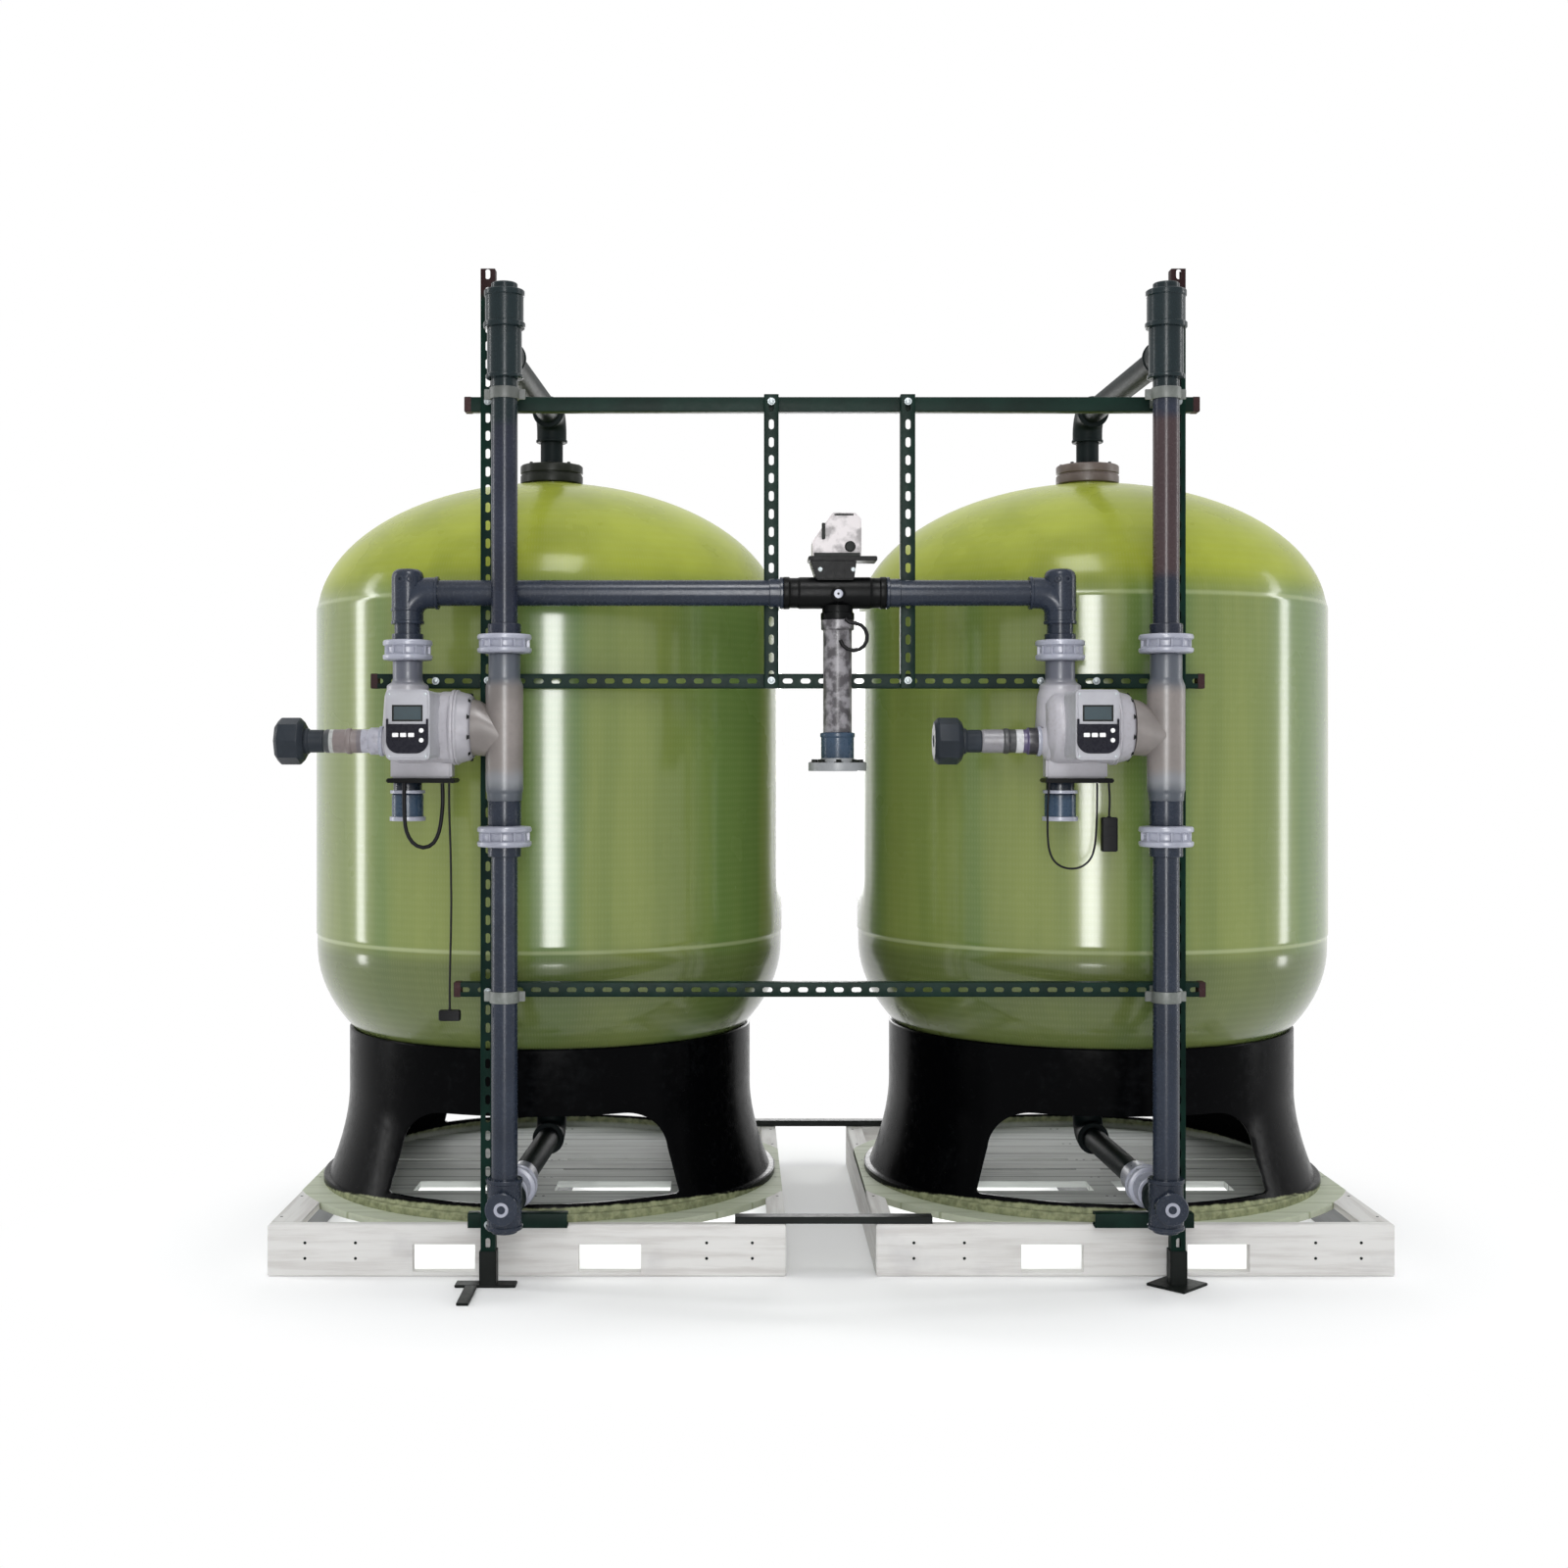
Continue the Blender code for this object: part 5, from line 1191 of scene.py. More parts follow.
@dataclass
class Dresser:
    """Turns forms into finished pieces of the scene, each on its body and standing for its solids."""

    paints: Paints = field(default_factory=Paints)
    repeats: Repeats = field(default_factory=Repeats)
    made: int = 0

    def add(
        self,
        name: str,
        shape: Form | bpy.types.Mesh,
        finish: Recipe,
        stands_for: Sequence[str] = (),
        body: str = BASE,
        smooth: float = 38.0,
    ) -> bpy.types.Object:
        """Adds one piece.

        Args:
            name: the piece's name.
            shape: its form, or a finished mesh.
            finish: its material's recipe.
            stands_for: the CAD nodes that it replaces.
            body: the body it moves with.
            smooth: the angle in degrees up to which edges look smooth.

        Returns:
            The piece.
        """
        mesh = shape.mesh(name) if isinstance(shape, Form) else shape
        mesh.materials.clear()
        mesh.materials.append(self.paints.get(finish))
        mesh.shade_smooth()
        mesh.set_sharp_from_angle(angle=math.radians(smooth))
        item = bpy.data.objects.new(name, mesh)
        bpy.context.scene.collection.objects.link(item)
        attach(item, body)
        Paints.slot_of(finish)
        if stands_for:
            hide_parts(*stands_for)
        self.made += 1
        LOG.info("%s: %d faces", name, len(mesh.polygons))
        return item

    def paint_node(self, name: str, finish: Recipe) -> None:
        """Gives a CAD node that stays in view a procedural material.

        Args:
            name: the CAD node.
            finish: its material's recipe.
        """
        node = bpy.data.objects[name]
        material = self.paints.get(finish)
        for place in node.material_slots:
            place.material = material
        if not node.material_slots:
            node.data.materials.append(material)

    def row(self, unit: Form, count: int, start: Spot, step: Spot) -> Form:
        """Repeats a unit along a line with Geometry Nodes.

        Args:
            unit: the form to repeat. It is used up.
            count: how many.
            start: the first one's place.
            step: from one to the next.

        Returns:
            A form with every copy.
        """
        values = {"Count": count, "Start": start, "Step": step, "Finish": self.paints.get(Tone.STEEL)}
        return self._run(self.repeats.row, unit.mesh("unit"), values)

    def ring(self, unit: Form, count: int) -> Form:
        """Repeats a unit round Z with Geometry Nodes. The unit is used up."""
        values = {"Count": count, "Finish": self.paints.get(Tone.STEEL)}
        return self._run(self.repeats.ring, unit.mesh("unit"), values)

    def at_spots(self, unit: Form, spots: Sequence[Spot], seed: int, most_turn: float = math.tau) -> Form:
        """Sets a unit at each spot with Geometry Nodes, each turned at random about its Z.

        Args:
            unit: the form to repeat. It is used up.
            spots: where the copies go.
            seed: fixes the turns.
            most_turn: the largest turn in radians.

        Returns:
            A form with every copy.
        """
        points = bpy.data.meshes.new("spots")
        points.from_pydata(list(spots), [], [])
        source = bpy.data.objects.new("unit", unit.mesh("unit"))
        bpy.context.scene.collection.objects.link(source)
        values = {"Unit": source, "Most Turn": most_turn, "Seed": seed, "Finish": self.paints.get(Tone.STEEL)}
        made = self._run(self.repeats.spots, points, values)
        bpy.data.objects.remove(source, do_unlink=True)
        return made

    @staticmethod
    def _run(graph: GeometryGraph, mesh: bpy.types.Mesh, values: dict[str, object]) -> Form:
        """Runs a repeating tree and gathers its result.

        Args:
            graph: the tree.
            mesh: what goes into it.
            values: its other inputs.

        Returns:
            A form of the result.
        """
        result = graph.run(mesh, values)
        form = Form()
        form.work.from_mesh(result)
        bpy.data.meshes.remove(result)
        return form


def moved(form: Form, matrix: Matrix) -> Form:
    """Moves a whole form by a matrix and returns it."""
    bmesh.ops.transform(form.work, matrix=matrix, verts=form.work.verts)
    return form


def joined(*forms: Form) -> Form:
    """Gathers several forms into the first one and returns it.

    Args:
        forms: what to gather. All but the first are used up.

    Returns:
        The first form, with all of them in it.
    """
    first = forms[0]
    for other in forms[1:]:
        mesh = other.mesh("joined")
        first.work.from_mesh(mesh)
        bpy.data.meshes.remove(mesh)
    return first


def bolt_head(radius: float, height: float, washer: float = 1.5) -> Form:
    """A hexagon head on a round washer, built up along Z from its seat.

    Args:
        radius: the hexagon's radius.
        height: the head's height.
        washer: the washer's radius over the hexagon's.

    Returns:
        The head.
    """
    form = Form()
    form.turned([(TIP, 0.0), (radius * washer, 0.0), (radius * washer, height * 0.22), (TIP, height * 0.22)],
                ORIGIN, sides=20, soft=0.0)
    form.turned([(TIP, height * 0.2), (radius, height * 0.2), (radius, height * 0.88),
                 (radius * 0.82, height), (TIP, height)], ORIGIN, sides=6, soft=0.0)
    return form


def cut(base: Form, tool: Form, ease: float) -> bpy.types.Mesh:
    """Cuts one form from another and eases the edges that result.

    Args:
        base: the form to cut.
        tool: what is taken away.
        ease: the width of the eased edges.

    Returns:
        The cut mesh.
    """
    item = bpy.data.objects.new("base", base.mesh("base"))
    knife = bpy.data.objects.new("knife", tool.mesh("knife"))
    for made in (item, knife):
        bpy.context.scene.collection.objects.link(made)
    boolean = item.modifiers.new("cut", "BOOLEAN")
    boolean.object = knife
    boolean.operation = "DIFFERENCE"
    if ease:
        bevel = item.modifiers.new("ease", "BEVEL")
        bevel.width = ease
        bevel.segments = 3
        bevel.limit_method = "ANGLE"
        bevel.angle_limit = math.radians(50)
    result = bpy.data.meshes.new_from_object(item.evaluated_get(bpy.context.evaluated_depsgraph_get()))
    item.modifiers.clear()
    bpy.data.objects.remove(item, do_unlink=True)
    bpy.data.objects.remove(knife, do_unlink=True)
    return result


@dataclass(frozen=True)
class Plan:
    """Where the main lines of the softener run, in the shared frame."""

    tank_x: float = 0.88
    tank_y: float = 0.224
    riser_x: float = 0.917
    riser_y: float = -0.7494
    header_y: float = -0.6744
    valve_y: float = -0.7064
    upright_x: float = 0.978
    upright_y: float = -0.61695
    rail_y: float = -0.57535
    leg_offset: float = -0.281
    floor_deck: float = 0.15
    touch: float = 0.0003


@dataclass
class Vessel:
    """One wound pressure vessel on its moulded skirt."""

    side: str
    plan: Plan
    radius: float = 0.755
    overwrap: float = 0.003
    wall: float = 0.012
    cylinder: Pair = (0.9, 1.95)
    seams: Pair = (0.935, 1.981)
    top_rise: float = 0.44
    low_rise: float = 0.49
    neck_radius: float = 0.09
    neck_bore: float = 0.0635
    neck_top: float = 2.394
    boss_radius: float = 0.105
    boss_bore: float = 0.052
    boss_z: float = 0.372
    skirt_top: float = 0.64
    waist_z: float = 0.44
    foot_radius: float = 0.714
    foot_lip: float = 0.018
    lip_height: float = 0.022
    arch_low_half: float = 0.43
    arch_top_half: float = 0.4
    arch_z: Pair = (0.196, 0.443)
    arch_corner: float = 0.13
    sides: int = 128
    steps: int = 26

    @property
    def x(self) -> float:
        """The vessel axis's X."""
        return SIDES[self.side] * self.plan.tank_x

    def dome(self, radius: float, rise: float, end_radius: float, base: float, way: int) -> list[Pair]:
        """Points of a dome from its widest ring to an end radius.

        Args:
            radius: the widest radius.
            rise: the dome's height.
            end_radius: where it stops.
            base: the height of its widest ring.
            way: 1 for an upper dome and -1 for a lower one.

        Returns:
            Points of radius and height.
        """
        end = math.acos(end_radius / radius)
        angles = [end * i / self.steps for i in range(self.steps + 1)]
        return [(radius * math.cos(a), base + way * rise * math.sin(a)) for a in angles]

    def shell(self) -> Form:
        """The wound shell, closed down its outside and up its inside.

        Returns:
            The shell.
        """
        body, inner = self.radius - self.overwrap, self.radius - self.overwrap - self.wall
        low, high = self.cylinder
        seam_low, seam_high = self.seams
        top = self.dome(body, self.top_rise, self.neck_radius, high, 1)
        bottom = self.dome(body, self.low_rise, self.boss_radius, low, -1)
        soft = 0.004
        outside = [(self.neck_radius, self.neck_top)]
        outside += [point for point in reversed(top) if point[1] > seam_high]
        outside += [(body, seam_high), (self.radius - 0.001, seam_high - soft),
                    (self.radius, seam_high - soft * 3)]
        rows, clear = 12, 0.02
        drop = seam_high - seam_low - clear * 2
        outside += [(self.radius, seam_high - clear - drop * i / rows) for i in range(rows + 1)]
        outside += [(self.radius, seam_low + soft * 2), (self.radius - 0.001, seam_low + soft),
                    (body, seam_low)]
        outside += bottom + [(self.boss_radius, self.boss_z)]
        inside = [(self.boss_bore, self.boss_z)]
        inside += reversed(self.dome(inner, self.low_rise - self.wall, self.boss_bore, low, -1))
        inside += self.dome(inner, self.top_rise - self.wall, self.neck_bore, high, 1)
        inside += [(self.neck_bore, self.neck_top)]
        origin = (self.x, self.plan.tank_y, 0.0)
        return Form().turned(outside + inside, origin, sides=self.sides, hollow=True, soft=0.0)

    def skirt(self) -> bpy.types.Mesh:
        """The moulded skirt with its arch windows cut through and every edge eased.

        Returns:
            The skirt's mesh.
        """
        share = (self.cylinder[0] - self.skirt_top) / self.low_rise
        seat = (self.radius - self.overwrap) * math.sqrt(1.0 - share**2) + 0.0008
        waist, low = seat + self.wall, self.plan.floor_deck + self.plan.touch
        flare = 18
        outer, inner = [], []
        for i in range(flare + 1):
            t = i / flare
            z = self.waist_z + (low + self.lip_height - self.waist_z) * t
            bulge = waist + (self.foot_radius - waist) * t**1.75
            outer.append((bulge, z))
            inner.append((bulge - self.wall, z))
        lip = self.foot_radius + self.foot_lip
        profile = [(seat + 0.004, self.skirt_top), (waist - 0.003, self.skirt_top),
                   (waist, self.skirt_top - 0.004)]
        profile += outer
        profile += [(lip - 0.004, low + self.lip_height), (lip, low + self.lip_height - 0.004), (lip, low)]
        profile += [(self.foot_radius - self.wall, low)] + inner[::-1] + [(seat, self.skirt_top)]
        origin = (self.x, self.plan.tank_y, 0.0)
        ring = Form().turned(profile, origin, sides=self.sides, hollow=True, soft=0.0)
        slope = math.degrees(
            math.atan2(self.arch_z[1] - self.arch_z[0], self.arch_low_half - self.arch_top_half)
        )
        hub = (self.arch_top_half - self.arch_corner, self.arch_z[1] - self.arch_corner)
        right = arc_points(hub, self.arch_corner, 90 - slope, 90, 14)
        foot = [(self.arch_low_half + 0.004, self.arch_z[0] + 0.006),
                (self.arch_low_half - 0.004, self.arch_z[0])]
        arch = [*foot[::-1], *right, *[(-x, z) for x, z in reversed(right)], *[(-x, z) for x, z in foot]]
        outline = [(self.x + x, z) for x, z in arch]
        reach = self.radius + 0.05
        cutter = Form().slab(outline, self.plan.tank_y - reach, self.plan.tank_y + reach, "Y", 0.0)
        return cut(ring, cutter, 0.0035)

    def build(self, dresser: Dresser) -> None:
        """Adds the vessel's pieces.

        Args:
            dresser: adds the pieces.
        """
        centre = (self.x, self.plan.tank_y, 0.0)
        wound = WoundShell(f"wound_shell_{self.side}", "shell", centre, self.seams[1], self.seams[0])
        black = SkirtMoulding(f"black_moulded_skirt_{self.side}", "skirt", centre, self.plan.floor_deck)
        dresser.add(f"vessel_{self.side}", self.shell(), wound, [f"tank_shell_{self.side}"])
        dresser.add(f"skirt_moulding_{self.side}", self.skirt(), black, [f"skirt_{self.side}"], smooth=30.0)
        dresser.paint_node(f"media_bed_{self.side}", Tone.RESIN)


@dataclass
class Pallet:
    """One nailed pallet: edge boards with fork pockets, a round deck plate and side boards."""

    side: str
    plan: Plan
    half: float = 0.75
    height: float = 0.15
    deck: float = 0.02
    stringer: float = 0.038
    disc_radius: float = 0.812
    outer_board: float = 0.092
    inner_board: float = 0.054
    forks: Pair = (0.15, 0.33)
    fork_z: Pair = (0.013, 0.093)
    gaps: tuple[Spot, ...] = ((-0.32, -0.19, 0.4), (-0.022, -0.01, 0.6), (0.13, 0.142, 0.6))
    nail_radius: float = 0.0045
    nail_left: Pair = (0.109, 0.255)
    nail_right: Pair = (0.23, 0.098)
    nail_z: Pair = (0.053, 0.098)
    nail_rows: int = 6
    nail_step: float = 0.26

    @property
    def x(self) -> float:
        """The pallet's middle X."""
        return SIDES[self.side] * self.plan.tank_x

    def edge_board(self, low_y: float, high_y: float) -> Form:
        """A board across the pallet, before its fork pockets are cut."""
        outline = [(-self.half, 0.0), (self.half, 0.0), (self.half, self.height), (-self.half, self.height)]
        return Form().slab([(self.x + x, z) for x, z in outline], low_y, high_y, "Y", 0.003)

    def pockets(self) -> Form:
        """The tool that cuts the fork pockets from both edge boards.

        Returns:
            The tool.
        """
        form = Form()
        for way in (-1, 1):
            low, high = sorted((way * self.forks[0], way * self.forks[1]))
            box_low = (self.x + low, self.plan.tank_y - self.half - 0.01, self.fork_z[0])
            form.box(box_low, (self.x + high, self.plan.tank_y + self.half + 0.01, self.fork_z[1]), 0.0)
        return form

    def frame(self) -> bpy.types.Mesh:
        """Both edge boards, with the fork pockets cut.

        Returns:
            The boards' mesh.
        """
        y, half, wide = self.plan.tank_y, self.half, self.stringer
        form = joined(self.edge_board(y - half, y - half + wide), self.edge_board(y + half - wide, y + half))
        return cut(form, self.pockets(), 0.0025)

    def stringers(self) -> Form:
        """The boards that run from front to back.

        Returns:
            The stringers.
        """
        y, half, wide = self.plan.tank_y, self.half, self.stringer
        form = Form()
        for low, high in ((-half, wide - half), (half - wide, half), (-wide, wide)):
            top = self.height - self.deck - 0.0002
            inset = 0.0004 if low != -wide else 0.0
            form.box((self.x + low + inset, y - half + wide, inset),
                     (self.x + high - inset, y + half - wide, top), 0.002)
        return form

    def deck_boards(self) -> Form:
        """The boards along both edges of the deck, from front to back.

        Returns:
            The deck boards.
        """
        y, half = self.plan.tank_y, self.half
        form = Form()
        outward = SIDES[self.side]
        for width, way in ((self.outer_board, outward), (self.inner_board, -outward)):
            low, high = sorted((way * (half - 0.0005), way * (half - width)))
            low_spot = (self.x + low, y - half + self.stringer + 0.001, self.height - self.deck)
            form.box(low_spot, (self.x + high, y + half - self.stringer - 0.001, self.height - 0.0006),
                     0.0025)
        return form

    def disc(self) -> bpy.types.Mesh:
        """The round deck plate, clipped by the pallet's edges, with its gaps.

        Returns:
            The plate's mesh.
        """
        y, low = self.plan.tank_y, self.height - self.deck
        limit_x, limit_y = self.half - 0.0005, self.half - self.stringer - 0.0008
        outline = []
        for i in range(192):
            a = math.tau * i / 192
            px, py = self.disc_radius * math.cos(a), self.disc_radius * math.sin(a)
            outline.append((self.x + max(-limit_x, min(limit_x, px)), y + max(-limit_y, min(limit_y, py))))
        form = Form().slab(outline, low, self.height, "Z", 0.0012)
        tool = Form()
        for low_y, high_y, reach in self.gaps:
            for near, far in ((-reach, -self.stringer - 0.001), (self.stringer + 0.001, reach)):
                tool.box((self.x + near, y + low_y, low - 0.01),
                         (self.x + far, y + high_y, self.height + 0.01), 0.0)
        return cut(form, tool, 0.0)

    def nail(self) -> Form:
        """One nail's head, built up along Z."""
        profile = [(TIP, 0.0), (self.nail_radius, 0.0), (self.nail_radius, 0.0006), (TIP, 0.0014)]
        return Form().turned(profile, ORIGIN, sides=14, soft=0.0)

    def nails(self, dresser: Dresser) -> Form:
        """Nail heads in the front board and along the deck.

        Args:
            dresser: makes the repeated copies.

        Returns:
            The nail heads.
        """
        front = self.plan.tank_y - self.half
        columns = [inset - self.half for inset in self.nail_left]
        columns += [self.half - inset for inset in self.nail_right]
        spots = [(self.x + dx, front + 0.0002, z) for dx in columns for z in self.nail_z]
        faces = dresser.at_spots(moved(self.nail(), FACING), spots, seed=3, most_turn=0.0)
        edge, tops = self.half - 0.018, []
        for row in range(self.nail_rows):
            depth = self.plan.tank_y - self.half + 0.1 + row * self.nail_step
            tops += [(self.x + dx, depth, self.height - 0.0008) for dx in (-edge, edge)]
            tops += [(self.x + dx, depth, self.height - 0.0002) for dx in (-0.012, 0.012)]
        return joined(faces, dresser.at_spots(self.nail(), tops, seed=5))

    def build(self, dresser: Dresser) -> None:
        """Adds the pallet's pieces.

        Args:
            dresser: adds the pieces.
        """
        node = [f"pallet_{self.side}"]
        across = PaleTimber(f"pale_boards_{self.side}", "timber")
        along = PaleTimber(f"pale_stringers_{self.side}", "timber", along_y=True)
        middle = (self.x, self.plan.tank_y, 0.0)
        inner = PaleTimber(
            f"shaded_stringers_{self.side}", "timber", True, middle=middle,
            lit_half=self.half - self.stringer + 0.004
        )
        # The deck plate has a painted olive reflection outside its rim and a painted highlight band on each
        # board.
        deck = PaleTimber(
            f"olive_deck_{self.side}", "timber", False, (0.64, 0.67, 0.64), (0.49, 0.51, 0.49),
            (0.38, 0.4, 0.38),
            0.118, self.plan.tank_y - 0.008, middle=middle, rim=0.722,
        )
        dresser.add(f"pallet_edges_{self.side}", self.frame(), across, node)
        dresser.add(f"pallet_stringers_{self.side}", self.stringers(), inner)
        dresser.add(f"pallet_deck_boards_{self.side}", self.deck_boards(), along)
        dresser.add(f"pallet_deck_{self.side}", self.disc(), deck)
        dresser.add(f"pallet_nails_{self.side}", self.nails(dresser), Tone.STEEL)


@dataclass
class Pipework:
    """The spools of one side: riser, branches to both necks, unions, cap, plug and the flanged adapter."""

    side: str
    plan: Plan
    pipe_radius: float = 0.0365
    bore: float = 0.03
    fitting: float = 0.048
    union_radius: float = 0.075
    bend: float = 0.058
    tee_reach: float = 0.07
    socket: float = 0.03
    upper_union: Pair = (1.7885, 1.8435)
    lower_union: Pair = (1.252, 1.312)
    top_tee: float = 2.62
    riser_top: float = 2.815
    cap_radius: float = 0.056
    cap_step: float = 0.02
    adapter_radius: float = 0.102
    adapter_z: Pair = (2.3943, 2.456)
    basket_radius: float = 0.046
    bottom_z: float = 0.265
    riser_foot: float = 0.185
    bottom_union: Pair = (0.185, 0.235)
    bottom_union_radius: float = 0.06
    boss_z: float = 0.3717
    boss_flange: float = 0.026
    boss_radius: float = 0.105
    collector_top: float = 0.7
    plug_radius: float = 0.044
    plug_reach: float = 0.08

    @property
    def riser(self) -> Pair:
        """The riser axis's X and Y."""
        return SIDES[self.side] * self.plan.riser_x, self.plan.riser_y

    @property
    def tank(self) -> Pair:
        """The vessel axis's X and Y."""
        return SIDES[self.side] * self.plan.tank_x, self.plan.tank_y

    @staticmethod
    def union(dresser: Dresser, radius: float, bore: float, height: float, lugs: int = 12) -> Form:
        """A union nut built up along Z: two flanges with a groove between them and lugs round both.

        Args:
            dresser: makes the ring of lugs.
            radius: the nut's radius.
            bore: the radius at its ends.
            height: its height.
            lugs: how many lugs go round.

        Returns:
            The nut.
        """
        groove = radius * 0.84
        profile = [
            (TIP, 0.0), (bore, 0.0), (radius * 0.96, height * 0.04), (radius, height * 0.12),
            (radius, height * 0.26), (groove, height * 0.36), (groove, height * 0.64),
            (radius, height * 0.74), (radius, height * 0.88), (radius * 0.96, height * 0.96),
            (bore, height), (TIP, height),
        ]
        form = Form().turned(profile, ORIGIN, sides=56, soft=0.001)
        lug = Form().slab(
            [(radius * 0.8, -radius * 0.045), (radius * 0.94, -radius * 0.035),
             (radius * 0.94, radius * 0.035), (radius * 0.8, radius * 0.045)], height * 0.3, height * 0.7,
             "Z", 0.001, 1,
        )
        return joined(form, dresser.ring(lug, lugs))

    def upper(self) -> Form:
        """The riser above the side valve, its tee and cap, and the branch to the top adapter.

        Returns:
            The riser's upper part.
        """
        x, y = self.riser
        low, high = self.upper_union
        column = Route([(x, y, low), (x, y, self.riser_top)], self.bend)
        tee_low, tee_high = self.top_tee - self.tee_reach - low, self.top_tee + self.tee_reach - low
        cap_high = self.riser_top - self.cap_step - low
        lips = [
            Collar(0.0, high - low + 0.028, self.fitting - 0.002),
            Collar(tee_low, tee_low + 0.012, self.fitting + 0.004),
            Collar(tee_low, tee_high, self.fitting),
            Collar(tee_high, tee_high + 0.016, self.cap_radius + 0.002),
            Collar(tee_high + 0.016, cap_high - 0.018, self.cap_radius - 0.003),
            Collar(cap_high - 0.018, cap_high, self.cap_radius),
        ]
        return Form().pipe(column, self.pipe_radius, lips, edge=0.0025)

    def top_branch(self) -> Form:
        """The dark branch from the riser's tee back and down to the top adapter.

        Returns:
            The branch.
        """
        (x, y), (tank_x, tank_y) = self.riser, self.tank
        branch = Route([(x, y, self.top_tee), (tank_x, tank_y, self.top_tee),
                        (tank_x, tank_y, self.adapter_z[1])], self.bend)
        collars = [
            Collar(self.tee_reach - 0.012, self.tee_reach, self.fitting + 0.003),
            Collar(0.0, self.tee_reach, self.fitting),
            *branch.fittings(self.socket, self.fitting),
        ]
        return Form().pipe(branch, self.pipe_radius, collars, edge=0.002)

    def lower(self) -> Form:
        """The riser below the side valve, its bottom tee, and the branch to the bottom neck.

        Returns:
            The riser's lower part.
        """
        x, y = self.riser
        low, high = self.lower_union
        column = Route([(x, y, high), (x, y, self.riser_foot)], self.bend)
        tee = high - self.bottom_z
        collars = [
            Collar(0.0, high - low + 0.026, self.fitting - 0.002),
            Collar(tee - self.tee_reach, tee - self.tee_reach + 0.012, self.fitting + 0.003),
            Collar(tee + self.tee_reach - 0.012, tee + self.tee_reach, self.fitting + 0.003),
            Collar(tee - self.tee_reach, tee + self.tee_reach, self.fitting),
        ]
        form = Form().pipe(column, self.pipe_radius, collars, edge=0.002)
        plug = Route([(x, y, self.bottom_z), (x, y - self.plug_reach, self.bottom_z)], self.bend)
        rims = [Collar(self.plug_reach - 0.016, self.plug_reach, self.plug_radius + 0.001)]
        return form.pipe(plug, self.plug_radius - 0.003, rims, edge=0.003)

    def bottom_run(self) -> Form:
        """The black run from the bottom tee to the bottom neck, with its collector tube.

        Returns:
            The run.
        """
        (x, y), (tank_x, tank_y) = self.riser, self.tank
        run = Route([(x, y, self.bottom_z), (tank_x, tank_y, self.bottom_z),
                     (tank_x, tank_y, self.collector_top)], self.bend)
        start, end = self.bottom_union
        flange_top = run.length - (self.collector_top - self.boss_z)
        found = [
            Collar(self.tee_reach - 0.012, self.tee_reach, self.fitting + 0.003),
            Collar(0.0, self.tee_reach, self.fitting),
            Collar(start - 0.028, end + 0.028, self.fitting - 0.003),
            *run.fittings(self.socket, self.fitting),
            Collar(flange_top, run.length, self.basket_radius),
            Collar(flange_top - self.boss_flange, flange_top, self.boss_radius),
        ]
        return Form().pipe(run, self.pipe_radius, found, edge=0.002)

    def unions(self, dresser: Dresser) -> Form:
        """The pale union nuts on the riser and on the bottom run.

        Args:
            dresser: makes the repeated copies.

        Returns:
            The nuts and the sleeve under the last one.
        """
        x, y = self.riser
        forms = []
        for low, high in (self.upper_union, self.lower_union):
            nut = self.union(dresser, self.union_radius, self.fitting, high - low)
            forms.append(moved(nut, Matrix.Translation((x, y, low))))
        tank_x, tank_y = self.tank
        way = (Vector((tank_x, tank_y, 0.0)) - Vector((x, y, 0.0))).normalized()
        start, end = self.bottom_union
        nut = self.union(dresser, self.bottom_union_radius, self.fitting - 0.002, end - start)
        side, other = basis_for(way)
        turn = Matrix((side, other, way)).transposed().to_4x4()
        spot = Vector((x, y, self.bottom_z)) + way * start
        forms.append(moved(nut, Matrix.Translation(spot) @ turn))
        sleeve = Form().turned(
            [(self.bore, -0.06), (self.fitting - 0.001, -0.06), (self.fitting - 0.001, 0.15),
             (self.bore, 0.15)],
            tuple(spot), way, hollow=True, soft=0.002,
        )
        return joined(*forms, sleeve)

    def adapter(self) -> Form:
        """The flanged adapter in the top neck, with its groove and the tube of its basket.

        Returns:
            The adapter.
        """
        low, high = self.adapter_z
        middle, groove, radius = (low + high) / 2, 0.004, self.adapter_radius
        profile = [
            (self.bore, low - 0.2), (self.bore, high), (radius - 0.004, high), (radius, high - 0.004),
            (radius, middle + groove), (radius - groove, middle + groove / 2),
            (radius - groove, middle - groove / 2), (radius, middle - groove), (radius, low + 0.003),
            (radius - 0.003, low), (self.basket_radius, low), (self.basket_radius, low - 0.2),
        ]
        tank_x, tank_y = self.tank
        return Form().turned(profile, (tank_x, tank_y, 0.0), hollow=True, soft=0.0008)

    def screws(self, dresser: Dresser) -> Form:
        """A ring of small cap screws on the adapter's top face, and the drives of both riser plugs.

        Args:
            dresser: makes the repeated copies.

        Returns:
            The screws and drives.
        """
        tank_x, tank_y = self.tank
        high = self.adapter_z[1]
        unit = moved(bolt_head(0.0055, 0.006), Matrix.Translation((self.adapter_radius - 0.016, 0.0, 0.0)))
        ring = moved(dresser.ring(unit, 8), Matrix.Translation((tank_x, tank_y, high - 0.0002)))
        x, y = self.riser
        return ring.turned([(TIP, 0.0), (0.012, 0.0), (0.012, 0.0008), (TIP, 0.0008)],
                           (x, y, self.riser_top - 0.0012), sides=6, soft=0.0)

    def plug_face(self) -> Form:
        """The pale insert in the front plug of the bottom tee.

        Returns:
            The insert.
        """
        x, y = self.riser
        face = y - self.plug_reach
        profile = [(TIP, 0.0), (0.02, 0.0), (0.02, 0.0024), (0.012, 0.0028), (0.011, 0.001), (TIP, 0.001)]
        return Form().turned(profile, (x, face + 0.0014, self.bottom_z), -Y_AXIS, sides=32, soft=0.0)

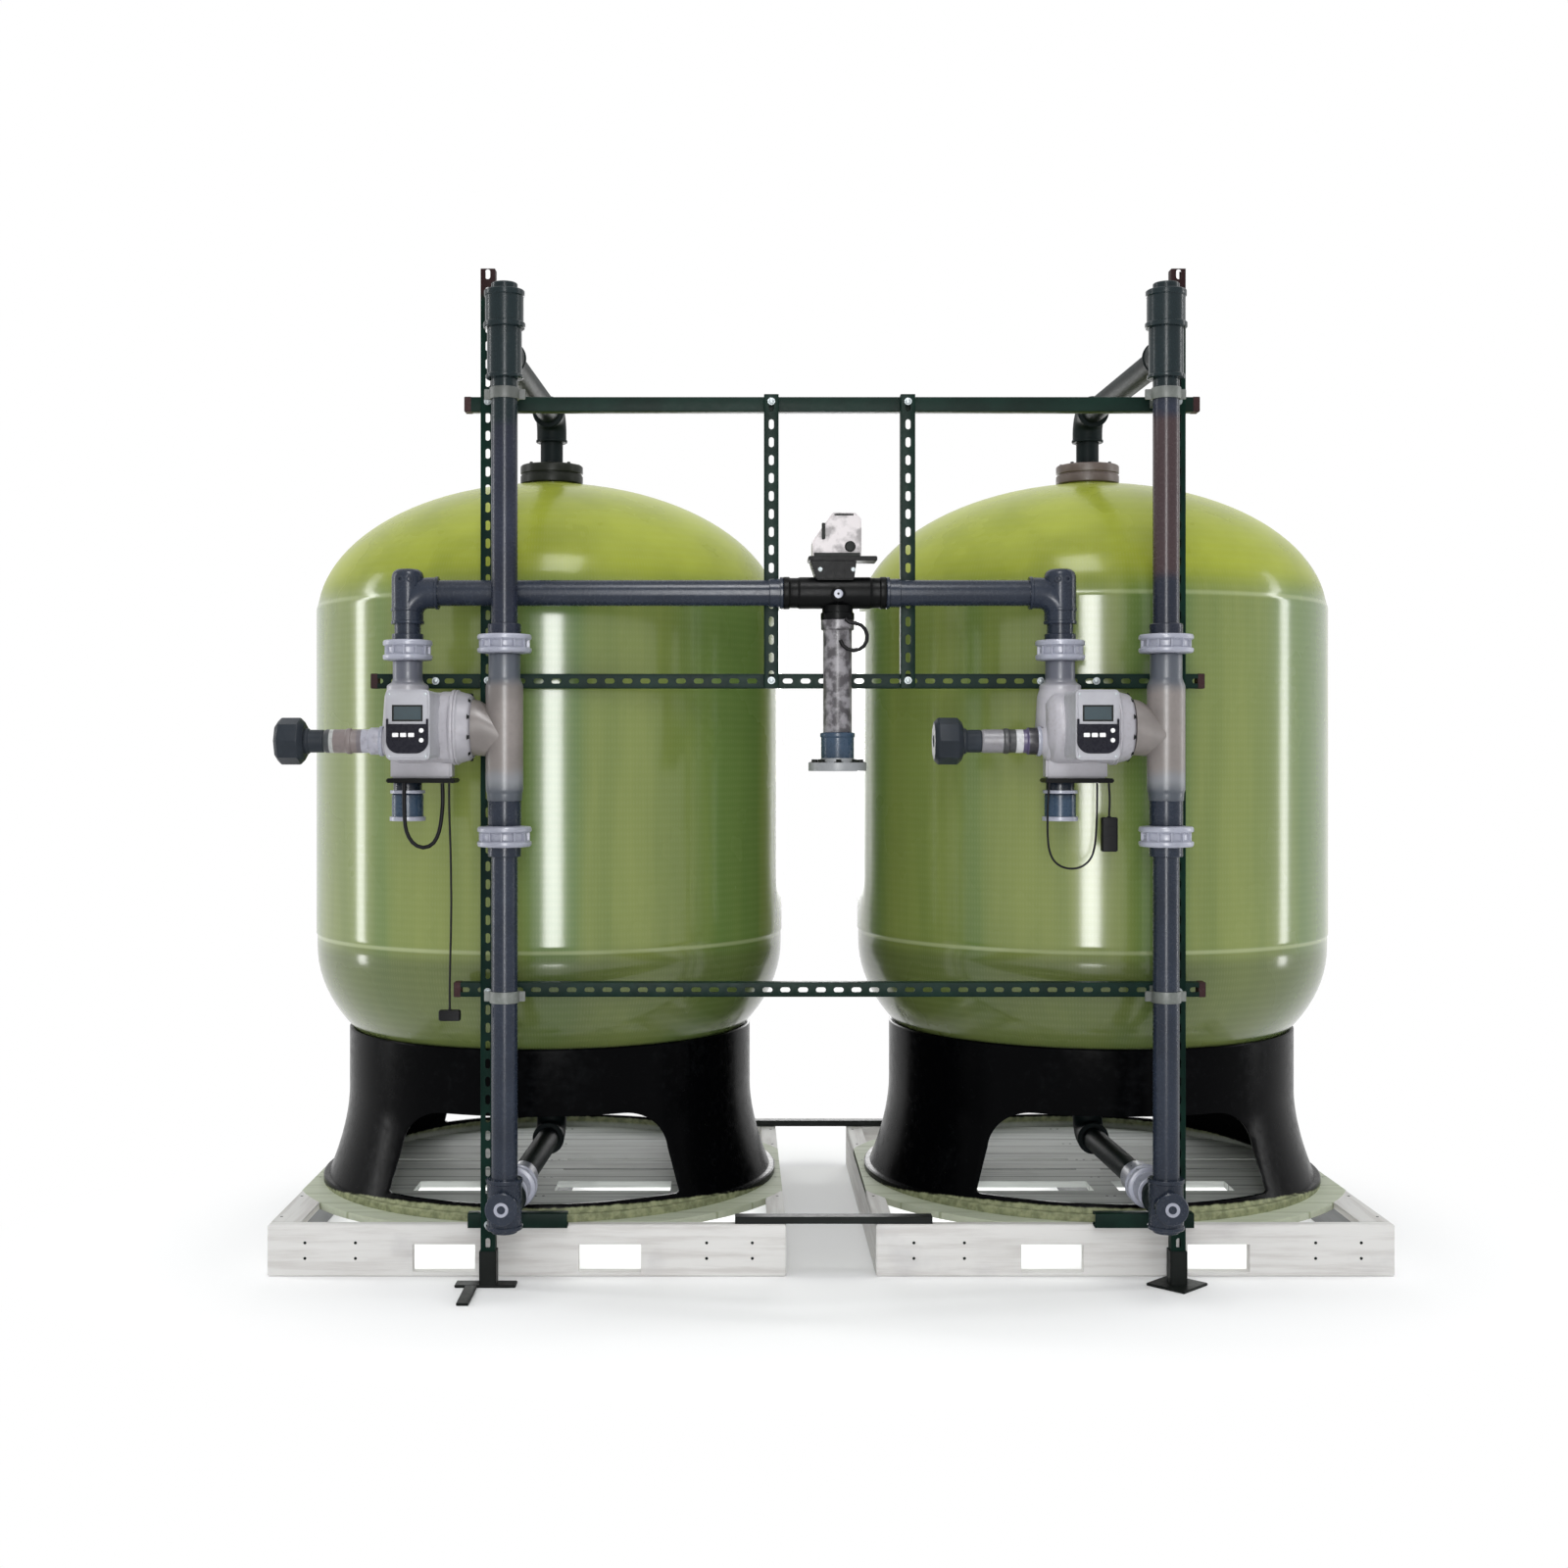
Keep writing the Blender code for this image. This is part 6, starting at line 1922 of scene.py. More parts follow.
    def build(self, dresser: Dresser) -> None:
        """Adds the spools, unions and adapter.

        Args:
            dresser: adds the pieces.
        """
        side = self.side
        brown = Tone.ADAPTER if side == "left" else Tone.ADAPTER_BROWN
        riser = Tone.RISER_PIPE if side == "left" else Tone.BROWN_PIPE
        dresser.add(f"upper_pipe_{side}", self.upper(), riser, [f"upper_spool_{side}"])
        dresser.add(f"top_branch_{side}", self.top_branch(), Tone.BRANCH)
        dresser.add(f"lower_pipe_{side}", self.lower(), Tone.PIPE, [f"lower_spool_{side}"])
        dresser.add(f"bottom_run_{side}", self.bottom_run(), Tone.BRANCH)
        dresser.add(f"riser_unions_{side}", self.unions(dresser), Tone.UNION)
        dresser.add(f"neck_adapter_{side}", self.adapter(), brown, [f"top_adapter_{side}"])
        dresser.add(f"adapter_screws_{side}", self.screws(dresser), Tone.STEEL)
        dresser.add(f"plug_insert_{side}", self.plug_face(), Tone.UNION)


@dataclass
class SideValve:
    """One side valve: barrel, hub, shelf, port stub, spigot, drain nut and the casting on the riser."""

    side: str
    plan: Plan
    z: float = 1.585
    radius: float = 0.1
    left: float = -0.33
    right: float = -0.09
    ridge_x: float = -0.138
    bore: float = 0.05
    bore_x: Pair = (-0.305, -0.125)
    hub_radius: float = 0.0415
    flare_radius: float = 0.058
    leg_union_low: float = 1.7717
    stub_low: float = 1.323
    stub_radius: float = 0.044
    socket_bore: float = 0.037
    shelf_z: Pair = (1.43, 1.455)
    shelf_x: Pair = (-0.05, 0.14)
    shelf_y: Pair = (-0.062, 0.045)
    spigot_z: float = 1.5465
    spigot_radius: float = 0.033
    spigot_end: float = -0.507
    ring_x: Pair = (-0.352, -0.342)
    nut_end: float = -0.64
    nut_back: float = -0.56
    nut_radius: float = 0.0655
    casting_z: Pair = (1.3123, 1.7882)
    casting_body: Pair = (1.41, 1.7)
    casting_radius: float = 0.052
    coupling_radius: float = 0.046
    plate: float = 0.013
    spigot_bands: ClassVar[dict[str, tuple[tuple[float, Colour], ...]]] = {
        "left": (
            (0.05, (0.32, 0.32, 0.37)),
            (0.062, (0.12, 0.105, 0.115)),
            (0.128, (0.165, 0.135, 0.13)),
            (0.139, (0.36, 0.37, 0.36)),
            (0.3, (0.024, 0.03, 0.034)),
        ),
        "right": (
            (0.024, (0.01, 0.009, 0.014)),
            (0.04, (0.06, 0.045, 0.11)),
            (0.06, (0.5, 0.5, 0.51)),
            (0.096, (0.03, 0.032, 0.034)),
            (0.3, (0.19, 0.185, 0.2)),
        ),
    }

    @property
    def riser_x(self) -> float:
        """The riser axis's X."""
        return SIDES[self.side] * self.plan.riser_x

    @property
    def leg_x(self) -> float:
        """The inlet leg axis's X."""
        return self.riser_x + self.plan.leg_offset

    def barrel(self) -> bpy.types.Mesh:
        """The valve's barrel with its nose, ridge and bolted joint, hollow for the piston.

        Returns:
            The barrel's mesh.
        """
        r, left, right, ridge = self.radius, self.left, self.right, self.ridge_x
        profile = [
            (TIP, left), (0.066, left), (0.078, left + 0.006), (0.094, left + 0.018), (r, left + 0.034),
            (r, left + 0.1), (r - 0.0025, left + 0.104), (r - 0.0025, left + 0.15), (r, left + 0.154),
            (r, ridge - 0.014), (r + 0.005, ridge - 0.01), (r + 0.005, ridge - 0.0012),
            (r + 0.0015, ridge - 0.0008), (r + 0.0015, ridge + 0.0008), (r + 0.005, ridge + 0.0012),
            (r + 0.005, ridge + 0.006), (r, ridge + 0.01), (0.092, right - 0.008), (0.084, right),
            (TIP, right),
        ]
        form = Form().turned(profile, (self.riser_x, self.plan.valve_y, self.z), X_AXIS, sides=72, soft=0.003)
        low, high = self.bore_x
        tool = Form().turned(
            [(TIP, low), (self.bore, low), (self.bore, high), (TIP, high)],
            (self.riser_x, self.plan.valve_y, self.z), X_AXIS, sides=48, soft=0.0,
        )
        return cut(form, tool, 0.0)

    def ports(self) -> Form:
        """The inlet hub above the barrel, the web below it and the spigot's root.

        Returns:
            The ports.
        """
        x, y = self.leg_x, self.plan.header_y
        top, base = self.leg_union_low, self.z + self.radius
        form = Form().turned(
            [(TIP, self.z), (self.flare_radius + 0.012, self.z), (self.flare_radius + 0.006, base - 0.012),
             (self.flare_radius, base + 0.006), (self.flare_radius, base + 0.018),
             (self.hub_radius + 0.004, base + 0.026), (self.hub_radius, base + 0.036), (self.hub_radius, top),
             (TIP, top)],
            (x, y, 0.0), soft=0.003,
        )
        low, high = self.shelf_x
        plate_top = self.shelf_z[0] + self.plate - 0.002
        form.box((x + low + 0.006, y - 0.03, plate_top), (x + high - 0.012, y + 0.03, self.z - 0.07), 0.006)
        return form.turned(
            [(TIP, self.ring_x[1] + 0.001), (self.spigot_radius + 0.016, self.left + 0.036),
             (self.spigot_radius + 0.02, self.left + 0.004), (self.spigot_radius + 0.006, self.left - 0.006),
             (self.spigot_radius + 0.004, self.ring_x[1]), (TIP, self.ring_x[1])][::-1],
            (self.riser_x, self.plan.valve_y, self.spigot_z), X_AXIS, sides=48, soft=0.0,
        )

    def casting(self) -> Form:
        """The casting between the riser's unions, swept out to the valve's mouth.

        Returns:
            The casting.
        """
        x, y = self.riser_x, self.plan.riser_y
        high = self.casting_z[1]
        body_low, body_high = self.casting_body
        r, c = self.casting_radius, self.coupling_radius
        form = Form().turned(
            [(TIP, body_low - 0.03), (c + 0.002, body_low - 0.03), (c + 0.003, body_low - 0.008),
             (r, body_low), (r, body_high), (c + 0.002, body_high + 0.01), (c - 0.002, body_high + 0.02),
             (c - 0.002, high), (TIP, high)],
            (x, y, 0.0), soft=0.004,
        )
        start = x + self.right + self.plan.touch
        mouth_y = self.plan.valve_y - 0.018
        sections = []
        for i in range(11):
            t = i / 10
            ease = t * t * (3 - 2 * t)
            px = start + (x - start) * t
            py = mouth_y + (y - mouth_y) * ease
            pz = self.z - 0.024 * ease
            sections.append(((px, py, pz), 0.075 - 0.024 * ease, 0.078 + (0.052 - 0.078) * ease**1.4))
        return form.loft(sections)

    def shelf(self) -> Form:
        """The thin dark plate under the barrel.

        Returns:
            The plate.
        """
        x, y, low = self.leg_x, self.plan.header_y, self.shelf_z[0]
        near, far = (x + self.shelf_x[0], y + self.shelf_y[0],
                     low), (x + self.shelf_x[1], y + self.shelf_y[1], low + self.plate)
        return Form().box(near, far, 0.003)

    def stub(self) -> Form:
        """The open port stub with its collar and socket.

        Returns:
            The stub.
        """
        low, r, bore = self.stub_low, self.stub_radius, self.socket_bore
        top = self.shelf_z[0]
        profile = [
            (TIP, low + 0.052), (bore, low + 0.052), (bore, low), (r + 0.001, low), (r + 0.001, low + 0.01),
            (r, low + 0.012), (r, top - 0.034), (r - 0.0045, top - 0.03), (r - 0.0045, top), (TIP, top),
        ]
        return Form().turned(profile, (self.leg_x, self.plan.header_y, 0.0), soft=0.001)

    def rings(self) -> Form:
        """The pale ring round the stub's neck, its bottom lip and the spigot's clip ring.

        Returns:
            The rings.
        """
        x, y = self.leg_x, self.plan.header_y
        top = self.shelf_z[0]
        r = self.stub_radius
        form = Form().turned([(r - 0.0046, top - 0.03), (r + 0.0045, top - 0.03), (r + 0.0045, top - 0.021),
                              (r - 0.0046, top - 0.021)], (x, y, 0.0), hollow=True, soft=0.001)
        low = self.stub_low
        form.turned([(self.socket_bore - 0.0002, low), (r + 0.006, low), (r + 0.006, low + 0.012),
                     (r - 0.002, low + 0.0125), (self.socket_bore - 0.0002, low + 0.006)],
                    (x, y, 0.0), hollow=True, soft=0.001)
        near, far = self.ring_x
        return form.turned([(0.02, near), (0.042, near), (0.042, far), (0.02, far)],
                           (self.riser_x, self.plan.valve_y, self.spigot_z), X_AXIS, hollow=True, soft=0.0012)

    def spigot(self) -> Form:
        """The banded spigot, open at its far end.

        Returns:
            The spigot.
        """
        end, near, r = self.spigot_end, self.ring_x[0], self.spigot_radius
        profile = [
            (0.018, near), (0.018, end), (r - 0.002, end), (r, end + 0.006), (r, end + 0.06),
            (r + 0.003, end + 0.064), (r + 0.003, end + 0.074), (r, end + 0.078), (r, near - 0.03),
            (r + 0.005, near - 0.026), (r + 0.005, near),
        ]
        return Form().turned(profile, (self.riser_x, self.plan.valve_y, self.spigot_z), X_AXIS, hollow=True,
                             soft=0.001)

    def nut(self) -> Form:
        """The eight-sided drain nut and its neck.

        Returns:
            The nut and its neck.
        """
        end, back, r = self.nut_end, self.nut_back, self.nut_radius
        origin = (self.riser_x, self.plan.valve_y, self.spigot_z)
        form = Form().turned(
            [(0.018, end), (r - 0.012, end), (r, end + 0.012), (r, back - 0.014), (r - 0.014, back),
             (0.018, back)],
            origin, X_AXIS, sides=8, hollow=True, soft=0.003,
        )
        neck_end = self.spigot_end - self.plan.touch
        return form.turned(
            [(0.018, back - 0.002), (0.036, back - 0.002), (0.036, back + 0.008), (0.032, back + 0.012),
             (0.032, neck_end - 0.004), (0.03, neck_end), (0.018, neck_end)],
            origin, X_AXIS, sides=48, hollow=True, soft=0.001,
        )

    def bolts(self, dresser: Dresser) -> Form:
        """The ring of bolts behind the barrel's ridge.

        Args:
            dresser: makes the repeated copies.

        Returns:
            The bolts.
        """
        unit = moved(bolt_head(0.0055, 0.006), Matrix.Translation((self.radius - 0.0115, 0.0, 0.0)))
        ring = dresser.ring(unit, 10)
        turn = Matrix.Rotation(math.pi / 2, 4, "Y")
        spot = (self.riser_x + self.right - 0.0085, self.plan.valve_y, self.z)
        return moved(ring, Matrix.Translation(spot) @ turn)

    def build(self, dresser: Dresser) -> None:
        """Adds the valve's pieces.

        Args:
            dresser: adds the pieces.
        """
        side = self.side
        dresser.add(f"valve_barrel_{side}", self.barrel(), Tone.CASTING, [f"valve_body_{side}"])
        dresser.add(f"valve_ports_{side}", self.ports(), Tone.HUB)
        dresser.add(f"riser_casting_{side}", self.casting(), Tone.ARM, [f"side_manifold_{side}"])
        low_pipe = Form().turned([(TIP, self.casting_z[0]), (0.046, self.casting_z[0]),
                                  (0.046, self.casting_body[0] - 0.028), (TIP, self.casting_body[0] - 0.028)],
                                  (self.riser_x, self.plan.riser_y, 0.0), soft=0.002)
        dresser.add(f"riser_coupling_{side}", low_pipe, Tone.PIPE)
        dresser.add(f"valve_shelf_{side}", self.shelf(), Tone.BODY)
        dresser.add(f"port_socket_{side}", self.stub(), Tone.PORT)
        dresser.add(f"port_rings_{side}", self.rings(), Tone.UNION)
        banded = BandedSpigot(
            f"banded_spigot_{side}", "dark_fitting", self.riser_x + self.ring_x[0], self.spigot_bands[side]
        )
        dresser.add(f"drain_spigot_{side}", self.spigot(), banded)
        dresser.add(f"drain_nut_body_{side}", self.nut(), Tone.NUT, [f"drain_nut_{side}"])
        dresser.add(f"valve_bolts_{side}", self.bolts(dresser), Tone.STEEL)
        dresser.paint_node(f"valve_piston_{side}", Tone.PISTON)


@dataclass
class ControlHead:
    """One control housing with its window, black key panel and sprung keys."""

    side: str
    plan: Plan
    offset: float = -0.231
    width: float = 0.117
    z: Pair = (1.495, 1.682)
    face_y: float = -0.971
    back_y: float = -0.782
    corner: float = 0.014
    panel_width: float = 0.112
    panel_z: Pair = (1.512, 1.59)
    panel_corner: float = 0.034
    proud: float = 0.005
    window_width: float = 0.082
    window_z: Pair = (1.597, 1.641)
    key_z: float = 1.561
    key_x: tuple[float, ...] = (-0.031, -0.01, 0.011)
    key_size: Pair = (0.016, 0.011)
    round_x: float = 0.038
    round_z: Pair = (1.573, 1.547)
    round_radius: float = 0.006
    key_out: float = 0.003
    key_back: float = 0.0077
    gap: float = 0.0004

    @property
    def x(self) -> float:
        """The housing's middle X."""
        return SIDES[self.side] * self.plan.riser_x + self.offset

    def housing(self) -> bpy.types.Mesh:
        """The housing with its recessed window and a seam round its sides.

        Returns:
            The housing's mesh.
        """
        middle, height = sum(self.z) / 2, self.z[1] - self.z[0]
        outline = [(self.x + a, middle + b) for a, b in rounded_box(self.width, height, self.corner, 8)]
        seam = self.face_y + 0.062
        form = Form().slab(outline, self.face_y, seam - 0.0008, "Y", 0.006, 4)
        inner = [(self.x + a * 0.975, middle + b * 0.985) for a,
                 b in rounded_box(self.width, height, self.corner, 8)]
        form.slab(inner, seam - 0.004, self.back_y, "Y", 0.002)
        half = self.window_width / 2
        tool = Form().box((self.x - half, self.face_y - 0.01, self.window_z[0]),
                          (self.x + half, self.face_y + 0.003, self.window_z[1]), 0.0)
        return cut(form, tool, 0.0)

    def outlines(self) -> list[tuple[str, list[Pair]]]:
        """Every key's node name and its outline in the face's plane.

        Returns:
            Each key's name and outline.
        """
        found = []
        for i, dx in enumerate(self.key_x):
            box = rounded_box(*self.key_size, 0.0024, 5)
            found.append((f"key_{self.side}_{i + 1}", [(self.x + dx + a, self.key_z + b) for a, b in box]))
        for i, z in enumerate(self.round_z):
            ring = arc_points((self.x + self.round_x, z), self.round_radius, 0, 348.75, 31)
            found.append((f"round_key_{self.side}_{i + 1}", ring))
        return found

    def panel(self) -> bpy.types.Mesh:
        """The black panel, square above and round below, with a pocket for every key.

        Returns:
            The panel's mesh.
        """
        low, high = self.panel_z
        half, corner = self.panel_width / 2, self.panel_corner
        right = arc_points((half - corner, low + corner), corner, 0, -90, 12)
        left = arc_points((corner - half, low + corner), corner, -90, -180, 12)
        shape = [(half, high), *right, *left, (-half, high)]
        outline = [(self.x + a, b) for a, b in shape]
        front = self.face_y - self.proud
        form = Form().slab(outline, front, self.face_y + 0.004, "Y", 0.0016, 3)
        tool = Form()
        for _, key in self.outlines():
            cx = sum(p[0] for p in key) / len(key)
            cz = sum(p[1] for p in key) / len(key)
            grow = 1.0 + 2 * self.gap / self.key_size[1]
            wide = [(cx + (px - cx) * grow, cz + (pz - cz) * grow) for px, pz in key]
            tool.slab(wide, front - 0.01, front + 0.0105, "Y", 0.0)
        return cut(form, tool, 0.0)

    def trim(self) -> Form:
        """The raised arms that run up from the panel beside the display.

        Returns:
            The arms.
        """
        high = self.panel_z[1]
        half = self.panel_width / 2 + 0.0005
        front = self.face_y - self.proud - 0.0008
        form = Form()
        for way in (-1, 1):
            x = self.x + way * (half - 0.0035)
            form.box((x - 0.0028, front, high - 0.02), (x + 0.0028, self.face_y + 0.003, high + 0.014), 0.001)
        return form

    def glass(self) -> Form:
        """The display behind its bezel, a little below the face.

        Returns:
            The display.
        """
        half = self.window_width / 2 - 0.0004
        low, high = self.window_z
        return Form().box((self.x - half, self.face_y + 0.0012, low + 0.0004),
                          (self.x + half, self.face_y + 0.003, high - 0.0004), 0.0004)

    def bezel(self) -> Form:
        """The dark frame round the display.

        Returns:
            The frame.
        """
        half, (low, high), wide = self.window_width / 2 - 0.0002, self.window_z, 0.0045
        near, far = self.face_y - 0.0006, self.face_y + 0.0016
        form = Form()
        form.box((self.x - half, near, low), (self.x + half, far, low + wide), 0.0005)
        form.box((self.x - half, near, high - wide), (self.x + half, far, high), 0.0005)
        for way in (-1, 1):
            x = self.x + way * (half - wide / 2)
            form.box((x - wide / 2, near, low + wide * 0.8), (x + wide / 2, far, high - wide * 0.8), 0.0005)
        return form

    def keys(self, dresser: Dresser) -> None:
        """Adds each key on its own body.

        Args:
            dresser: adds the pieces.
        """
        front = self.face_y - self.proud
        for name, outline in self.outlines():
            form = Form().slab(outline, front - self.key_out, front + self.key_back, "Y", 0.0009, 3)
            dresser.add(f"{name}_cap", form, Tone.KEY, [name], name)

    def screws(self, dresser: Dresser) -> Form:
        """Corner screws in the housing's face.

        Args:
            dresser: makes the repeated copies.

        Returns:
            The screws.
        """
        unit = moved(bolt_head(0.0026, 0.0016, 1.3), FACING)
        half, (low, high) = self.width / 2 - 0.01, self.z
        heights, seat = (low + 0.009, high - 0.012), self.face_y + 0.0002
        spots = [(self.x + way * half, seat, z) for way in (-1, 1) for z in heights]
        return dresser.at_spots(unit, spots, seed=11, most_turn=0.0)

    def build(self, dresser: Dresser) -> None:
        """Adds the head's pieces.

        Args:
            dresser: adds the pieces.
        """
        side = self.side
        dresser.add(f"head_housing_{side}", self.housing(), Tone.HOUSING, [f"control_head_{side}"])
        dresser.add(f"key_panel_{side}", self.panel(), Tone.PANEL)
        dresser.add(f"panel_arms_{side}", self.trim(), Tone.PANEL)
        dresser.add(f"display_{side}", self.glass(), Tone.WINDOW)
        dresser.add(f"display_frame_{side}", self.bezel(), Tone.STEEL)
        dresser.add(f"head_screws_{side}", self.screws(dresser), Tone.ZINC)
        self.keys(dresser)


@dataclass
class Header:
    """The header pipes with their legs, the changeover valve with its drive, and the outlet pipe."""

    plan: Plan
    z: float = 1.963
    pipe_radius: float = 0.0365
    elbow_radius: float = 0.044
    bend: float = 0.058
    socket: float = 0.03
    body_x: Pair = (-0.142, 0.146)
    body_radius: float = 0.0455
    bore: float = 0.032
    end_ring: float = 0.01
    union_z: Pair = (1.772, 1.832)
    union_radius: float = 0.069
    cap_z: Pair = (2.05, 2.063)
    cap_half: float = 0.075
    cap_foot: float = 0.0525
    cap_throat: float = 0.06
    brim_x: float = 0.119
    cap_depth: float = 0.092
    hood_x: Spot = (-0.062, -0.005, 0.075)
    hood_z: Spot = (2.0633, 2.105, 2.185)
    hood_chamfer: float = 0.018
    hood_depth: float = 0.084
    outlet_x: float = 0.01
    outlet_radius: float = 0.04
    outlet_top: float = 1.887
    coupling_z: float = 1.569
    flange_z: Pair = (1.463, 1.487)
    flange_radius: float = 0.0815
    coupling_radius: float = 0.046
    neck_radius: float = 0.047
    boss_z: float = 1.957
    boss_radius: float = 0.022
    boss_proud: float = 0.008
    union_bore: float = 0.046
    outlet_bore: float = 0.03
    screw_spots: tuple[Pair, ...] = ((0.052, 2.026), (-0.04, 2.026))

    def leg(self, side: str) -> Form:
        """A header pipe, its elbow and its leg down to the side valve's union.

        Args:
            side: left or right.

        Returns:
            The pipe.
        """
        way, y = SIDES[side], self.plan.header_y
        start = self.body_x[1] + 0.0003 if way > 0 else self.body_x[0] - 0.0003
        leg_x = way * self.plan.riser_x + self.plan.leg_offset
        route = Route([(start, y, self.z), (leg_x, y, self.z), (leg_x, y, self.union_z[0])], self.bend)
        height = self.union_z[1] - self.union_z[0]
        collars = [
            Collar(0.0, self.end_ring, self.body_radius - 0.0005),
            Collar(self.end_ring, self.end_ring + 0.03, self.pipe_radius + 0.0035),
            *route.fittings(self.socket, self.elbow_radius, 0.0025),
            Collar(route.length - height - 0.016, route.length, 0.044),
        ]
        return Form().pipe(route, self.pipe_radius, collars, edge=0.0018)

    def nuts(self, dresser: Dresser) -> Form:
        """The pale union nuts at the foot of both legs.

        Args:
            dresser: makes the repeated copies.

        Returns:
            The nuts.
        """
        forms = []
        for way in SIDES.values():
            nut = Pipework.union(dresser, self.union_radius, self.union_bore,
                                 self.union_z[1] - self.union_z[0])
            spot = (way * self.plan.riser_x + self.plan.leg_offset, self.plan.header_y, self.union_z[0])
            forms.append(moved(nut, Matrix.Translation(spot)))
        return joined(*forms)

    def body(self) -> bpy.types.Mesh:
        """The changeover valve's barrel with its end rings, neck and boss, hollow for its spool.

        Returns:
            The barrel's mesh.
        """
        near, far = self.body_x
        r, y = self.body_radius, self.plan.header_y
        profile = [
            (TIP, near), (r, near), (r, near + 0.016), (r - 0.003, near + 0.018), (r - 0.003, near + 0.04),
            (r - 0.0008, near + 0.046), (r - 0.0008, far - 0.046), (r - 0.003, far - 0.04),
            (r - 0.003, far - 0.018), (r, far - 0.016), (r, far), (TIP, far),
        ]
        form = Form().turned(profile, (0.0, y, self.z), X_AXIS, sides=64, soft=0.0015)
        tool = Form().turned(
            [(TIP, near - 0.01), (self.bore, near - 0.01), (self.bore, far + 0.01), (TIP, far + 0.01)],
            (0.0, y, self.z), X_AXIS, sides=40, soft=0.0,
        )
        return cut(form, tool, 0.0)

    def neck(self) -> Form:
        """The valve's neck down to the outlet pipe and the boss on its front.

        Returns:
            The neck and boss.
        """
        y = self.plan.header_y
        low = self.outlet_top + 0.0003
        wall = self.bore + 0.0015
        form = Form().turned([(wall, low), (self.neck_radius, low), (self.neck_radius, low + 0.018),
                              (self.neck_radius - 0.004, low + 0.022),
                              (self.neck_radius - 0.004, self.z - 0.036), (wall, self.z - 0.036)],
                              (self.outlet_x, y, 0.0), hollow=True, soft=0.001)
        start = y - self.body_radius + 0.006
        face = y - self.body_radius - self.boss_proud
        return form.turned([(TIP, 0.0), (self.boss_radius, 0.0), (self.boss_radius, start - face - 0.002),
                            (self.boss_radius - 0.003, start - face), (TIP, start - face)],
                           (self.outlet_x, start, self.boss_z), -Y_AXIS, sides=8, soft=0.0)

    def disc(self) -> Form:
        """The grey disc set in the boss.

        Returns:
            The disc.
        """
        y = self.plan.header_y - self.body_radius - self.boss_proud
        profile = [(TIP, 0.0), (0.0125, 0.0), (0.0125, 0.0016), (0.01, 0.0022), (TIP, 0.001)]
        return Form().turned(profile, (self.outlet_x, y + 0.0014, self.boss_z), -Y_AXIS, sides=32, soft=0.0)

    def cap(self) -> Form:
        """The mounting block on the barrel, with its brim toward the right.

        Returns:
            The block.
        """
        middle = sum(self.body_x) / 2
        half = self.cap_depth / 2
        y = self.plan.header_y
        brim, top = self.cap_z
        block = [(middle - self.cap_foot, self.z + 0.034), (middle + self.cap_foot, self.z + 0.034),
                 (middle + self.cap_throat, brim + 0.002), (middle - self.cap_half + 0.004, brim + 0.002)]
        form = Form().slab(block, y - half + 0.006, y + half - 0.006, "Y", 0.003)
        plate = [(middle - self.cap_half, brim), (self.brim_x, brim), (self.brim_x, top),
                 (middle - self.cap_half, top)]
        form.slab(plate, y - half, y + half, "Y", 0.002)
        for dx in (-0.03, 0.0, 0.03):
            form.box((middle + dx - 0.003, y - half + 0.003, self.z + 0.04),
                     (middle + dx + 0.003, y - half + 0.01, brim), 0.001)
        return form

    def hood(self) -> bpy.types.Mesh:
        """The drive's sloping hood, with the seam above its base.

        Returns:
            The hood's mesh.
        """
        left, crown, right = self.hood_x
        low, shoulder, top = self.hood_z
        y, half = self.plan.header_y, self.hood_depth / 2
        outline = [(left, low), (right, low), (right, top - self.hood_chamfer),
                   (right - self.hood_chamfer, top), (crown, top), (left, shoulder)]
        form = Form().slab(softened(outline, 0.006, 4), y - half, y + half, "Y", 0.005, 4)
        tool = Form()
        grow = 0.02
        tool.box((left - grow, y - half - grow, low + 0.0115),
                 (right + grow, y - half + 0.0012, low + 0.0127), 0.0)
        return cut(form, tool, 0.0)

    def trim(self) -> Form:
        """The drive's dark lever, knob, top strip and base strip on the hood's front.

        Returns:
            The dark trim.
        """
        left, crown, right = self.hood_x
        low, _, top = self.hood_z
        face = self.plan.header_y - self.hood_depth / 2
        form = Form().box((left + 0.026, face - 0.004, low + 0.046),
                          (left + 0.036, face + 0.004, low + 0.092), 0.0015)
        form.box((crown + 0.004, face - 0.002, top - 0.009), (right - 0.022, face + 0.006, top - 0.004),
                 0.001)
        form.box((left + 0.004, face - 0.0015, low), (right - 0.004, face + 0.004, low + 0.009), 0.001)
        knob = [(TIP, 0.0), (0.015, 0.0), (0.015, 0.008), (0.0125, 0.011), (TIP, 0.011)]
        return form.turned(knob, (right - 0.032, face + 0.001, low + 0.026), -Y_AXIS, sides=40, soft=0.001)

    def elbow_caps(self) -> Form:
        """The capped tops of both header elbows, each with two small round marks on its front.

        Returns:
            Both tops.
        """
        form = Form()
        radius, y = self.elbow_radius + 0.0008, self.plan.header_y
        for way in SIDES.values():
            x = way * self.plan.riser_x + self.plan.leg_offset
            form.turned(
                [(TIP, -0.052), (radius + 0.002, -0.052), (radius + 0.002, -0.044), (radius, -0.042),
                 (radius, 0.046), (radius - 0.004, 0.058), (radius - 0.014, 0.066), (TIP, 0.068)],
                (x, y, self.z), sides=56, soft=0.003,
            )
            for dx in (-0.013, 0.013):
                ring = [(0.005, 0.0), (0.01, 0.0), (0.0095, 0.004), (0.0055, 0.004)]
                form.turned(ring, (x + dx, y - radius + 0.003, self.z + 0.036), -Y_AXIS, sides=28,
                            hollow=True, soft=0.0)
        return form

    def outlet(self, profile: Sequence[Pair]) -> Form:
        """A stretch of the outlet pipe turned about its axis."""
        return Form().turned(profile, (self.outlet_x, self.plan.header_y, 0.0), hollow=True, soft=0.0015)

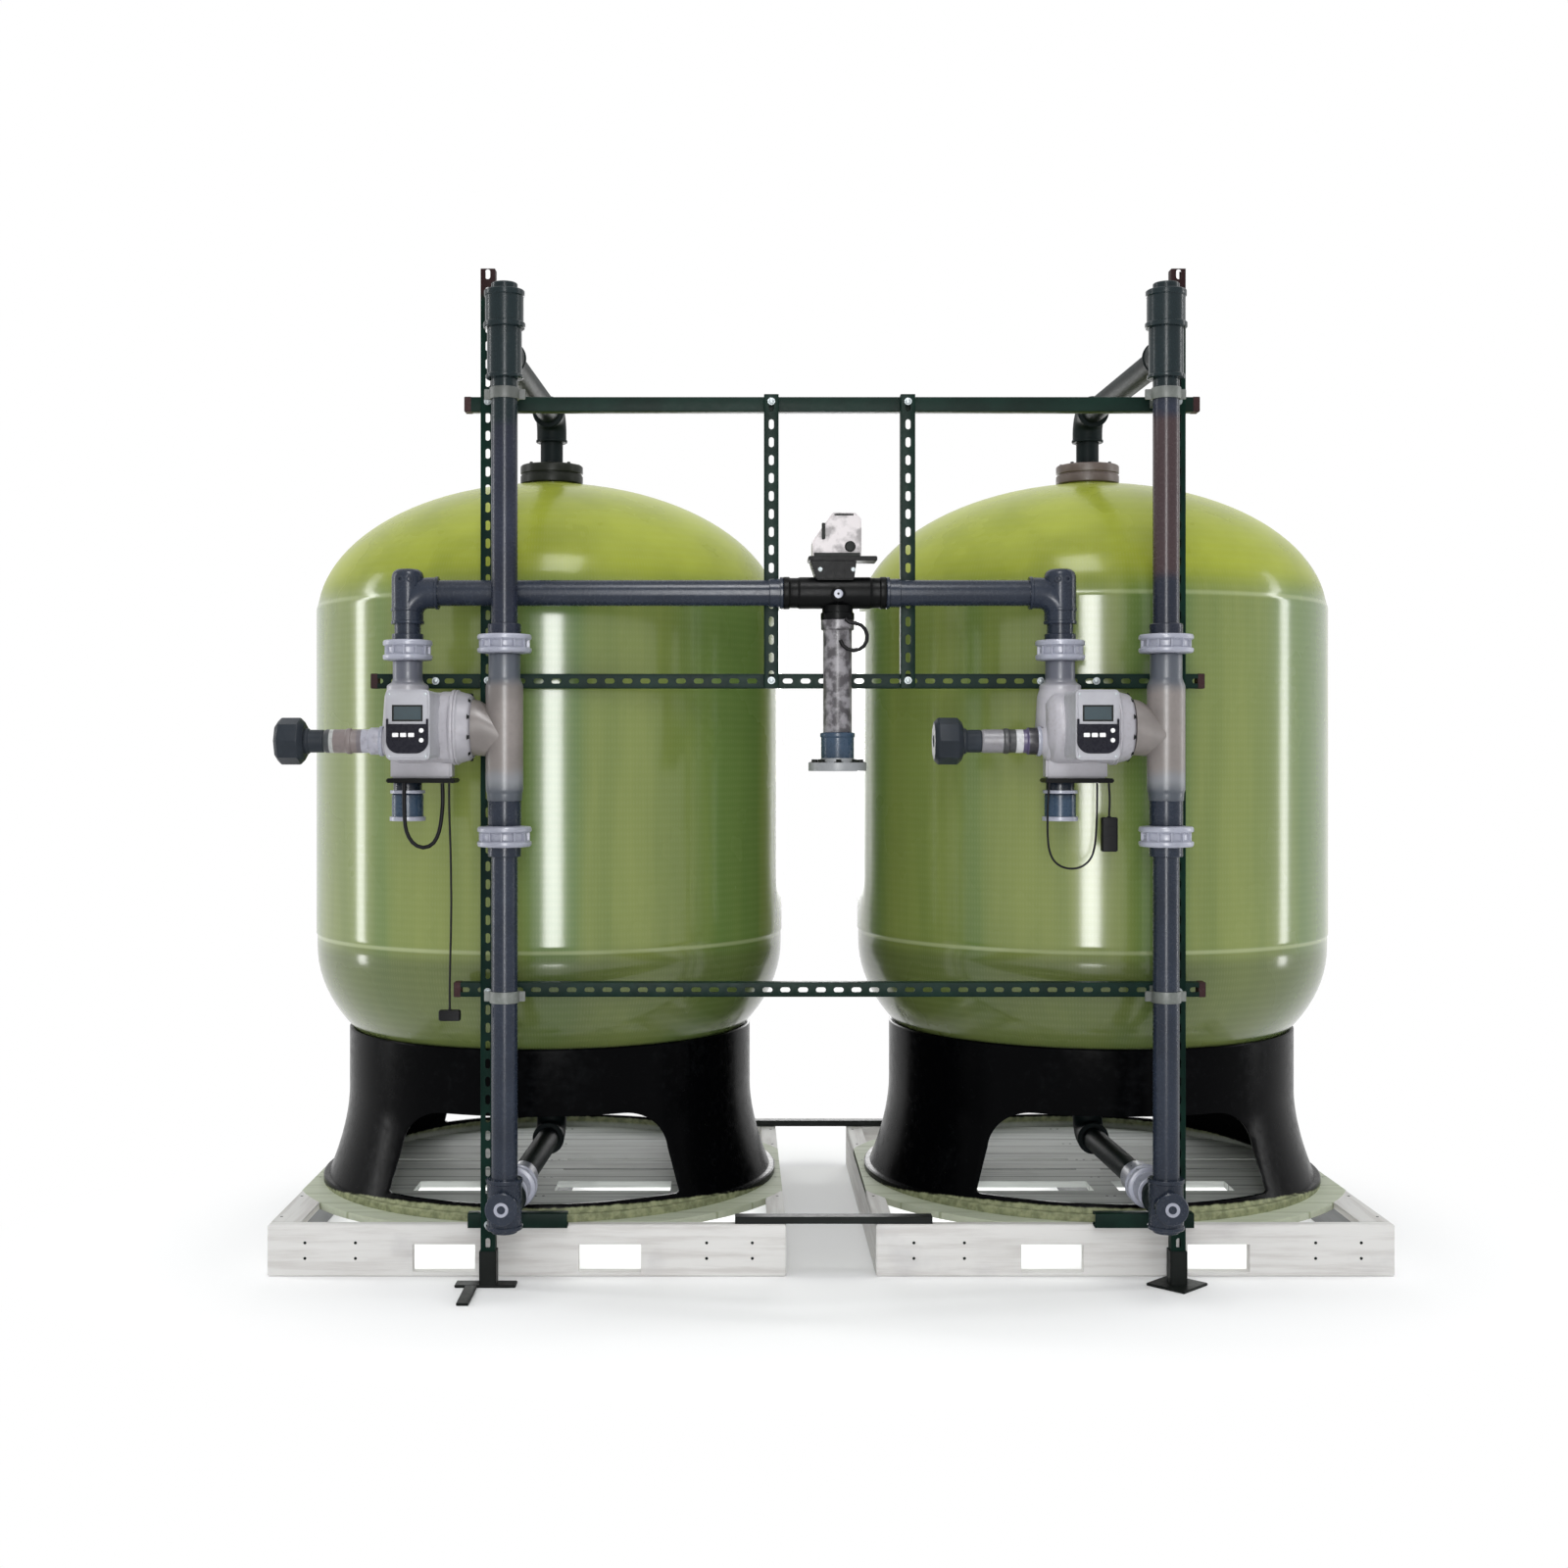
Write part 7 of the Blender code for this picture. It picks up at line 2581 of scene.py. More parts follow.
    def outlet_parts(self) -> dict[str, tuple[Form, Tone | MottledPlastic]]:
        """The outlet pipe, its coupling and its flange with their finishes, by name.

        Returns:
            Each piece's form and finish.
        """
        (low, high), knee, top, bore = self.flange_z, self.coupling_z, self.outlet_top, self.outlet_bore
        r, c, f = self.outlet_radius, self.coupling_radius, self.flange_radius
        mottled = MottledPlastic(
            "mottled_outlet", "grey_pipe", (0.055, 0.05, 0.056), (0.23, 0.22, 0.235), 34.0, 0.38, 0.62, 0.34
        )
        pipe = [(bore, knee), (r, knee), (r, top - 0.03), (c, top - 0.027), (c, top - 0.0002),
                (bore, top - 0.0002)]
        coupling = [(bore, high), (c, high), (c, knee - 0.012), (c + 0.0025, knee - 0.01), (c + 0.0025, knee),
                    (r - 0.001, knee + 0.003), (bore, knee + 0.003)]
        flange = [(bore, low), (f, low), (f, high), (c + 0.006, high), (c + 0.002, high + 0.008),
                  (c - 0.001, high + 0.014), (bore, high + 0.014)]
        return {
            "outlet_pipe_run": (self.outlet(pipe), mottled),
            "outlet_coupling": (self.outlet(coupling), Tone.STUB),
            "outlet_flange": (self.outlet(flange), Tone.FLANGE),
        }

    def bolts(self, dresser: Dresser) -> Form:
        """The ring of bolts on the outlet flange.

        Args:
            dresser: makes the repeated copies.

        Returns:
            The bolts.
        """
        unit = moved(bolt_head(0.0085, 0.009), Matrix.Translation((self.flange_radius - 0.017, 0.0, 0.0)))
        spot = (self.outlet_x, self.plan.header_y, self.flange_z[1] - 0.0002)
        return moved(dresser.ring(unit, 8), Matrix.Translation(spot))

    def screws(self, dresser: Dresser) -> Form:
        """The pale screws on the mounting block's face.

        Args:
            dresser: makes the repeated copies.

        Returns:
            The screws.
        """
        unit = moved(bolt_head(0.0045, 0.0035, 1.3), FACING)
        y = self.plan.header_y - self.cap_depth / 2
        spots = [(x, y + 0.0062, z) for x, z in self.screw_spots]
        return dresser.at_spots(unit, spots, seed=13, most_turn=0.0)

    def build(self, dresser: Dresser) -> None:
        """Adds the header's pieces.

        Args:
            dresser: adds the pieces.
        """
        for side in SIDES:
            dresser.add(f"header_pipe_{side}", self.leg(side), Tone.PIPE, [f"header_{side}"])
        dresser.add("leg_unions", self.nuts(dresser), Tone.UNION)
        dresser.add("changeover_barrel", self.body(), Tone.BODY, ["changeover_body"])
        dresser.add("changeover_neck", self.neck(), Tone.BODY)
        dresser.add("changeover_block", self.cap(), Tone.BODY)
        dresser.add("changeover_disc", self.disc(), Tone.UNION)
        hood = MottledPlastic(
            "mottled_drive_hood", "hood", (0.155, 0.14, 0.142), (0.56, 0.52, 0.525), 24.0, 0.36, 0.6
        )
        dresser.add("drive_hood", self.hood(), hood, ["changeover_actuator"])
        dresser.add("drive_trim", self.trim(), Tone.STEEL)
        dresser.add("elbow_caps", self.elbow_caps(), Tone.PIPE)
        for name, (form, finish) in self.outlet_parts().items():
            dresser.add(name, form, finish, ["outlet_pipe"] if name == "outlet_pipe_run" else ())
        dresser.add("outlet_bolts", self.bolts(dresser), Tone.STEEL)
        dresser.add("block_screws", self.screws(dresser), Tone.ZINC)
        dresser.paint_node("changeover_spool", Tone.PISTON)


@dataclass
class StrutFrame:
    """Uprights, rails, hangers, brackets and tie bars of slotted channel, with clamps, bolts and feet."""

    plan: Plan
    strut: float = 0.0413
    wall: float = 0.0026
    lip: float = 0.0095
    turn_in: float = 0.007
    bend: float = 0.003
    pitch: float = 0.0508
    slot_length: float = 0.0286
    slot_width: float = 0.0143
    upright_z: Pair = (0.0083, 2.885)
    rails: tuple[tuple[str, float, float, float, bool], ...] = (
        ("top_rail", -1.05, 1.048, 2.509, False),
        ("middle_rail", -1.317, 1.062, 1.719, True),
        ("lower_rail", -1.08, 1.065, 0.838, True),
    )
    hangers: tuple[tuple[str, float], ...] = (("hanger_left", -0.175), ("hanger_right", 0.212))
    hanger_z: Pair = (1.69835, 2.52965)
    brackets: tuple[tuple[str, float, float], ...] = (
        ("foot_bracket_left", -1.041, -0.757),
        ("foot_bracket_right", 0.75, 1.032),
    )
    bracket_z: float = 0.178
    tie_x: Pair = (-0.278, 0.294)
    tie_z: Pair = (0.1503, 0.1709)
    tie_y: float = 0.72
    pipe_radius: float = 0.0365
    clamp_height: float = 0.032
    clamp_wall: float = 0.004
    rail_bolts: Spot = (-1.132, 0.594, 0.753)
    socket_top: float = 0.103
    plate_half: float = 0.124

    def section(self) -> list[Pair]:
        """The channel's closed section, its web toward -Y and its bends eased.

        Returns:
            The section's points.
        """
        h, t = self.strut / 2, self.wall
        half = [
            (h, -h), (h, h), (h - self.lip, h), (h - self.lip, h - self.turn_in),
            (h - self.lip + t, h - self.turn_in), (h - self.lip + t, h - t), (h - t, h - t), (h - t, t - h),
        ]
        corners = half + [(-x, y) for x, y in reversed(half)]
        eased: list[Pair] = []
        for i, corner in enumerate(corners):
            outer = abs(abs(corner[0]) - h) < 1e-6
            if not outer:
                eased.append(corner)
                continue
            here, before = Vector(corner), Vector(corners[i - 1])
            after, reach = Vector(corners[(i + 1) % len(corners)]), self.bend
            start = here + (before - here).normalized() * reach
            end = here + (after - here).normalized() * reach
            for s in (0.0, 0.5, 1.0):
                eased.append(tuple(start * (1 - s) ** 2 + here * 2 * s * (1 - s) + end * s**2))
        return eased

    def cell(self, low: float, high: float) -> Form:
        """A stretch of channel about one rounded slot at height 0.

        Args:
            low: where the stretch starts.
            high: where it ends.

        Returns:
            The stretch, open at both ends so that it joins its neighbours.
        """
        form = Form()
        work = form.work
        ring = self.section()
        rings = [[work.verts.new((x, y, z)) for x, y in ring] for z in (low, high)]
        half_run, round_r = self.slot_length / 2 - self.slot_width / 2, self.slot_width / 2
        slot = arc_points((0.0, half_run), round_r, 0, 180, 7)
        slot += arc_points((0.0, -half_run), round_r, 180, 360, 7)
        mouths = []
        for i, point in enumerate(ring):
            j = (i + 1) % len(ring)
            after = ring[j]
            flat = abs(point[1] - after[1]) < 1e-6 and abs(point[0] - after[0]) > self.strut * 0.6
            corners = (rings[0][i], rings[0][j], rings[1][j], rings[1][i])
            if not flat:
                work.faces.new(corners)
                continue
            edges = []
            for a, b in zip(corners, corners[1:] + corners[:1]):
                edges.append(work.edges.get((a, b)) or work.edges.new((a, b)))
            loop = [work.verts.new((x, point[1], z)) for x, z in slot]
            edges += [work.edges.new((a, b)) for a, b in zip(loop, loop[1:] + loop[:1])]
            bmesh.ops.triangle_fill(work, use_beauty=True, edges=edges)
            mouths.append(loop)
        near, far = mouths
        for i in range(len(near)):
            j = (i + 1) % len(near)
            work.faces.new((near[i], near[j], far[j], far[i]))
        return form

    def channel(self, dresser: Dresser, length: float, slotted: bool) -> Form:
        """A closed length of channel along Z, plain or slotted.

        Args:
            dresser: repeats the slotted cells.
            length: how long it is.
            slotted: whether its web has slots.

        Returns:
            The channel.
        """
        if not slotted:
            return Form().slab(self.section(), 0.0, length, "Z", 0.0)
        count = int((length - self.slot_length) / self.pitch) + 1
        first = (length - (count - 1) * self.pitch) / 2
        half = self.pitch / 2
        start = moved(self.cell(-first, half), Matrix.Translation((0.0, 0.0, first)))
        end = moved(self.cell(-half, first), Matrix.Translation((0.0, 0.0, length - first)))
        middle = dresser.row(self.cell(-half, half), count - 2, (0.0, 0.0, first + self.pitch),
                             (0.0, 0.0, self.pitch))
        form = joined(start, middle, end)
        bmesh.ops.remove_doubles(form.work, verts=form.work.verts, dist=2e-5)
        for level in (0.0, length):
            open_edges = [e for e in form.work.edges if e.is_boundary]
            rim = [e for e in open_edges if all(abs(v.co.z - level) < 1e-4 for v in e.verts)]
            bmesh.ops.contextual_create(form.work, geom=rim)
        bmesh.ops.recalc_face_normals(form.work, faces=form.work.faces)
        return form

    @staticmethod
    def lay_along_x(form: Form, start: Spot) -> Form:
        """Turns a channel so that it runs along X from a point, its web still toward the viewer."""
        turn = Matrix((-Z_AXIS, Y_AXIS, X_AXIS)).transposed().to_4x4()
        return moved(form, Matrix.Translation(start) @ turn)

    def straps(self, z: float) -> Form:
        """The clamps that hold both risers on a rail: a strap round the pipe and its stand-off.

        Args:
            z: the rail's height.

        Returns:
            The clamps.
        """
        form = Form()
        grip, y = self.pipe_radius + 0.0004, self.plan.riser_y
        half = self.clamp_height / 2
        for way in SIDES.values():
            x = way * self.plan.riser_x
            form.turned([(grip, -half), (grip + self.clamp_wall, -half), (grip + self.clamp_wall, half),
                         (grip, half)],
                        (x, y, z), sides=48, hollow=True, soft=0.0012)
            for ear in (-1, 1):
                low_x, high_x = sorted((x + ear * (grip + 0.002), x + ear * (grip + 0.02)))
                form.box((low_x, y + 0.004, z - half + 0.002), (high_x, y + 0.012, z + half - 0.002), 0.0012)
            form.box((x - 0.0128, y + grip + 0.002, z - 0.0128),
                     (x + 0.0128, self.plan.rail_y - self.strut / 2 + 0.0006, z + 0.0128), 0.0015)
        return form

    def bolt_spots(self) -> list[Spot]:
        """Where bolts hold rails, uprights and hangers together, on the faces toward the viewer.

        Returns:
            The places.
        """
        front = self.plan.upright_y - self.strut / 2 - 0.0002
        rail_front = self.plan.rail_y - self.strut / 2 - 0.0002
        spots = []
        for way in SIDES.values():
            x = way * self.plan.upright_x
            spots += [(x, front, z) for _, _, _, z, _ in self.rails]
            spots.append((x, front, self.bracket_z))
        for _, x in self.hangers:
            spots += [(x, front, z) for _, _, _, z, _ in self.rails if z > 1.0]
        return spots + [(x, rail_front, self.rails[1][3]) for x in self.rail_bolts]

    def feet(self) -> Form:
        """The welded feet: a socket on a turned plate at the right and on a toed bar at the left.

        Returns:
            Both feet.
        """
        form = Form()
        inner, wall, plate = self.strut / 2 + 0.0004, 0.003, 0.008
        y = self.plan.upright_y
        for way in SIDES.values():
            x = way * self.plan.upright_x
            for dx, dy in ((-1, 0), (1, 0), (0, -1), (0, 1)):
                if dx:
                    low_x, high_x = sorted((x + dx * inner, x + dx * (inner + wall)))
                    form.box((low_x, y - inner - wall, plate - 0.001),
                             (high_x, y + inner + wall, self.socket_top), 0.001)
                else:
                    low_y, high_y = sorted((y + dy * inner, y + dy * (inner + wall)))
                    form.box((x - inner - 0.001, low_y, plate - 0.001),
                             (x + inner + 0.001, high_y, self.socket_top), 0.001)
            if way > 0:
                reach = self.plate_half / math.sqrt(2)
                form.slab([(x + reach, y), (x, y + reach), (x - reach, y), (x, y - reach)], 0.0, plate, "Z",
                          0.0015)
            else:
                form.box((x - 0.094, y - 0.025, 0.0), (x + 0.079, y + 0.025, plate), 0.0015)
                form.box((x - 0.064, y - 0.2, 0.0), (x - 0.03, y, plate - 0.0004), 0.0015)
        return form

    def ends(self) -> Form:
        """The dark red caps on the rails' ends.

        Returns:
            The caps.
        """
        form = Form()
        y, half = self.plan.rail_y, self.strut / 2 + 0.0006
        for _, low, high, z, _ in self.rails:
            for end, way in ((low, 1), (high, -1)):
                near, far = sorted((end - way * 0.0006, end + way * 0.02))
                form.box((near, y - half, z - half), (far, y + half, z + half), 0.0015)
        return form

    def build(self, dresser: Dresser) -> None:
        """Adds the frame's pieces.

        Args:
            dresser: adds the pieces.
        """
        low, high = self.upright_z
        for side, way in SIDES.items():
            post = moved(self.channel(dresser, high - low, True),
                         Matrix.Translation((way * self.plan.upright_x, self.plan.upright_y, low)))
            dresser.add(f"post_{side}", post, Tone.POST, [f"upright_{side}"])
        for name, low_x, high_x, z, slotted in self.rails:
            rail = self.lay_along_x(self.channel(dresser, high_x - low_x, slotted),
                                    (low_x, self.plan.rail_y, z))
            dresser.add(f"{name}_channel", rail, Tone.STRUT, [name])
        low, high = self.hanger_z
        for name, x in self.hangers:
            hanger = moved(self.channel(dresser, high - low, True),
                           Matrix.Translation((x, self.plan.upright_y, low)))
            dresser.add(f"{name}_channel", hanger, Tone.STRUT, [name])
        for name, low_x, high_x in self.brackets:
            bracket = self.lay_along_x(self.channel(dresser, high_x - low_x, False),
                                       (low_x, self.plan.rail_y, self.bracket_z))
            dresser.add(f"{name}_channel", bracket, Tone.STRUT, [name])
        for name, way in (("tie_bar_front", -1), ("tie_bar_rear", 1)):
            y = self.plan.tank_y + way * self.tie_y
            half, t = self.strut / 2, self.wall
            low_z, high_z = self.tie_z
            section = [(y - half, low_z), (y - half, high_z), (y + half, high_z), (y + half, low_z),
                       (y + half - t, low_z), (y + half - t, high_z - t), (y - half + t, high_z - t),
                       (y - half + t, low_z)]
            bar = Form().slab(section, self.tie_x[0], self.tie_x[1], "X", 0.0008, 1)
            dresser.add(f"{name}_channel", bar, Tone.STEEL, [name])
        straps = joined(self.straps(self.rails[0][3]), self.straps(self.rails[2][3]))
        dresser.add("riser_clamps", straps, Tone.STRAP)
        unit = moved(bolt_head(0.008, 0.008, 1.3), FACING)
        dresser.add("frame_bolts", dresser.at_spots(unit, self.bolt_spots(), seed=17, most_turn=0.0),
                    Tone.ZINC)
        dresser.add("rail_end_caps", self.ends(), Tone.STRUT_END)
        dresser.add("post_feet", self.feet(), Tone.STEEL, ["post_base_left", "post_base_right"])


class CordEnd(Enum):
    """What a free cord has on its far end."""

    OBJECT = "object"
    PLUG = "plug"
    BARE = "bare"


@dataclass(frozen=True)
class CordRoute:
    """One free cord: its chosen points, its size and its ends."""

    name: str
    points: tuple[Spot, ...]
    radius: float
    far_end: CordEnd
    lay: str
    stiffness: str = "medium"

    def smooth(self) -> list[Vector]:
        """Points at an even spacing on a smooth curve through the chosen points.

        Returns:
            The points.
        """
        points = [Vector(point) for point in self.points]
        ends = [points[0] * 2 - points[1], *points, points[-1] * 2 - points[-2]]
        fine = []
        for a, b, c, d in zip(ends, ends[1:], ends[2:], ends[3:]):
            for i in range(12):
                t = i / 12
                square, cube = 2 * a - 5 * b + 4 * c - d, 3 * b - a - 3 * c + d
                fine.append(0.5 * (2 * b + (c - a) * t + square * t**2 + cube * t**3))
        fine.append(points[-1])
        total = sum((after - before).length for before, after in zip(fine, fine[1:]))
        count = max(int(total / (self.radius * 3.0)), 8)
        route, travelled, wanted = [fine[0]], 0.0, total / count
        for before, after in zip(fine, fine[1:]):
            step = (after - before).length
            while travelled + step >= wanted - 1e-9 and len(route) < count:
                route.append(before.lerp(after, (wanted - travelled) / step))
                wanted += total / count
            travelled += step
        return [*route, fine[-1]]

    def length(self) -> float:
        """The cord's real length."""
        route = self.smooth()
        return sum((after - before).length for before, after in zip(route, route[1:]))

    def build(self, dresser: Dresser, pieces: Sequence[bpy.types.Object] = ()) -> bpy.types.Object:
        """Args:
            dresser: holds the materials.
            pieces: the separate pieces on the cord; not used.

        Returns:
            The cord.
        """
        route = self.smooth()
        curve = bpy.data.curves.new(f"{self.name}_cord", "CURVE")
        curve.dimensions = "3D"
        curve.bevel_depth = self.radius
        curve.bevel_resolution = 4
        curve.use_fill_caps = True
        spline = curve.splines.new("POLY")
        spline.points.add(len(route) - 1)
        for point, spot in zip(spline.points, route):
            point.co = (*spot, 1.0)
        spline.use_smooth = True
        curve.materials.append(dresser.paints.get(Tone.RUBBER))
        item = bpy.data.objects.new(f"{self.name}_cord", curve)
        bpy.context.scene.collection.objects.link(item)
        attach(item, BASE)
        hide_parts(self.name)
        tuple(route[0])
        self.length()
        self.radius * 2
        return item


@dataclass
class Cords:
    """The cable loops, the thin leads with their plugs, and the cable ring at the changeover valve."""

    plan: Plan
    shelf_z: float = 1.4297
    front_y: float = -0.7324
    ring_spot: Spot = (0.052, -0.7224, 1.838)
    ring_size: float = 0.0385
    cable: float = 0.0055
    lead: float = 0.003
    loop_left: tuple[Pair, ...] = (
        (0.0, 0.0), (0.0, 0.03), (0.0, 0.06), (0.001, 0.09), (0.003, 0.118), (0.01, 0.144), (0.024, 0.166),
        (0.044, 0.178), (0.064, 0.178), (0.082, 0.166), (0.094, 0.144), (0.101, 0.116), (0.105, 0.086),
        (0.107, 0.056), (0.107, 0.026), (0.106, 0.0),
    )
    loop_right: tuple[Pair, ...] = (
        (-0.04, 0.0), (-0.042, 0.03), (-0.044, 0.07), (-0.045, 0.11), (-0.044, 0.15), (-0.04, 0.186),
        (-0.028, 0.214), (-0.006, 0.232), (0.024, 0.238), (0.054, 0.23), (0.076, 0.208), (0.086, 0.176),
        (0.09, 0.14), (0.092, 0.1), (0.093, 0.05), (0.093, 0.0),
    )
    leads: tuple[tuple[str, float, float, float], ...] = (
        ("left", 0.125, 0.628, 0.006),
        ("right", 0.126, 0.092, 0.002),
    )
    lead_shape: tuple[Pair, ...] = (
        (0.0, 0.0), (0.06, 0.0), (0.13, 0.1), (0.2, 0.3), (0.28, 0.6), (0.36, 0.8), (0.44, 0.9), (0.52, 1.0),
        (0.6, 0.9), (0.68, 0.8), (0.76, 0.6), (0.84, 0.4), (0.9, 0.3), (0.95, 0.3), (1.0, 0.3),
    )
    ring_shape: tuple[Pair, ...] = (
        (-0.6, 1.3), (-0.45, 1.12), (-0.2, 1.0), (0.1, 0.98), (0.45, 0.88), (0.75, 0.65), (0.95, 0.3),
        (1.0, -0.1), (0.9, -0.48), (0.65, -0.8), (0.3, -0.97), (-0.1, -1.0), (-0.48, -0.88), (-0.78, -0.62),
        (-0.95, -0.25),
    )
    plug_size: tuple[Spot, ...] = ((0.06, 0.032, 0.026), (0.044, 0.098, 0.03))

    def plug(self, dresser: Dresser, side: str, end: Vector, size: Spot) -> bpy.types.Object:
        """Adds the moulded plug under a lead's end, with its strain relief and its raised bands.

        Args:
            dresser: adds the piece.
            side: the lead's side.
            end: the lead's lower end.
            size: the plug's width, height and depth.

        Returns:
            The plug.
        """
        width, height, depth = size
        outline = [(end.x + a, end.y + b) for a, b in rounded_box(width, depth, 0.006, 5)]
        top = end.z - 0.0003
        form = Form().slab(outline, top - height, top - 0.0025, "Z", 0.0025, 3)
        form.turned([(TIP, -0.004), (0.0065, -0.004), (0.0052, 0.0), (TIP, 0.0)], (end.x, end.y, top),
                    sides=24, soft=0.0004)
        band = [(end.x + a, end.y + b) for a, b in rounded_box(width + 0.0006, depth + 0.0006, 0.006, 5)]
        for share in (0.3, 0.55):
            z = top - height * share
            form.slab(band, z - 0.0015, z + 0.0015, "Z", 0.0004, 1)
        return dresser.add(f"plug_{side}_body", form, Tone.RUBBER, [f"plug_{side}"])

    def build(self, dresser: Dresser) -> None:
        """Adds every cord and plug.

        Args:
            dresser: adds the pieces.
        """
        for side, way in SIDES.items():
            leg_x = way * self.plan.riser_x + self.plan.leg_offset
            chosen = self.loop_left if side == "left" else self.loop_right
            points = tuple((leg_x + dx, self.front_y, self.shelf_z - drop) for dx, drop in chosen)
            radius = self.cable if side == "left" else self.lead
            CordRoute(f"cable_loop_{side}", points, radius, CordEnd.OBJECT, "hanging").build(dresser)
        for (side, dx, drop, reach), size in zip(self.leads, self.plug_size):
            leg_x = SIDES[side] * self.plan.riser_x + self.plan.leg_offset
            points = tuple(
                (leg_x + dx + sway * reach, self.front_y, self.shelf_z - drop * share) for share,
                sway in self.lead_shape
            )
            route = CordRoute(f"lead_{side}", points, self.lead, CordEnd.PLUG, "hanging", "limp")
            plug = self.plug(dresser, side, route.smooth()[-1], size)
            route.build(dresser, [plug])
        x, y, z = self.ring_spot
        points = tuple((x + dx * self.ring_size, y, z + dz * self.ring_size) for dx, dz in self.ring_shape)
        CordRoute("cable_ring", points, self.cable, CordEnd.BARE, "coiled", "stiff").build(dresser)


class Glow(Enum):
    """Which rays a lamp lights: all, only mirror-like ones, or only matt ones."""

    ALL = (True, True)
    GLEAM = (False, True)
    MATT = (True, False)


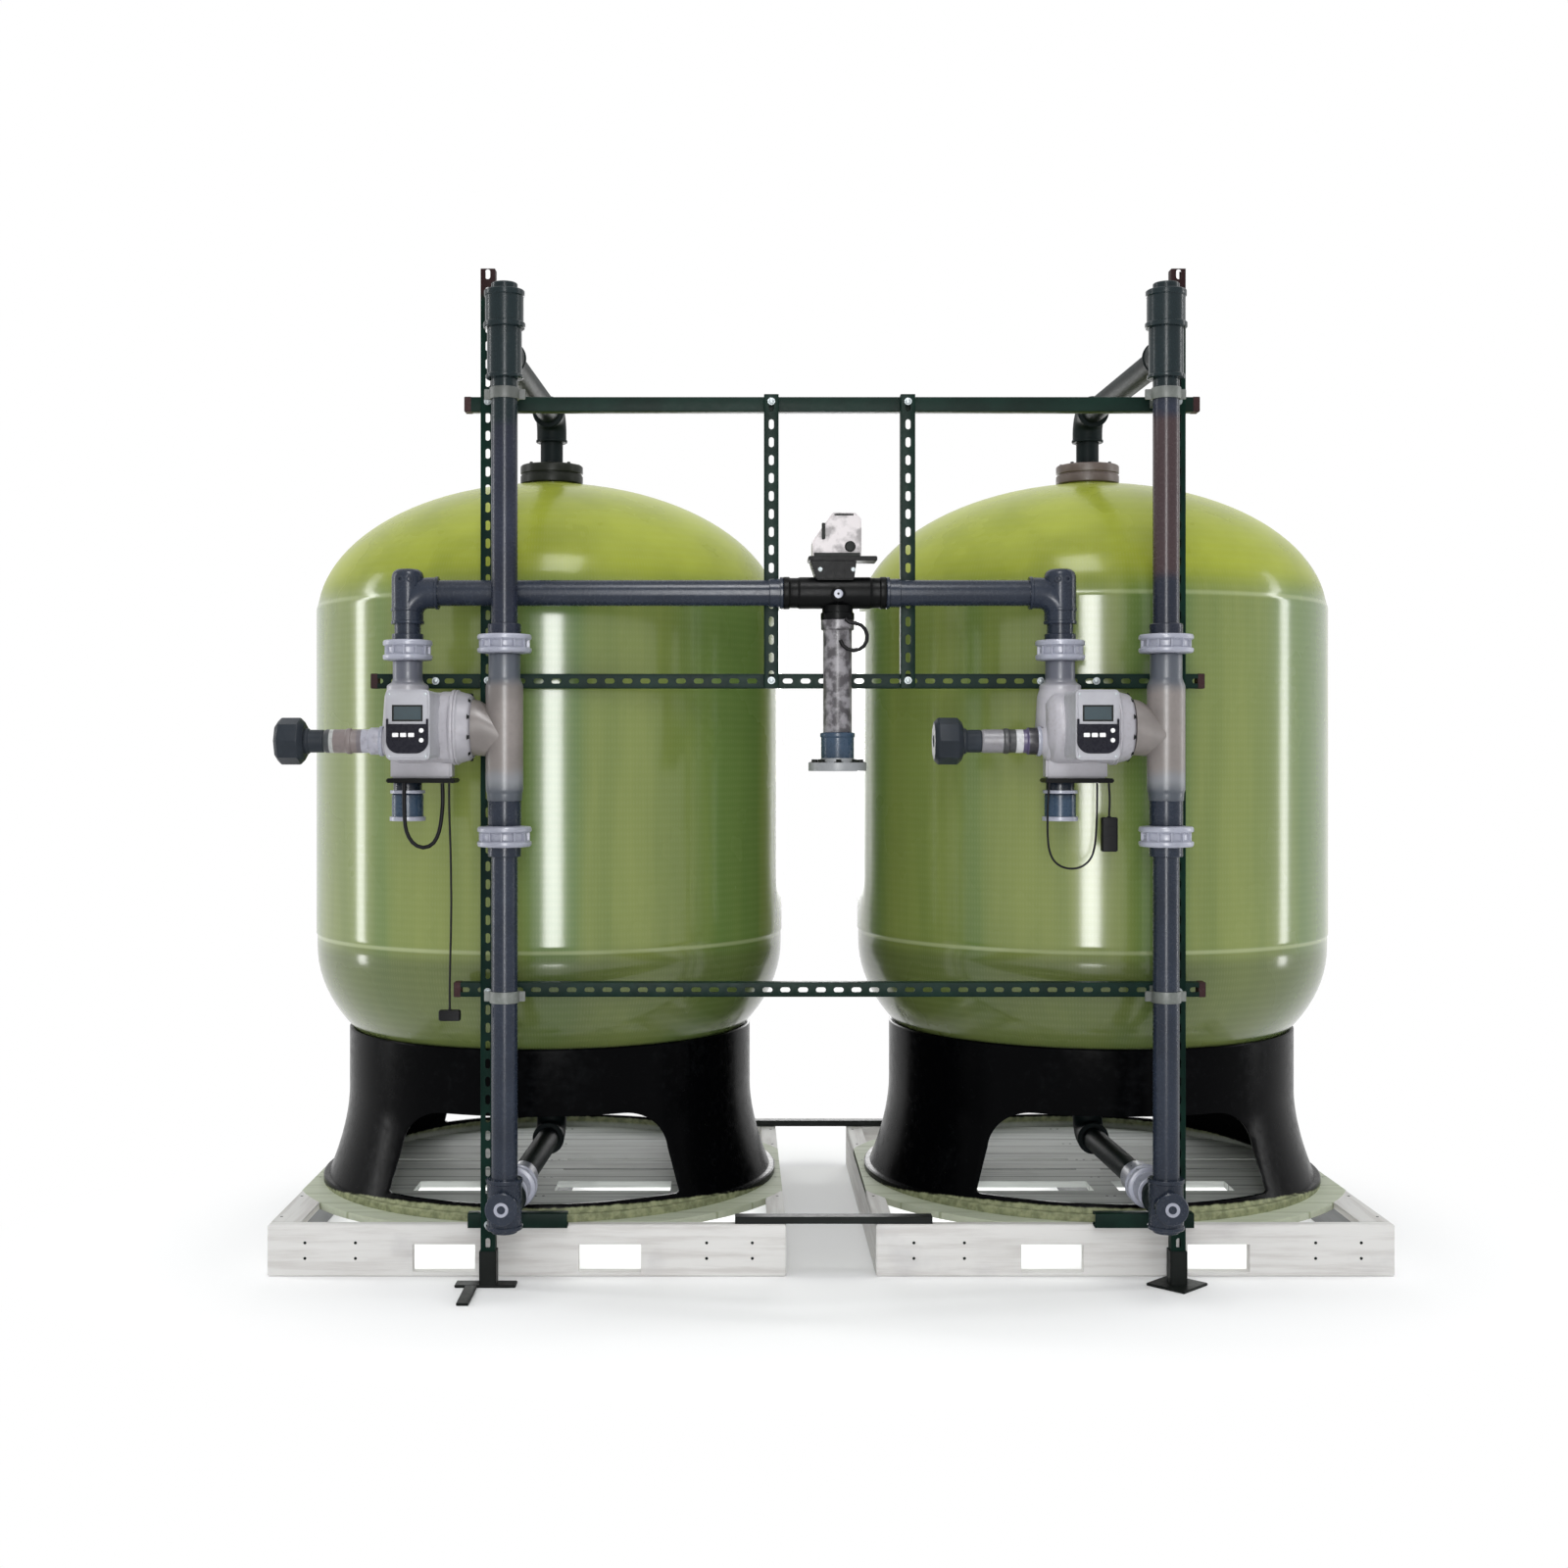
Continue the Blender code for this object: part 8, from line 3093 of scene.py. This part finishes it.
@dataclass
class Studio:
    """The white floor and backdrop, the lamps and the camera."""

    floor_half: float = 30.0
    camera: Spot = (-0.278, -5.995, 1.509)
    lens: float = 43.45
    shift: Pair = (0.03125, -0.01875)
    fade: Pair = (0.95, 1.7)
    ambient: float = 0.6

    @staticmethod
    def seen_rays(graph: bpy.types.NodeTree) -> bpy.types.NodeSocket:
        """A factor of 1 for camera, glossy and transmission rays, and 0 for the light on the object.

        Args:
            graph: the tree that gets the nodes.

        Returns:
            The socket that gives the factor.
        """
        path = graph.nodes.new("ShaderNodeLightPath")
        total = path.outputs["Is Camera Ray"]
        for name in ("Is Glossy Ray", "Is Transmission Ray"):
            most = graph.nodes.new("ShaderNodeMath")
            most.operation = "MAXIMUM"
            graph.links.new(total, most.inputs[0])
            graph.links.new(path.outputs[name], most.inputs[1])
            total = most.outputs[0]
        return total

    def floor(self) -> None:
        """Adds the plain floor, which turns into the white surroundings away from the object."""
        form = Form()
        half = self.floor_half
        corners = [(-half, -half, 0.0), (half, -half, 0.0), (half, half, 0.0), (-half, half, 0.0)]
        form.work.faces.new([form.work.verts.new(corner) for corner in corners])
        graph = ShaderGraph("white_floor")
        spot = graph.place()
        shade = graph.mix(graph.noise(spot, 0.8, 2.0) * 0.2, (0.95, 0.95, 0.95), (0.92, 0.92, 0.92))
        graph.drive("Base Color", shade)
        graph.fixed(roughness=0.9)
        x, y, _ = graph.axes(spot)
        reach = (x * x * 0.42 + y * y) ** 0.5
        far = reach.step(*self.fade)
        glow = graph.node("ShaderNodeEmission", {}, {"Strength": 1.0})
        factor = far * Socket(graph, self.seen_rays(graph.tree))
        blend = graph.node("ShaderNodeMixShader", {}, {0: factor})
        mixer = blend.link.node
        graph.tree.links.new(graph.shader.outputs[0], mixer.inputs[1])
        graph.tree.links.new(glow.link, mixer.inputs[2])
        graph.tree.links.new(blend.link, graph.tree.nodes["Material Output"].inputs["Surface"])
        item = bpy.data.objects.new("floor", form.mesh("floor"))
        item.data.materials.append(graph.material)
        bpy.context.scene.collection.objects.link(item)

    def world(self) -> None:
        """Sets the surroundings: white where they are seen, softer as light on the object."""
        world = bpy.data.worlds.new("surroundings")
        bpy.context.scene.world = world
        world.use_nodes = True
        tree = world.node_tree
        tree.nodes.clear()
        light, view = tree.nodes.new("ShaderNodeBackground"), tree.nodes.new("ShaderNodeBackground")
        light.inputs["Color"].default_value = (0.95, 0.97, 1.0, 1.0)
        light.inputs["Strength"].default_value = self.ambient
        view.inputs["Color"].default_value = (1.0, 1.0, 1.0, 1.0)
        view.inputs["Strength"].default_value = 1.0
        blend = tree.nodes.new("ShaderNodeMixShader")
        out = tree.nodes.new("ShaderNodeOutputWorld")
        tree.links.new(self.seen_rays(tree), blend.inputs[0])
        tree.links.new(light.outputs[0], blend.inputs[1])
        tree.links.new(view.outputs[0], blend.inputs[2])
        tree.links.new(blend.outputs[0], out.inputs[0])

    def lamp(self, name: str, spot: Spot, target: Spot, size: Pair, power: float,
             glow: Glow = Glow.ALL) -> None:
        """Adds one soft rectangular lamp aimed at a point.

        Args:
            name: the lamp's name.
            spot: where it stands.
            target: what it faces.
            size: its width and height.
            power: its watts.
            glow: which rays it lights.
        """
        light = bpy.data.lights.new(name, "AREA")
        light.shape = "RECTANGLE"
        light.size, light.size_y = size
        light.energy = power
        item = bpy.data.objects.new(name, light)
        item.location = spot
        item.rotation_euler = (Vector(target) - Vector(spot)).to_track_quat("-Z", "Y").to_euler()
        item.visible_diffuse, item.visible_glossy = glow.value
        item.visible_camera = False
        bpy.context.scene.collection.objects.link(item)

    def viewpoint(self) -> None:
        """Adds the camera as the photograph has it."""
        camera = bpy.data.cameras.new("viewpoint")
        camera.lens = self.lens
        camera.sensor_width = 36.0
        camera.shift_x, camera.shift_y = self.shift
        camera.clip_end = 200.0
        item = bpy.data.objects.new("viewpoint", camera)
        item.location = self.camera
        item.rotation_euler = (math.pi / 2, 0.0, 0.0)
        bpy.context.scene.collection.objects.link(item)
        bpy.context.scene.camera = item

    def build(self) -> None:
        """Adds everything that isn't the object."""
        self.floor()
        self.world()
        self.viewpoint()
        self.lamp("front_panel", (-0.18, -6.5, 2.2), (0.0, 0.2, 1.3), (1.0, 4.2), 140.0, Glow.MATT)
        self.lamp("front_gleam", (-0.18, -6.4, 1.9), (-0.18, 0.2, 1.9), (0.95, 4.4), 300.0, Glow.GLEAM)
        self.lamp("left_strip", (-5.6, 0.3, 2.2), (-0.9, 0.2, 1.4), (0.5, 4.4), 80.0)
        self.lamp("right_strip", (5.6, 0.0, 2.2), (0.9, 0.2, 1.4), (0.5, 4.4), 70.0)
        self.lamp("overhead", (0.0, -0.8, 6.5), (0.0, 0.2, 1.5), (6.0, 3.5), 190.0, Glow.MATT)
        self.lamp("dome_gleam", (-0.1, -3.4, 6.4), (-0.1, 0.1, 2.1), (1.5, 2.0), 190.0, Glow.GLEAM)
        self.lamp("rear_panel", (0.0, 5.6, 1.6), (0.0, 0.4, 0.3), (5.0, 2.0), 150.0)
        for side, way in SIDES.items():
            spot = (way * Plan.tank_x, Plan.tank_y, 0.127)
            self.lamp(f"under_deck_{side}", spot, (spot[0], spot[1], 0.0), (1.36, 1.36), 6.0)


def main() -> None:
    """Builds and dresses the water softener in the shared frame."""
    logging.basicConfig(level=logging.INFO, format="%(message)s")
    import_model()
    plan = Plan()
    scene = bpy.context.scene
    scene.view_settings.view_transform = "Standard"
    Studio().build()
    dresser = Dresser()
    Cords(plan).build(dresser)
    LOG.info("cords built")
    for side in SIDES:
        Vessel(side, plan).build(dresser)
        Pallet(side, plan).build(dresser)
        Pipework(side, plan).build(dresser)
        SideValve(side, plan).build(dresser)
        ControlHead(side, plan).build(dresser)
        LOG.info("%s side built", side)
    Header(plan).build(dresser)
    StrutFrame(plan).build(dresser)
    LOG.info("%d pieces built", dresser.made)


if __name__ == "__main__":
    main()
